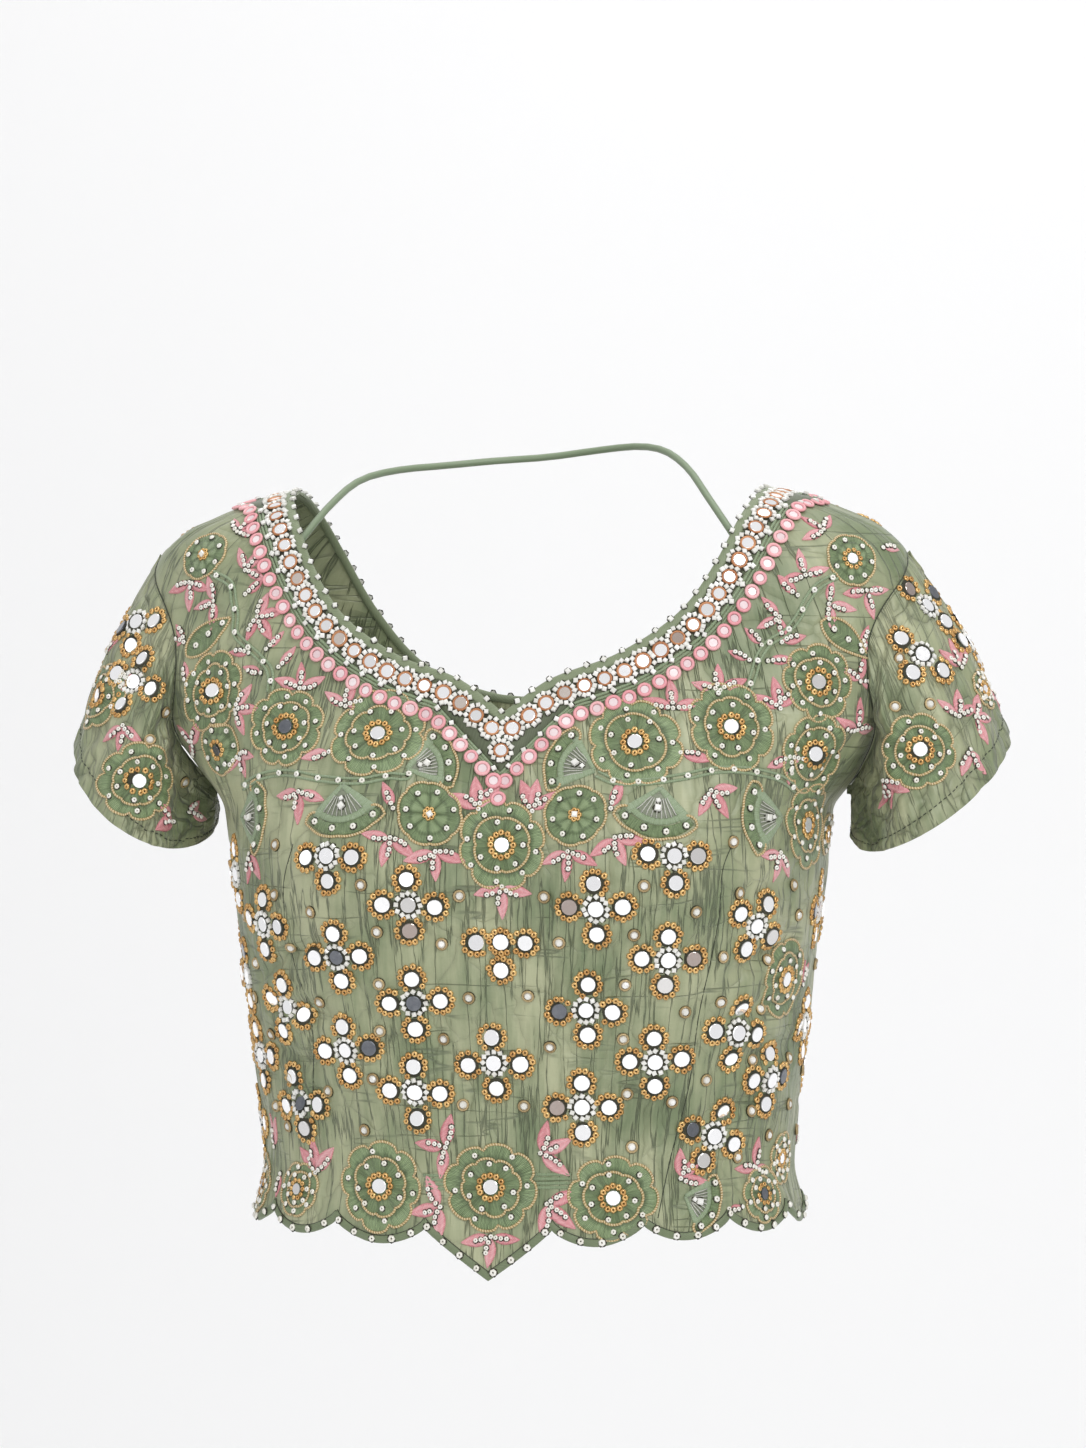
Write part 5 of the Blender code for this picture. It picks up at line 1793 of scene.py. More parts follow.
def sew_motifs(kind, seed, shapes, motifs):
    """Works the motifs of each panel that has any. Returns the trimmings by panel."""
    random = np.random.RandomState(seed)
    made = {}
    for panel, rows in motifs.items():
        if rows:
            trimming = Trimming(f"{kind}_{panel}")
            for make, bed, row in rows:
                make(trimming, shapes, bed, row, random)
            made[panel] = trimming.sewn()
    return made


def make_crosses(shapes, bodice, sleeves):
    """The mirror crosses."""
    return sew_motifs("mirror_crosses", 31, shapes, motifs_by_panel(make_cross, CROSSES, bodice, sleeves))


def make_flowers(shapes, bodice, sleeves):
    """The round satin flowers."""
    return sew_motifs("satin_flowers", 47, shapes, motifs_by_panel(make_flower, FLOWERS, bodice, sleeves))


def make_sprays(shapes, bodice, sleeves):
    """The pink sprays, and the large green leaves on the shoulders."""
    motifs = motifs_by_panel(make_spray, SPRAYS, bodice, sleeves)
    motifs["front"] += motifs_by_panel(make_green_leaf, Tables(GREEN_LEAVES), bodice)["front"]
    return sew_motifs("leaf_sprays", 59, shapes, motifs)


def make_fans_and_vines(shapes, bodice):
    """The beaded vines, the fans, and the short bars between the flowers at the hem."""
    vines = {"front": [seen_path(bodice, places, 8 * len(places)) for places in FRONT_VINES]}
    for side, name in SIDES:
        vines[f"back_{name}"] = [
            rounded_path(bodice, back_path(places, side), 8 * len(places)) for places in BACK_VINES]
    fans = motifs_by_panel(make_fan, FANS, bodice)
    bars = motifs_by_panel(make_hem_bars, Tables(HEM_BARS), bodice)
    motifs = {panel: [(make_vine, bodice, vine) for vine in lines] + fans[panel] + bars[panel]
              for panel, lines in vines.items()}
    return sew_motifs("fans_and_vines", 61, shapes, motifs)


def set_stones(shapes, bodice, sleeves):
    """The single stones."""
    return sew_motifs("cup_stones", 67, shapes, motifs_by_panel(set_stone, STONES, bodice, sleeves))


# ---------------------------------------------------------------- the neck's border and the bindings

NECK_SAMPLES = 260
POINT_DEEPENS_FROM = 12.0  # lines further than this from the neck edge run deeper below its point
POINT_DEEPER = 13.0
POINT_REACH = 0.05  # how far across the deepening may reach
BINDING_TO = 4.2  # distances from the neck edge, in millimetres
BAND_TO = 15.0
RIDGES = ((15.9, 0.8), (17.7, 0.75), (19.2, 0.5))  # (distance, radius)
MIRROR_ROW = 9.2
MIRROR_PITCH = 10.4
MIRROR_START = 0.62  # steps from the centre to the first mirror
MIRROR_BELOW_POINT = 17.9
EDGE_BEADS = -0.3
EDGE_BEAD_PITCH = 9.4
OUTER_BEADS = 16.4
OUTER_BEAD_PITCH = 10.6
PINK_ROW = 22.2
PINK_PITCH = 8.2
PINK_BELOW_POINT = 41.0
PINK_SIZE = 7.8
# The section of a folded strip on an edge: (distance in from the edge, lift), in millimetres
FOLD = (
    (1.00, 0.05), (0.94, 0.62), (0.72, 0.92), (0.34, 0.92), (0.06, 0.70), (-0.11, 0.20),
    (-0.13, -0.60), (-0.04, -1.30), (0.28, -1.80), (0.79, -1.85), (0.83, -1.20),
)
FLAT_BAND = ((0.0, -0.3), (0.02, 0.35), (0.5, 0.45), (0.98, 0.35), (1.0, -0.3))
HEM_BINDING_WIDTH = 3.4
HEM_BEAD_PITCH = 10.4
HEM_SAMPLES = 420


def brought_to_the_form(points, turn, height):
    """(turn, height) of the form's nearest places to points, from a first guess at them."""
    for _ in range(10):
        round_it = (form(turn + STEP, height) - form(turn - STEP, height)) / (2 * STEP)
        up_it = (form(turn, height + STEP) - form(turn, height - STEP)) / (2 * STEP)
        away = points - form(turn, height)
        a, b, c = (round_it**2).sum(axis=1), (round_it * up_it).sum(axis=1), (up_it**2).sum(axis=1)
        d, e = (away * round_it).sum(axis=1), (away * up_it).sum(axis=1)
        shared = a * c - b * b
        turn = turn + np.clip((c * d - b * e) / shared, -0.05, 0.05)
        height = np.clip(height + np.clip((a * e - b * d) / shared, -4 * MM, 4 * MM), -0.385, 0.010)
    return turn, height


def beside(turn, height, distance):
    """(turn, height) at a distance from a line on the form, to its left seen from outside."""
    edge, normals = form(turn, height), outward(turn, height)
    ahead = unit(np.diff(edge, axis=0))
    before, after = np.vstack([ahead[:1], ahead]), np.vstack([ahead, ahead[-1:]])
    left = np.cross(normals, before) + np.cross(normals, after)
    moved = edge + distance * 2 * left / (left**2).sum(axis=1, keepdims=True)
    return brought_to_the_form(moved, turn, height)


def to_the_point(turn, height, distance):
    """The front's line again, brought to the centre and made deeper under the neck's point."""
    across = form(turn, height)[:, 0]
    kept = across > 0
    turn, height, across = turn[kept], height[kept], across[kept]
    slope = (height[3] - height[0]) / (across[3] - across[0])
    start = np.linspace(0, across[0], 24, endpoint=False)
    height = np.concatenate([height[0] - slope * (across[0] - start), height])
    turn = np.concatenate([turn_for(start, height[:24]), turn])
    across = np.concatenate([start, across])
    if distance > POINT_DEEPENS_FROM * MM:
        height = np.minimum(height, NECK_POINT - distance - POINT_DEEPER * MM + across)
    return np.where(across < POINT_REACH, turn_for(across, height), turn), height


def neck_line(distance, back=False):
    """(turn, height) along a line at a distance outside the neck edge, in millimetres, from the centre
    to the shoulder, at even steps."""
    distance = distance * MM
    turn, height = neck(np.linspace(0, 1, NECK_SAMPLES), back)
    ridge = np.linspace(0, SHOULDER_TIP, 50)
    along_ridge = np.hypot(half_width_at(ridge) - half_width_at(0), ridge)
    end = np.interp(distance, along_ridge, ridge)
    seam = SEAM_GAP / half_width_at(end)
    if back:
        turn, height = beside(turn, height, distance)
        kept = turn > QUARTER + 2 * seam
        turn, height = np.append(turn[kept], QUARTER + seam), np.append(height[kept], end)
        turn = np.minimum(turn, math.pi - SEAM_GAP / back_depth_at(height))
    else:
        turn, height = beside(turn[::-1], height[::-1], distance)
        turn, height = to_the_point(turn[::-1], height[::-1], distance)
        kept = turn < QUARTER - 2 * seam
        turn, height = np.append(turn[kept], QUARTER - seam), np.append(height[kept], end)
    along = line_length(form(turn, height))
    steps = np.linspace(0, along[-1], NECK_SAMPLES)
    return np.interp(steps, along, turn), np.interp(steps, along, height)


def whole_front(turn, height):
    """A line of the front's left half, carried over to its right half, from right to left."""
    return np.concatenate([-turn[:0:-1], turn]), np.concatenate([height[:0:-1], height])


def neck_lines(distance):
    """The line at a distance from the neck edge on each piece: (turn, height) from right to left seen
    from that piece's outside."""
    turn, height = neck_line(distance, back=True)
    return {
        "front": whole_front(*neck_line(distance)),
        "back_left": (turn[::-1], height[::-1]),
        "back_right": (-turn, height),
    }


def hem_lines(distance):
    """The same for the hem."""
    share = np.linspace(0, 1, HEM_SAMPLES)
    front = along_hem(share)
    back = along_hem(share, back=True)[::-1]
    front[-1] -= SEAM_GAP / 2
    back[0] += SEAM_GAP / 2
    back[-1] -= SEAM_GAP / 2
    lines = {}
    runs = {"front": np.concatenate([-front[:0:-1], front]), "back_left": back, "back_right": -back[::-1]}
    for name, along in runs.items():
        height = hem_base(along) - hem_drop(along)
        turn = np.sign(along) * hem_turn(np.abs(along)) + twist_at(height)
        steepness = np.clip(np.gradient(height, along), -1.2, 1.2)
        lines[name] = turn, height + distance * MM * np.sqrt(1 + steepness**2)
    return lines


def lifted(turn, height, lift, creased):
    """Points of the creased cloth's face, raised by a lift in millimetres."""
    relief = bodice_relief(turn, height, *creased)
    return form(turn, height) + (relief + lift * MM)[..., None] * outward(turn, height)


def lay_strip(trimming, near, far, section, finish, creased):
    """A strip of cloth with a section of (share from near to far, lift), between two lines."""
    near_turn, near_height = near
    far_turn, far_height = far
    rows = []
    for share, lift in section:
        turn = near_turn + share * (far_turn - near_turn)
        height = near_height + share * (far_height - near_height)
        rows.append(lifted(turn, height, lift, creased))
    rows = np.stack(rows, axis=1)
    along = line_length(rows[:, 0]) / MM
    across = np.array([share for share, _ in section] + [section[0][0]]) * 10
    threads = np.stack(np.broadcast_arrays(along[:, None], across), axis=-1)
    trimming.skin(rows, threads, finish)


def line_points(line, creased):
    """The cloth's points and normals along a line."""
    turn, height = line
    return lifted(turn, height, 0, creased), outward(turn, height)


def bead_row(trimming, shapes, shape, size, points, normals, pitch, start, random, lift=0.1):
    """Beads at even steps on a line of the cloth."""
    along = line_length(points)
    places = np.arange(start * pitch * MM, along[-1] - 0.3 * pitch * MM, pitch * MM)
    places = places + random.uniform(-0.5, 0.5, len(places)) * MM
    spots = along_line(points, along, places)
    outs = unit(along_line(normals, along, places))
    count = len(spots)
    trimming.scatter(
        shapes[shape], spots + lift * MM * outs, unit(outs + random.uniform(-0.2, 0.2, (count, 3))),
        random.uniform(-1, 1, (count, 3)), np.full(count, size / 2) * random.uniform(0.92, 1.06, count),
        random.uniform(0, 1, count))


def both_ways(points, pitch, start, below_point):
    """Places at even steps both ways along a front line, and one below the neck's point, in millimetres."""
    middle = len(points) // 2
    halves = points[middle:], points[:middle + 1][::-1]
    pendant = form(0.0, NECK_POINT - below_point * MM)[None]
    return np.concatenate([pendant, *(stepping(half, pitch * MM, start) for half in halves)])


def mirror_places(line, piece, creased):
    """Where the border's mirrors stand on a piece."""
    points, _ = line_points(line, creased)
    if piece == "front":
        return both_ways(points, MIRROR_PITCH, MIRROR_START, MIRROR_BELOW_POINT)
    return stepping(points if piece == "back_right" else points[::-1], MIRROR_PITCH * MM, MIRROR_START)


def set_border_mirrors(trimming, shapes, tree, places, random):
    """The mirrors of the neck border, each with a copper rim and a ring of cut beads."""
    stones = bpy.context.scene.choli_stones
    size, bead = stones.border_mirror / MM, stones.crystal / MM
    kept = np.zeros((0, 3))
    for place in places:
        bed = bed_near(tree, place)
        own_size = size * random.uniform(0.94, 1.08)
        # A dark disc under the mirror and its ring: dark thread, and painted shade between the beads
        set_pieces(trimming, shapes["backing"], bed, (0, 0), 1.85 * size, random, lift=0.3, tilt=0)
        set_pieces(trimming, shapes["copper"], bed, (0, 0), 1.24 * own_size, random, lift=0.45, tilt=0.08)
        set_pieces(trimming, shapes["mirror"], bed, (0, 0), 0.91 * own_size, random, lift=0.75, tilt=0.08,
                   tints=0.8 * mirror_reflection_tints(random, 1))
        ring = ring_places(12, own_size / 2 + 0.72 * bead, random, 0.25, random.uniform(0, 1))
        points, normals, found = on_cloth(bed, ring[:, 0], ring[:, 1])
        far = found.copy()
        for i, point in enumerate(points):
            clear = not len(kept) or np.linalg.norm(kept - point, axis=1).min() > 0.74 * bead * MM
            others = np.linalg.norm(places - point, axis=1)
            far[i] = far[i] and clear and np.sort(others)[1 if len(others) > 1 else 0] > 0.6 * size * MM
        points, normals = points[far], normals[far]
        kept = np.concatenate([kept, points])
        count = len(points)
        trimming.scatter(
            shapes["crystal"], points + 0.55 * MM * normals,
            unit(normals + random.uniform(-0.25, 0.25, (count, 3))), random.uniform(-1, 1, (count, 3)),
            random.uniform(0.46, 0.53, count) * bead * MM, random.uniform(0, 1, count))


def make_neck_borders(shapes, tree, creased):
    """The folded edge, the dark band of ringed mirrors, and the ridges beside the neck."""
    random = np.random.RandomState(71)
    stones = bpy.context.scene.choli_stones
    edge, inner, outer = neck_lines(0), neck_lines(BINDING_TO), neck_lines(BAND_TO)
    row, edge_row, outer_row = neck_lines(MIRROR_ROW), neck_lines(EDGE_BEADS), neck_lines(OUTER_BEADS)
    ridges = [(neck_lines(distance), radius) for distance, radius in RIDGES]
    made = {}
    for piece in PANELS:
        border = Trimming(f"neck_border_{piece}")
        lay_strip(border, edge[piece], inner[piece], FOLD, "green_binding", creased)
        lay_strip(border, inner[piece], outer[piece], FLAT_BAND, "band_ground", creased)
        for lines, radius in ridges:
            points, normals = line_points(lines[piece], creased)
            tube(border, points, normals, radius * MM, "light_satin", lift=0.2 * MM, sides=6)
        places = mirror_places(row[piece], piece, creased)
        set_border_mirrors(border, shapes, tree, places, random)
        bead_row(border, shapes, "crystal", 1.05 * stones.crystal, *line_points(edge_row[piece], creased),
                 EDGE_BEAD_PITCH, 0.5, random, lift=0.7)
        bead_row(border, shapes, "crystal", 1.05 * stones.crystal, *line_points(outer_row[piece], creased),
                 OUTER_BEAD_PITCH, 0.5, random, lift=0.9)
        made[piece] = border.sewn()
        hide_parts(f"neck_trim_{piece}")
    return made


def make_pink_rows(shapes, tree, creased):
    """The row of pink rings with pale centres outside the border."""
    random = np.random.RandomState(73)
    lines = neck_lines(PINK_ROW)
    made = {}
    for piece in PANELS:
        row = Trimming(f"pink_rings_{piece}")
        points, _ = line_points(lines[piece], creased)
        if piece == "front":
            places = both_ways(points, PINK_PITCH, 0.5, PINK_BELOW_POINT)
        else:
            places = stepping(points, PINK_PITCH * MM)
        for place in places:
            bed = bed_near(tree, place)
            size = PINK_SIZE * random.uniform(0.92, 1.05)
            set_pieces(row, shapes["pink_ring"], bed, (0, 0), size, random, lift=0.7, tilt=0.06)
            set_pieces(row, shapes["pale"], bed, (0, 0), 0.60 * size, random, lift=1.0, tilt=0.08)
        made[piece] = row.sewn()
    return made


def make_hem_bindings(shapes, creased):
    """The bias strip folded over the scallops' edge, with a bead at each step."""
    random = np.random.RandomState(79)
    stones = bpy.context.scene.choli_stones
    edge, top, row = hem_lines(0), hem_lines(HEM_BINDING_WIDTH), hem_lines(1.5)
    made = {}
    for piece in PANELS:
        binding = Trimming(f"hem_fold_{piece}")
        lay_strip(binding, edge[piece], top[piece], FOLD, "binding_silk", creased)
        points, normals = line_points(top[piece], creased)
        # A dark line at the binding's top: thread, and the painted shadow at its edge
        tube(binding, points, normals, 0.3 * MM, "seam_thread", lift=0.12 * MM, sides=4)
        bead_row(binding, shapes, "white", 1.04 * stones.white_bead, *line_points(row[piece], creased),
                 HEM_BEAD_PITCH, 0.5, random, lift=0.9)
        made[piece] = binding.sewn()
        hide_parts(f"hem_binding_{piece}")
    return made


# ---------------------------------------------------------------- seams and the tie

STITCH_PITCH = 3.1
STITCH_LENGTH = 2.3


def sew_darts(bodice):
    """The sewn lines of the darts."""
    seams = Trimming("dart_seams")
    for dart in DARTS:
        points, normals = seen_path(bodice, dart, 70)
        # A dark line along each dart: thread, and the painted shade of its groove
        tube(seams, points, normals, 0.28 * MM, "seam_thread", lift=-0.06 * MM, sides=4)
    return seams.sewn()


def sew_sleeve(shapes, tree, side, name):
    """The seam round a sleeve's armhole and the stitched line round its hem."""
    seams = Trimming(f"sleeve_stitches_{name}")
    # A dark line round the armhole, sunk in the seam's groove: thread, and the painted shade of the groove
    points, normals = sleeve_start(np.linspace(0, math.tau, 240, endpoint=False))
    tube(seams, points * (side, 1, 1), normals * (side, 1, 1), 0.36 * MM, "seam_thread", is_closed=True,
         lift=-0.42 * MM, sides=4)
    turns = np.linspace(0, math.tau, 241)
    down = np.full_like(turns, 1 - SLEEVE_HEM_STITCH / SLEEVE_LENGTH)
    line = sleeve_surface(turns, down, side) * (side, 1, 1)
    points, normals = nearest(tree, stepping(line, STITCH_PITCH * MM))
    ahead = np.roll(points, -1, axis=0) - np.roll(points, 1, axis=0)
    count = len(points)
    seams.scatter(shapes["stitch"], points, normals, ahead, np.full(count, STITCH_LENGTH / 2 * MM),
                  np.full(count, 0.5))
    return seams.sewn()


def make_tie(finish):
    """The fabric cord from both sides of the neck edge, behind the nape."""
    turn, height = neck(np.array([TIE_ANCHOR_ALONG]))
    turn = turn + TIE_ANCHOR_IN / np.linalg.norm(form(turn, height)[:, :2], axis=1)
    sewn_at = (form(turn, height) - TIE_DEPTH * outward(turn, height))[0]
    route = [sewn_at * (-1, 1, 1), *TIE_ROUTE, sewn_at]
    points = through(route)(np.linspace(0, 1, TIE_POINTS))
    curve = bpy.data.curves.new("tie_cord", "CURVE")
    curve.dimensions = "3D"
    curve.bevel_depth = TIE_RADIUS
    curve.bevel_resolution = 4
    curve.use_fill_caps = True
    spline = curve.splines.new("POLY")
    spline.points.add(len(points) - 1)
    spline.use_smooth = True
    for knot, point in zip(spline.points, points):
        knot.co = (*point, 1)
    curve.materials.append(finish)
    tie = linked("tie_cord", curve)
    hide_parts("neck_tie")
    return tie


# ---------------------------------------------------------------- materials

def add_node(tree, kind, **settings):
    """A new node with its settings."""
    made = tree.nodes.new(kind)
    for name, value in settings.items():
        setattr(made, name, value)
    return made


def math_node(tree, operation, first, second=0.0, third=0.0):
    """A Math node on sockets or numbers. Returns its output."""
    made = add_node(tree, "ShaderNodeMath", operation=operation)
    for socket, value in zip(made.inputs, (first, second, third)):
        if isinstance(value, (int, float)):
            socket.default_value = value
        else:
            tree.links.new(value, socket)
    return made.outputs[0]


def noise_node(tree, vector, scale, detail=2.0, stretch=(1, 1, 1), roughness=0.5):
    """Noise on a vector that is stretched first. Returns its value."""
    mapping = add_node(tree, "ShaderNodeMapping")
    mapping.inputs["Scale"].default_value = stretch
    noise = add_node(tree, "ShaderNodeTexNoise")
    noise.inputs["Scale"].default_value = scale
    noise.inputs["Detail"].default_value = detail
    noise.inputs["Roughness"].default_value = roughness
    tree.links.new(vector, mapping.inputs["Vector"])
    tree.links.new(mapping.outputs[0], noise.inputs["Vector"])
    return noise.outputs[0]


def blend_colours(tree, share, first, second):
    """Mixes two colours, each a socket or a value. Returns the result."""
    made = add_node(tree, "ShaderNodeMix", data_type="RGBA")
    tree.links.new(share, made.inputs["Factor"])
    for label, value in (("A", first), ("B", second)):
        socket = [s for s in made.inputs if s.name == label and s.type == "RGBA"][0]
        if isinstance(value, bpy.types.NodeSocket):
            tree.links.new(value, socket)
        else:
            socket.default_value = (*value, 1)
    return [s for s in made.outputs if s.type == "RGBA"][0]


def new_group(name, inputs, outputs):
    """An empty group of shader nodes with its sockets: (name, kind, value) in and (name, kind) out."""
    group = bpy.data.node_groups.new(name, "ShaderNodeTree")
    for label, kind, value in inputs:
        socket = group.interface.new_socket(label, in_out="INPUT", socket_type=kind)
        if value is not None:
            socket.default_value = value
    for label, kind in outputs:
        group.interface.new_socket(label, in_out="OUTPUT", socket_type=kind)
    return group, group.nodes.new("NodeGroupInput"), group.nodes.new("NodeGroupOutput")


def crumpled(group, grain):
    """Flat facets between soft ridges, as crumpled cloth has. Returns how far each place is from a ridge,
    from 0 to 1."""
    sideways = noise_node(group, grain, 38, 2, (1.2, 0.9, 1))
    upwards = noise_node(group, grain, 44, 2, (0.8, 1.3, 1))
    drift = add_node(group, "ShaderNodeCombineXYZ")
    group.links.new(sideways, drift.inputs[0])
    group.links.new(upwards, drift.inputs[1])
    moved = add_node(group, "ShaderNodeVectorMath", operation="MULTIPLY_ADD")
    group.links.new(drift.outputs[0], moved.inputs[0])
    moved.inputs[1].default_value = (0.03, 0.03, 0)
    group.links.new(grain, moved.inputs[2])
    mapping = add_node(group, "ShaderNodeMapping")
    mapping.inputs["Rotation"].default_value = (0, 0, math.radians(28))
    mapping.inputs["Scale"].default_value = (1, 0.62, 1)
    group.links.new(moved.outputs[0], mapping.inputs["Vector"])
    cells = add_node(group, "ShaderNodeTexVoronoi", feature="DISTANCE_TO_EDGE")
    cells.inputs["Scale"].default_value = 52
    group.links.new(mapping.outputs[0], cells.inputs["Vector"])
    away = math_node(group, "MINIMUM", math_node(group, "MULTIPLY", cells.outputs["Distance"], 4.5), 1.0)
    return math_node(group, "POWER", away, 0.7)


def crushed_silk_group():
    """Upright crush lines, crumples, broad changes of tone and the fine weave of the silk. The lines, with
    the crumples' ridges, carry the painted shade of the creases, and the tone carries the painted sheen.
    """
    group, start, end = new_group(
        "Crushed silk",
        (("Grain", "NodeSocketVector", None), ("Crush", "NodeSocketFloat", 1.0),
         ("Crumple", "NodeSocketFloat", 0.5)),
        (("Tone", "NodeSocketFloat"), ("Lines", "NodeSocketFloat"), ("Height", "NodeSocketFloat")))
    grain = start.outputs["Grain"]
    broad = noise_node(group, grain, 26, 4, (1, 0.6, 1))
    streaks = noise_node(group, grain, 230, 4, (1, 0.10, 1), 0.62)
    fold = math_node(group, "ABSOLUTE", math_node(group, "SUBTRACT", noise_node(
        group, grain, 130, 4, (1, 0.075, 1), 0.58), 0.5))
    patches = noise_node(group, grain, 34, 2)
    narrow = math_node(group, "MULTIPLY_ADD", patches, -60.0, 78.0)
    lines = math_node(group, "SUBTRACT", 1.0, math_node(group, "MULTIPLY", fold, narrow))
    across = math_node(group, "ABSOLUTE", math_node(group, "SUBTRACT", noise_node(
        group, grain, 62, 3, (0.11, 1, 1), 0.5), 0.5))
    across = math_node(group, "SUBTRACT", 1.0, math_node(group, "MULTIPLY", across, 62.0))
    sparse = math_node(group, "MINIMUM", math_node(group, "MULTIPLY_ADD", patches, 7.0, -3.2), 0.8)
    across = math_node(group, "MULTIPLY", math_node(group, "MAXIMUM", across, 0.0), math_node(
        group, "MAXIMUM", sparse, 0.0))
    lines = math_node(group, "MAXIMUM", lines, across)
    lines = math_node(group, "MULTIPLY", lines, start.outputs["Crush"])
    weave = noise_node(group, grain, 900, 2, (0.35, 2.2, 1), 0.6)
    tone = math_node(group, "ADD", math_node(group, "MULTIPLY", broad, 0.72),
                     math_node(group, "MULTIPLY", streaks, 0.28))
    away = crumpled(group, grain)
    ridge = math_node(group, "POWER", math_node(group, "SUBTRACT", 1.0, away), 3.0)
    ridge = math_node(group, "MULTIPLY", ridge, math_node(group, "MULTIPLY", start.outputs["Crumple"], 0.5))
    height = math_node(group, "ADD", math_node(group, "MULTIPLY", streaks, 0.55),
                       math_node(group, "MULTIPLY", weave, 0.22))
    height = math_node(group, "SUBTRACT", height, math_node(group, "MULTIPLY", lines, 0.9))
    depth = math_node(group, "MULTIPLY", away, math_node(group, "MULTIPLY", start.outputs["Crumple"], 5.0))
    height = math_node(group, "ADD", height, depth)
    # The crumples' ridges join the lines, so that they too are painted darker as shade
    lines = math_node(group, "MAXIMUM", lines, math_node(group, "MULTIPLY", ridge, 0.9))
    for label, value in (("Tone", tone), ("Lines", lines), ("Height", height)):
        group.links.new(value, end.inputs[label])
    return group


def thread_group():
    """Close threads side by side, as satin stitch and twisted cord have."""
    group, start, end = new_group(
        "Threads",
        (("Thread", "NodeSocketVector", None), ("Per millimetre", "NodeSocketFloat", 2.0),
         ("Slant", "NodeSocketFloat", 0.0)),
        (("Tone", "NodeSocketFloat"), ("Height", "NodeSocketFloat")))
    split = add_node(group, "ShaderNodeSeparateXYZ")
    group.links.new(start.outputs["Thread"], split.inputs[0])
    ragged = noise_node(group, start.outputs["Thread"], 1.1, 1, (1, 1, 1))
    slanted = math_node(group, "MULTIPLY_ADD", split.outputs[1], start.outputs["Slant"], split.outputs[0])
    slanted = math_node(group, "MULTIPLY_ADD", ragged, 0.45, slanted)
    turns = math_node(group, "MULTIPLY", slanted, start.outputs["Per millimetre"])
    wave = math_node(group, "SINE", math_node(group, "MULTIPLY", turns, math.tau))
    wave = math_node(group, "MULTIPLY_ADD", wave, 0.5, 0.5)
    strands = noise_node(group, start.outputs["Thread"], 1.0, 2, (1.9, 0.16, 1))
    # The tone follows the wave of the threads, which is also their height, so colours blended by it are
    # painted lighter on the crowns as sheen and darker between the threads as shade; the strands add streaks
    # of their own colour
    tone = math_node(group, "ADD", math_node(group, "MULTIPLY", wave, 0.35),
                     math_node(group, "MULTIPLY", strands, 0.75))
    group.links.new(tone, end.inputs["Tone"])
    group.links.new(wave, end.inputs["Height"])
    return group


def piece_tint_group():
    """Small differences from one bead, stone or stitched shape to the next, and over each of them."""
    group, start, end = new_group(
        "Piece tint", (("Place", "NodeSocketVector", None), ("Tint", "NodeSocketFloat", 0.5)),
        (("Tone", "NodeSocketFloat"),))
    cloudy = noise_node(group, start.outputs["Place"], 700, 2)
    tone = math_node(group, "ADD", math_node(group, "MULTIPLY", start.outputs["Tint"], 0.6),
                     math_node(group, "MULTIPLY", cloudy, 0.4))
    group.links.new(tone, end.inputs["Tone"])
    return group


def placed_group(material, group, **inputs):
    """A node group placed in a material, with sockets linked and numbers set."""
    tree = material.node_tree
    made = add_node(tree, "ShaderNodeGroup", node_tree=group)
    for label, value in inputs.items():
        socket = made.inputs[label.replace("_", " ")]
        if isinstance(value, bpy.types.NodeSocket):
            tree.links.new(value, socket)
        else:
            socket.default_value = value
    return made


def new_material(name, roughness, metallic=0.0, **settings):
    """A material with its shader's own numbers set. Returns it, its tree and its shader."""
    material = bpy.data.materials.get(name) or bpy.data.materials.new(name)
    material.use_nodes = True
    tree = material.node_tree
    tree.nodes.clear()
    shader = add_node(tree, "ShaderNodeBsdfPrincipled")
    end = add_node(tree, "ShaderNodeOutputMaterial")
    tree.links.new(shader.outputs[0], end.inputs[0])
    shader.inputs["Roughness"].default_value = roughness
    shader.inputs["Metallic"].default_value = metallic
    for label, value in settings.items():
        shader.inputs[label.replace("_", " ")].default_value = value
    return material, tree, shader


def bump(tree, shader, height, distance, strength=1.0):
    """Feeds a height through a Bump node to a shader."""
    made = add_node(tree, "ShaderNodeBump")
    made.inputs["Strength"].default_value = strength
    made.inputs["Distance"].default_value = distance
    tree.links.new(height, made.inputs["Height"])
    tree.links.new(made.outputs[0], shader.inputs["Normal"])


def uv_of(tree, layer):
    """The piece's own flat coordinates."""
    return add_node(tree, "ShaderNodeUVMap", uv_map=layer).outputs[0]


def tint_of(tree):
    """The tint that each small shape carries."""
    return add_node(tree, "ShaderNodeAttribute", attribute_name="tint").outputs["Fac"]


def place_of(tree):
    """The place on the piece."""
    return add_node(tree, "ShaderNodeTexCoord").outputs["Object"]


def mixed(colour, other, share):
    """A colour part of the way to another."""
    return tuple(a + share * (b - a) for a, b in zip(colour, other))


def silk_material(group, name, colour, painted_crease_shade, painted_sheen, crush, crumple):
    """Crushed silk, softly lustrous, with painted sheen and with painted shade in its creases."""
    material, tree, shader = new_material(name, 0.42, Sheen_Weight=0.12, Sheen_Roughness=0.4,
                                          Specular_IOR_Level=0.6)
    silk = placed_group(material, group, Grain=uv_of(tree, "grain"), Crush=crush, Crumple=crumple)
    # Painted light: the broad tone blends in a pale colour as painted sheen, and the lines blend in the
    # crease colour as painted shade
    pale = mixed(colour, painted_sheen, 0.6)
    base = blend_colours(tree, math_node(tree, "MULTIPLY_ADD", silk.outputs["Tone"], 4.2, -1.6), colour, pale)
    base = blend_colours(tree, math_node(tree, "MULTIPLY", silk.outputs["Lines"], 0.84), base, painted_crease_shade)
    tree.links.new(base, shader.inputs["Base Color"])
    rough = math_node(tree, "MULTIPLY_ADD", silk.outputs["Tone"], -0.22, 0.56)
    tree.links.new(rough, shader.inputs["Roughness"])
    bump(tree, shader, silk.outputs["Height"], 0.55 * MM, 0.9)
    return material


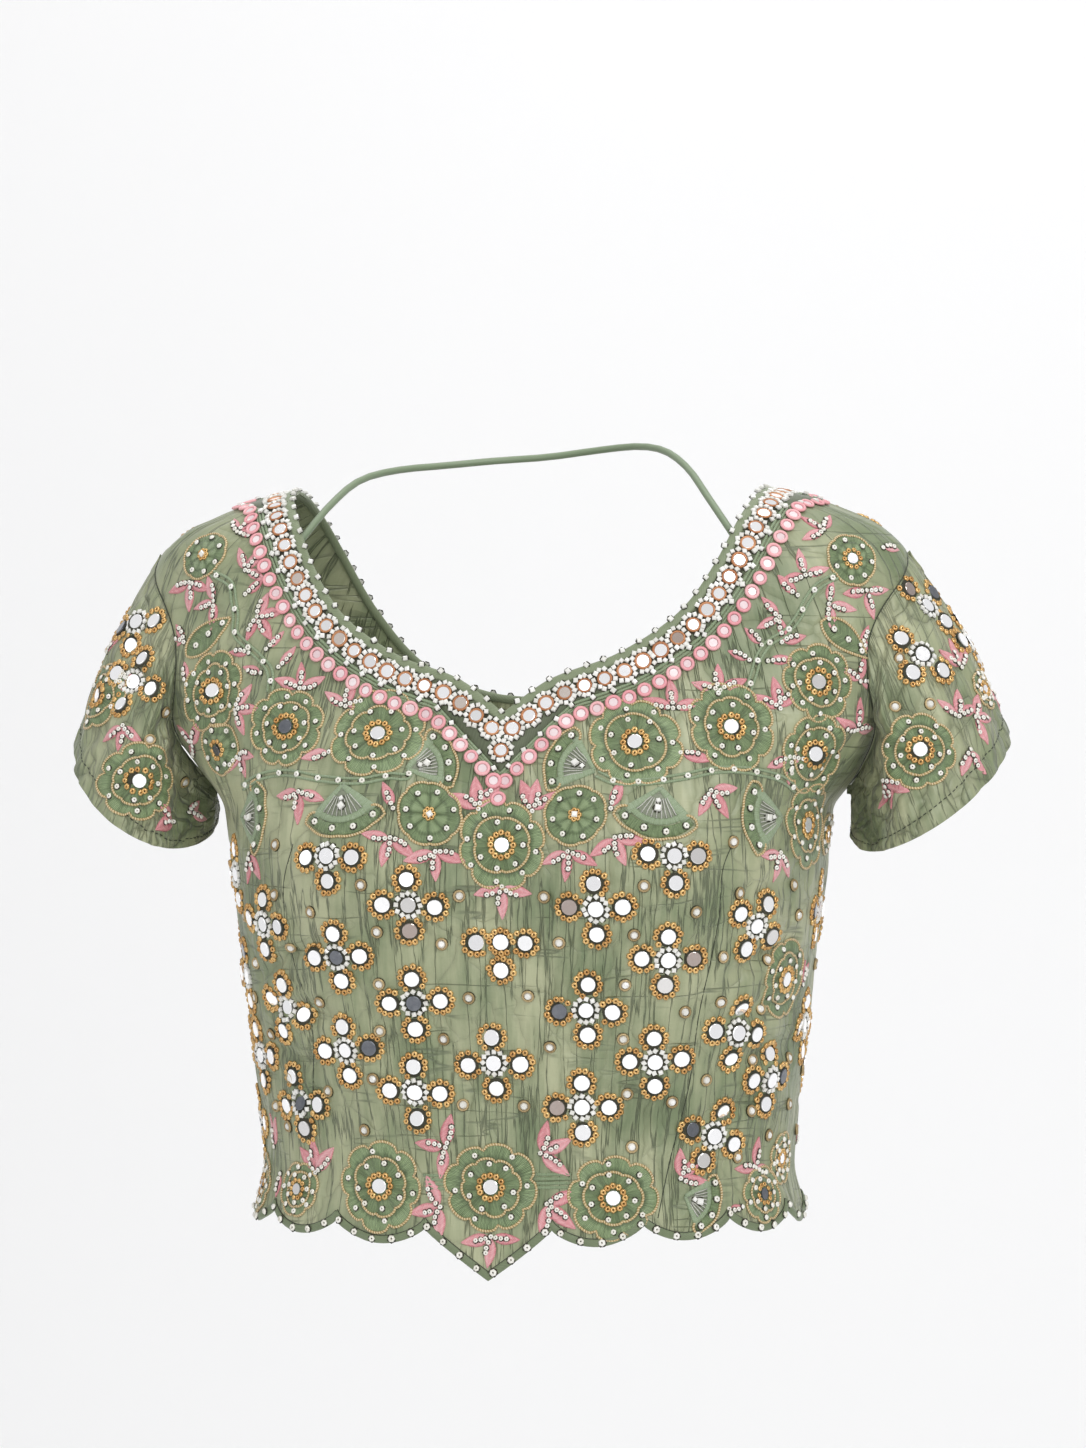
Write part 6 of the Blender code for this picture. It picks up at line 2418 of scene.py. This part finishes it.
def plain_strip_material(group, name, colour, dark):
    """The cloth of a narrow strip, whose flat coordinates are in millimetres."""
    material, tree, shader = new_material(name, 0.5, Sheen_Weight=0.2, Sheen_Roughness=0.4)
    threads = placed_group(material, group, Thread=uv_of(tree, "thread"), Per_millimetre=0.55, Slant=0.6)
    cloudy = noise_node(tree, place_of(tree), 160, 3)
    # The threads' tone paints their grooves a little darker as shade; with the cloud it is also the strip's
    # own uneven colour
    share = math_node(tree, "ADD", math_node(tree, "MULTIPLY", threads.outputs["Tone"], 0.5),
                      math_node(tree, "MULTIPLY", cloudy, 0.5))
    tree.links.new(blend_colours(tree, share, dark, colour), shader.inputs["Base Color"])
    bump(tree, shader, threads.outputs["Height"], 0.12 * MM, 0.5)
    return material


def satin_material(group, name, colour, dark, pale, per_millimetre=2.2, slant=0.0, depth=0.16):
    """Glossy threads side by side, with painted sheen on their crowns and painted shade between them."""
    material, tree, shader = new_material(name, 0.38, Sheen_Weight=0.2, Sheen_Roughness=0.35)
    threads = placed_group(material, group, Thread=uv_of(tree, "thread"), Per_millimetre=per_millimetre,
                           Slant=slant)
    tone = threads.outputs["Tone"]
    # Darker between the threads as painted shade, paler on their crowns as painted sheen
    low = blend_colours(tree, math_node(tree, "MULTIPLY_ADD", tone, 2.6, -0.72), dark, colour)
    high = math_node(tree, "MULTIPLY_ADD", tone, 2.6, -1.5)
    base = blend_colours(tree, math_node(tree, "MAXIMUM", high, 0.0), low, pale)
    # The tint paints the relief of the flowers and leaves: darker in their hollows and sunken rims as painted
    # shade, paler on raised parts as painted highlight
    tint = tint_of(tree)
    deeper = math_node(tree, "MAXIMUM", math_node(tree, "MULTIPLY_ADD", tint, -1.5, 0.75), 0.0)
    paler = math_node(tree, "MAXIMUM", math_node(tree, "MULTIPLY_ADD", tint, 1.2, -0.6), 0.0)
    base = blend_colours(tree, deeper, base, dark)
    tree.links.new(blend_colours(tree, paler, base, pale), shader.inputs["Base Color"])
    bump(tree, shader, threads.outputs["Height"], depth * MM, 0.8)
    return material


def stone_material(group, name, colour, other, roughness, metallic=0.0, **settings):
    """Beads and stones, each a little different from the next."""
    material, tree, shader = new_material(name, roughness, metallic, **settings)
    tint = placed_group(material, group, Place=place_of(tree), Tint=tint_of(tree))
    tree.links.new(blend_colours(tree, tint.outputs["Tone"], colour, other), shader.inputs["Base Color"])
    return material


# The mirrors' tones, from bright through grey and brown to dark: painted reflections
MIRROR_REFLECTION_TONES = (
    (0.0, (0.91, 0.91, 0.92)), (0.42, (0.80, 0.80, 0.81)), (0.58, (0.56, 0.545, 0.53)),
    (0.72, (0.60, 0.46, 0.36)), (0.84, (0.17, 0.15, 0.16)), (1.0, (0.07, 0.085, 0.105)),
)


# The mirrors glow in their own colour, a painted reflection
MIRROR_REFLECTION_GLOW = 0.34  # the bright room that the mirrors show, beyond what the stage's lights give


def mirror_material():
    """Small hand-cut mirrors, a few of them grey or dark; their tones and a faint glow are painted
    reflections.
    """
    material, tree, shader = new_material("mirror_glass", 0.12, 0.9, Coat_Roughness=0.03,
                                          Emission_Strength=MIRROR_REFLECTION_GLOW)
    ramp = add_node(tree, "ShaderNodeValToRGB")
    for index, (place, tone) in enumerate(MIRROR_REFLECTION_TONES):
        if index > 1:
            ramp.color_ramp.elements.new(place)
        ramp.color_ramp.elements[index].position = place
        ramp.color_ramp.elements[index].color = (*tone, 1)
    tree.links.new(tint_of(tree), ramp.inputs[0])
    cloudy = noise_node(tree, place_of(tree), 420, 3)
    smeared = blend_colours(tree, math_node(tree, "MULTIPLY", cloudy, 0.22), ramp.outputs[0], (0.5, 0.5, 0.5))
    tree.links.new(smeared, shader.inputs["Base Color"])
    # The glow in the mirrors' own colour is a painted reflection
    tree.links.new(smeared, shader.inputs["Emission Color"])
    tree.links.new(math_node(tree, "MULTIPLY_ADD", cloudy, 0.16, 0.04), shader.inputs["Roughness"])
    return material


def make_materials():
    """Every finish of the blouse."""
    scene = bpy.context.scene
    silk, stitches, stones = scene.choli_silk, scene.choli_stitches, scene.choli_stones
    crushed, threads, tint = crushed_silk_group(), thread_group(), piece_tint_group()
    colour, painted_crease_shade, binding = tuple(silk.colour), tuple(silk.painted_crease_shade), tuple(silk.binding)
    green, pink, cord = tuple(stitches.green), tuple(stitches.pink), tuple(stitches.cord)
    white, black = (1, 1, 1), (0, 0, 0)
    # The pale colour of the silk's painted sheen
    painted_sheen = (0.58, 0.58, 0.37)
    silk_material(crushed, "sage_silk", colour, painted_crease_shade, painted_sheen, 1.0, 0.45)
    silk_material(crushed, "sleeve_silk", colour, painted_crease_shade, painted_sheen, 0.8, 1.0)
    silk_material(crushed, "tie_silk", binding, mixed(binding, black, 0.5), (0.30, 0.42, 0.30), 0.2, 0.0)
    plain_strip_material(threads, "binding_silk", binding, mixed(binding, black, 0.42))
    plain_strip_material(threads, "green_binding", mixed(binding, (0.36, 0.40, 0.27), 0.45),
                         mixed(binding, black, 0.25))
    plain_strip_material(threads, "band_ground", mixed(binding, (0.13, 0.15, 0.09), 0.75),
                         mixed(binding, black, 0.7))
    # Dark seam lines and stitches: thread, and painted shade in the seams' grooves
    plain_strip_material(threads, "seam_thread", mixed(painted_crease_shade, black, 0.45), mixed(painted_crease_shade, black, 0.7))
    plain_strip_material(threads, "net_ground", (0.27, 0.30, 0.21), (0.14, 0.16, 0.11))
    # Each satin's and cord's dark colour is its painted shade, and its pale colour its painted sheen
    satin_material(threads, "green_satin", green, mixed(green, black, 0.66),
                   mixed(green, (0.46, 0.58, 0.32), 0.72))
    satin_material(threads, "light_satin", mixed(green, (0.36, 0.45, 0.29), 0.8), mixed(green, black, 0.2),
                   (0.46, 0.55, 0.40))
    satin_material(threads, "pink_satin", pink, mixed(pink, (0.42, 0.06, 0.10), 0.7), mixed(pink, white, 0.4),
                   per_millimetre=1.7)
    satin_material(threads, "gold_cord", cord, mixed(cord, (0.22, 0.12, 0.04), 0.85), mixed(cord, white, 0.5),
                   per_millimetre=0.75, slant=1.0, depth=0.25)
    satin_material(threads, "silver_thread", (0.74, 0.74, 0.66), (0.36, 0.37, 0.30), (0.92, 0.92, 0.88))
    gold = tuple(stones.gold)
    stone_material(tint, "gold_bead", mixed(gold, (0.28, 0.10, 0.02), 0.6),
                   mixed(gold, (0.98, 0.74, 0.34), 0.6), 0.24, 0.5, Coat_Weight=0.4)
    stone_material(tint, "white_bead", (0.84, 0.81, 0.71), (0.97, 0.96, 0.91), 0.25, Coat_Weight=0.5)
    stone_material(tint, "cut_crystal", (0.66, 0.65, 0.59), (0.95, 0.95, 0.92), 0.12, Coat_Weight=0.6)
    stone_material(tint, "copper_rim", (0.36, 0.13, 0.05), (0.62, 0.30, 0.14), 0.4, 0.35)
    stone_material(tint, "gold_cup", (0.28, 0.19, 0.08), (0.56, 0.43, 0.23), 0.35, 0.4)
    stone_material(tint, "pink_ring", mixed(pink, (0.62, 0.12, 0.20), 0.35), mixed(pink, white, 0.25), 0.5)
    stone_material(tint, "pale_centre", (0.66, 0.46, 0.48), (0.97, 0.92, 0.92), 0.2, Coat_Weight=0.5)
    # Dark thread, and the painted shade in the gaps round beads, mirrors and cups
    stone_material(tint, "dark_backing", (0.025, 0.030, 0.018), (0.055, 0.050, 0.03), 0.9)
    mirror_material()


def make_shapes():
    """The beads, stones, mirrors and stitches, each modelled once."""
    stitch = disc_shape("seam_thread", 0.3, 0.2, 6)
    # A dark ring under each white bead and crystal: dark thread and its painted shadow
    knot = low_cone_shape("dark_backing", 6, 1.36, 0.12)
    return {
        "gold": bead_shape("gold_bead"),
        "white": bead_shape("white_bead")._replace(under=knot),
        "crystal": square_bead_shape("cut_crystal")._replace(under=knot),
        "mirror": disc_shape("mirror_glass", 0.14, 0.07, 16),
        "backing": low_cone_shape("dark_backing", 12, 1, 0.08),
        "copper": ring_shape("copper_rim", 0.87, 0.18, 14, 4, 1.0),
        "pink_ring": ring_shape("pink_ring", 0.78, 0.22, 14, 5, 0.9),
        "pale": cut_stone_shape("pale_centre", 12, 0.86, 0.16),
        "cup": ring_shape("gold_cup", 0.80, 0.20, 12, 4, 1.4),
        "stone": cut_stone_shape("cut_crystal", 8, 0.55, 0.55),
        "stitch": stitch._replace(points=stitch.points * (1, 0.24, 0.7)),
    }


def square_bead_shape(finish):
    """A small cut bead, nearly a cube, with the edges of its table taken off."""
    deselect_all()
    bpy.ops.mesh.primitive_cube_add(size=1.56)
    obj = bpy.context.object
    bpy.ops.object.mode_set(mode="EDIT")
    select_faces_up(obj)
    bpy.ops.mesh.inset(thickness=0.34)
    bpy.ops.transform.translate(value=(0, 0, 0.45))
    bpy.ops.object.mode_set(mode="OBJECT")
    shape = taken(finish, False)
    return shape._replace(points=shape.points * (1, 1, 0.65) + (0, 0, 0.26))


# ---------------------------------------------------------------- operators

BODICE = ("front_silk", "back_silk_left", "back_silk_right")
SLEEVES = {1: "sleeve_silk_left", -1: "sleeve_silk_right"}


def bodice_tree():
    """The bodice's outer face, to lay things on."""
    return cloth_tree(*BODICE)


def sleeve_trees():
    """The sleeves' outer faces."""
    return {side: cloth_tree(name) for side, name in SLEEVES.items()}


class CHOLI_OT_finishes(bpy.types.Operator):
    """Makes the silk, thread, bead and mirror finishes"""
    bl_idname = "choli.finishes"
    bl_label = "Finishes"

    def execute(self, context):
        make_materials()
        return {"FINISHED"}


class CHOLI_OT_bodice(bpy.types.Operator):
    """Makes the front and the two back panels in creased silk"""
    bl_idname = "choli.bodice"
    bl_label = "Bodice"

    def execute(self, context):
        make_bodice(bpy.data.materials["sage_silk"])
        return {"FINISHED"}


class CHOLI_OT_placket(bpy.types.Operator):
    """Makes the underlap behind the centre-back opening"""
    bl_idname = "choli.placket"
    bl_label = "Placket"

    def execute(self, context):
        make_placket(bpy.data.materials["sage_silk"])
        return {"FINISHED"}


class CHOLI_OT_sleeves(bpy.types.Operator):
    """Makes the two sleeves in creased silk"""
    bl_idname = "choli.sleeves"
    bl_label = "Sleeves"

    def execute(self, context):
        make_sleeves(bpy.data.materials["sleeve_silk"])
        return {"FINISHED"}


class CHOLI_OT_tie(bpy.types.Operator):
    """Makes the fabric cord behind the nape"""
    bl_idname = "choli.tie"
    bl_label = "Neck tie"

    def execute(self, context):
        make_tie(bpy.data.materials["tie_silk"])
        return {"FINISHED"}


class CHOLI_OT_seams(bpy.types.Operator):
    """Sews the darts and the armholes, and stitches the sleeves' hems"""
    bl_idname = "choli.seams"
    bl_label = "Seams"

    def execute(self, context):
        shapes, trees = make_shapes(), sleeve_trees()
        made = [sew_darts(bodice_tree())]
        made += [sew_sleeve(shapes, trees[side], side, name) for side, name in SIDES]
        return {"FINISHED"}


class CHOLI_OT_hem(bpy.types.Operator):
    """Folds the bias strip over the scallops and beads it"""
    bl_idname = "choli.hem"
    bl_label = "Hem binding"

    def execute(self, context):
        make_hem_bindings(make_shapes(), bodice_creases()).values()
        return {"FINISHED"}


class CHOLI_OT_neck_border(bpy.types.Operator):
    """Sets the mirrors and beads of the neck's border"""
    bl_idname = "choli.neck_border"
    bl_label = "Neck border"

    def execute(self, context):
        make_neck_borders(make_shapes(), bodice_tree(), bodice_creases()).values()
        return {"FINISHED"}


class CHOLI_OT_pink_rings(bpy.types.Operator):
    """Sews the row of pink rings outside the border"""
    bl_idname = "choli.pink_rings"
    bl_label = "Pink rings"

    def execute(self, context):
        make_pink_rows(make_shapes(), bodice_tree(), bodice_creases()).values()
        return {"FINISHED"}


class CHOLI_OT_crosses(bpy.types.Operator):
    """Sets the crosses of ringed mirrors"""
    bl_idname = "choli.crosses"
    bl_label = "Mirror crosses"

    def execute(self, context):
        make_crosses(make_shapes(), bodice_tree(), sleeve_trees()).values()
        return {"FINISHED"}


class CHOLI_OT_flowers(bpy.types.Operator):
    """Works the round flowers in satin stitch and cord"""
    bl_idname = "choli.flowers"
    bl_label = "Satin flowers"

    def execute(self, context):
        make_flowers(make_shapes(), bodice_tree(), sleeve_trees()).values()
        return {"FINISHED"}


class CHOLI_OT_sprays(bpy.types.Operator):
    """Works the beaded pink sprays"""
    bl_idname = "choli.sprays"
    bl_label = "Leaf sprays"

    def execute(self, context):
        make_sprays(make_shapes(), bodice_tree(), sleeve_trees()).values()
        return {"FINISHED"}


class CHOLI_OT_fans(bpy.types.Operator):
    """Works the fans and the beaded vines"""
    bl_idname = "choli.fans"
    bl_label = "Fans and vines"

    def execute(self, context):
        make_fans_and_vines(make_shapes(), bodice_tree()).values()
        return {"FINISHED"}


class CHOLI_OT_stones(bpy.types.Operator):
    """Sets the single stones in their cups"""
    bl_idname = "choli.stones"
    bl_label = "Cup stones"

    def execute(self, context):
        set_stones(make_shapes(), bodice_tree(), sleeve_trees()).values()
        return {"FINISHED"}


# The cut of each piece of cloth: (width, length, area) in metres
PANEL_CUTS = {
    "front_silk": (0.46, 0.38, 0.132),
    "back_silk_left": (0.24, 0.38, 0.0616),
    "back_silk_right": (0.24, 0.38, 0.0616),
    "sleeve_silk_left": (0.34, 0.107, 0.0180),
    "sleeve_silk_right": (0.33, 0.100, 0.0169),
}
TRIMMED = {
    "front_silk": "_front",
    "back_silk_left": "_back_left",
    "back_silk_right": "_back_right",
    "sleeve_silk_left": "_sleeve_left",
    "sleeve_silk_right": "_sleeve_right",
}
TRIMMINGS = ("mirror_crosses", "satin_flowers", "leaf_sprays", "fans_and_vines", "cup_stones",
             "neck_border", "pink_rings", "hem_fold")


class CHOLI_OT_cloths(bpy.types.Operator):
    """Goes over the cut of each piece of cloth and gathers the names of what is sewn on it, but keeps them
    nowhere
    """
    bl_idname = "choli.cloths"
    bl_label = "Cloth cuts"

    def execute(self, context):
        for name, (width, length, area) in PANEL_CUTS.items():
            sewn_on = [kind + TRIMMED[name] for kind in TRIMMINGS]
            sewn_on += {"front_silk": ["dart_seams"], "sleeve_silk_left": ["sleeve_stitches_left"],
                        "sleeve_silk_right": ["sleeve_stitches_right"]}.get(name, [])
        return {"FINISHED"}


FLOOR_DEPTH = 1.25  # below the shoulders
FLOOR_SPAN = 9.0
SWEEP_START = 2.4  # how far behind the blouse the floor turns up
SWEEP_RADIUS = 1.2
BACKDROP_TOP = 3.6
SWEEP_STEPS = 16
KEY = ((1.8, -2.0, 1.8), (0.0, 0.0, -0.2), 1.0)  # a light's place, where it points and its size
FRONT_PANEL = ((0.7, -4.0, 0.8), (0.0, 0.0, -0.2), 2.8)
FILL = ((-2.6, -1.4, 0.4), (0.0, 0.0, -0.2), 1.8)
BACKDROP_LIGHT = ((0.0, 0.7, 2.4), (0.0, 3.6, -0.3), 2.4)
FILL_SHARE = 0.27  # of the key light's power
FRONT_SHARE = 1.1
BACKDROP_SHARE = 1.35
WORLD_TONE = (0.99, 0.99, 1.0)
WORLD_STRENGTH = 0.56


def make_floor():
    """The floor, which turns up into a backdrop behind the blouse."""
    stage = bpy.context.scene.choli_stage
    deselect_all()
    middle = (0, SWEEP_START - FLOOR_SPAN / 2, -FLOOR_DEPTH)
    bpy.ops.mesh.primitive_plane_add(size=FLOOR_SPAN, location=middle)
    floor = bpy.context.object
    floor.name = "pale_floor"
    bpy.ops.object.transform_apply(location=True, rotation=True, scale=True)
    bpy.ops.object.mode_set(mode="EDIT")
    edit = bmesh.from_edit_mesh(floor.data)
    for vert in edit.verts:
        vert.select_set(vert.co.y > SWEEP_START - 0.01)
    edit.select_flush_mode()
    bmesh.ops.spin(
        edit, geom=[part for part in [*edit.verts, *edit.edges] if part.select],
        cent=(0, SWEEP_START, SWEEP_RADIUS - FLOOR_DEPTH), axis=(1, 0, 0), angle=QUARTER,
        steps=SWEEP_STEPS)
    bmesh.update_edit_mesh(floor.data)
    for vert in edit.verts:
        vert.select_set(vert.co.z > SWEEP_RADIUS - FLOOR_DEPTH - 0.01)
    edit.select_flush_mode()
    bpy.ops.mesh.extrude_region_move(TRANSFORM_OT_translate={"value": (0, 0, BACKDROP_TOP)})
    bpy.ops.object.mode_set(mode="OBJECT")
    for face in floor.data.polygons:
        face.use_smooth = True
    material, tree, shader = new_material("floor_paint", 0.85)
    tone = tuple(stage.floor)
    cloudy = noise_node(tree, place_of(tree), 1.2, 2)
    painted = blend_colours(tree, cloudy, mixed(tone, (0, 0, 0), 0.015), tone)
    tree.links.new(painted, shader.inputs["Base Color"])
    floor.data.materials.append(material)


def aimed(place, target):
    """The rotation that points a camera or light from a place at a target."""
    return (Vector(target) - Vector(place)).to_track_quat("-Z", "Y").to_euler()


def make_light(name, spec, power):
    """A large soft light."""
    place, target, size = spec
    light = bpy.data.lights.new(name, "AREA")
    light.energy = power
    light.size = size
    obj = bpy.data.objects.new(name, light)
    obj.location = place
    obj.rotation_euler = aimed(place, target)
    bpy.context.scene.collection.objects.link(obj)


def make_camera():
    """The camera, level, a little to the wearer's left."""
    camera = bpy.data.cameras.new("camera")
    camera.lens = LENS
    camera.clip_end = 50
    obj = bpy.data.objects.new("camera", camera)
    obj.location = EYE
    obj.rotation_euler = aimed(EYE, EYE - VIEW_BACK)
    bpy.context.scene.collection.objects.link(obj)
    bpy.context.scene.camera = obj


def make_world():
    """Even, nearly white light from all round."""
    world = bpy.data.worlds.new("soft_daylight")
    world.use_nodes = True
    background = world.node_tree.nodes["Background"]
    background.inputs["Color"].default_value = (*WORLD_TONE, 1)
    background.inputs["Strength"].default_value = WORLD_STRENGTH
    bpy.context.scene.world = world
    bpy.context.scene.view_settings.view_transform = "Standard"


class CHOLI_OT_stage(bpy.types.Operator):
    """Makes the floor, the lights and the camera"""
    bl_idname = "choli.stage"
    bl_label = "Stage"

    def execute(self, context):
        key = context.scene.choli_stage.key
        make_floor()
        make_light("key_light", KEY, key)
        make_light("front_panel_light", FRONT_PANEL, FRONT_SHARE * key)
        make_light("fill_light", FILL, FILL_SHARE * key)
        make_light("backdrop_light", BACKDROP_LIGHT, BACKDROP_SHARE * key)
        make_camera()
        make_world()
        return {"FINISHED"}


class CHOLI_PT_panel(bpy.types.Panel):
    """The steps in dressing the blouse, and what can be changed."""
    bl_label = "Choli"
    bl_idname = "CHOLI_PT_panel"
    bl_space_type = "VIEW_3D"
    bl_region_type = "UI"
    bl_category = "Choli"

    def draw(self, context):
        for name, group in SETTINGS:
            box = self.layout.box()
            for setting in group.__annotations__:
                box.prop(getattr(context.scene, name), setting)
        for step in STEPS:
            self.layout.operator(step.bl_idname)


SETTINGS = (
    ("choli_silk", CholiSilk),
    ("choli_stones", CholiStones),
    ("choli_stitches", CholiStitches),
    ("choli_stage", CholiStage),
)
STEPS = (
    CHOLI_OT_stage,
    CHOLI_OT_finishes,
    CHOLI_OT_tie,
    CHOLI_OT_bodice,
    CHOLI_OT_placket,
    CHOLI_OT_sleeves,
    CHOLI_OT_seams,
    CHOLI_OT_hem,
    CHOLI_OT_neck_border,
    CHOLI_OT_pink_rings,
    CHOLI_OT_crosses,
    CHOLI_OT_flowers,
    CHOLI_OT_sprays,
    CHOLI_OT_fans,
    CHOLI_OT_stones,
    CHOLI_OT_cloths,
)


def register():
    """Registers the settings, the steps and the panel."""
    for name, group in SETTINGS:
        bpy.utils.register_class(group)
        setattr(bpy.types.Scene, name, PointerProperty(type=group))
    for kind in (*STEPS, CHOLI_PT_panel):
        bpy.utils.register_class(kind)


def unregister():
    """Removes them again."""
    for kind in reversed((*STEPS, CHOLI_PT_panel)):
        bpy.utils.unregister_class(kind)
    for name, group in reversed(SETTINGS):
        delattr(bpy.types.Scene, name)
        bpy.utils.unregister_class(group)


def main():
    """Dresses the blouse, step by step."""
    register()
    for step in STEPS:
        family, name = step.bl_idname.split(".")
        getattr(getattr(bpy.ops, family), name)()


if __name__ == "__main__":
    main()
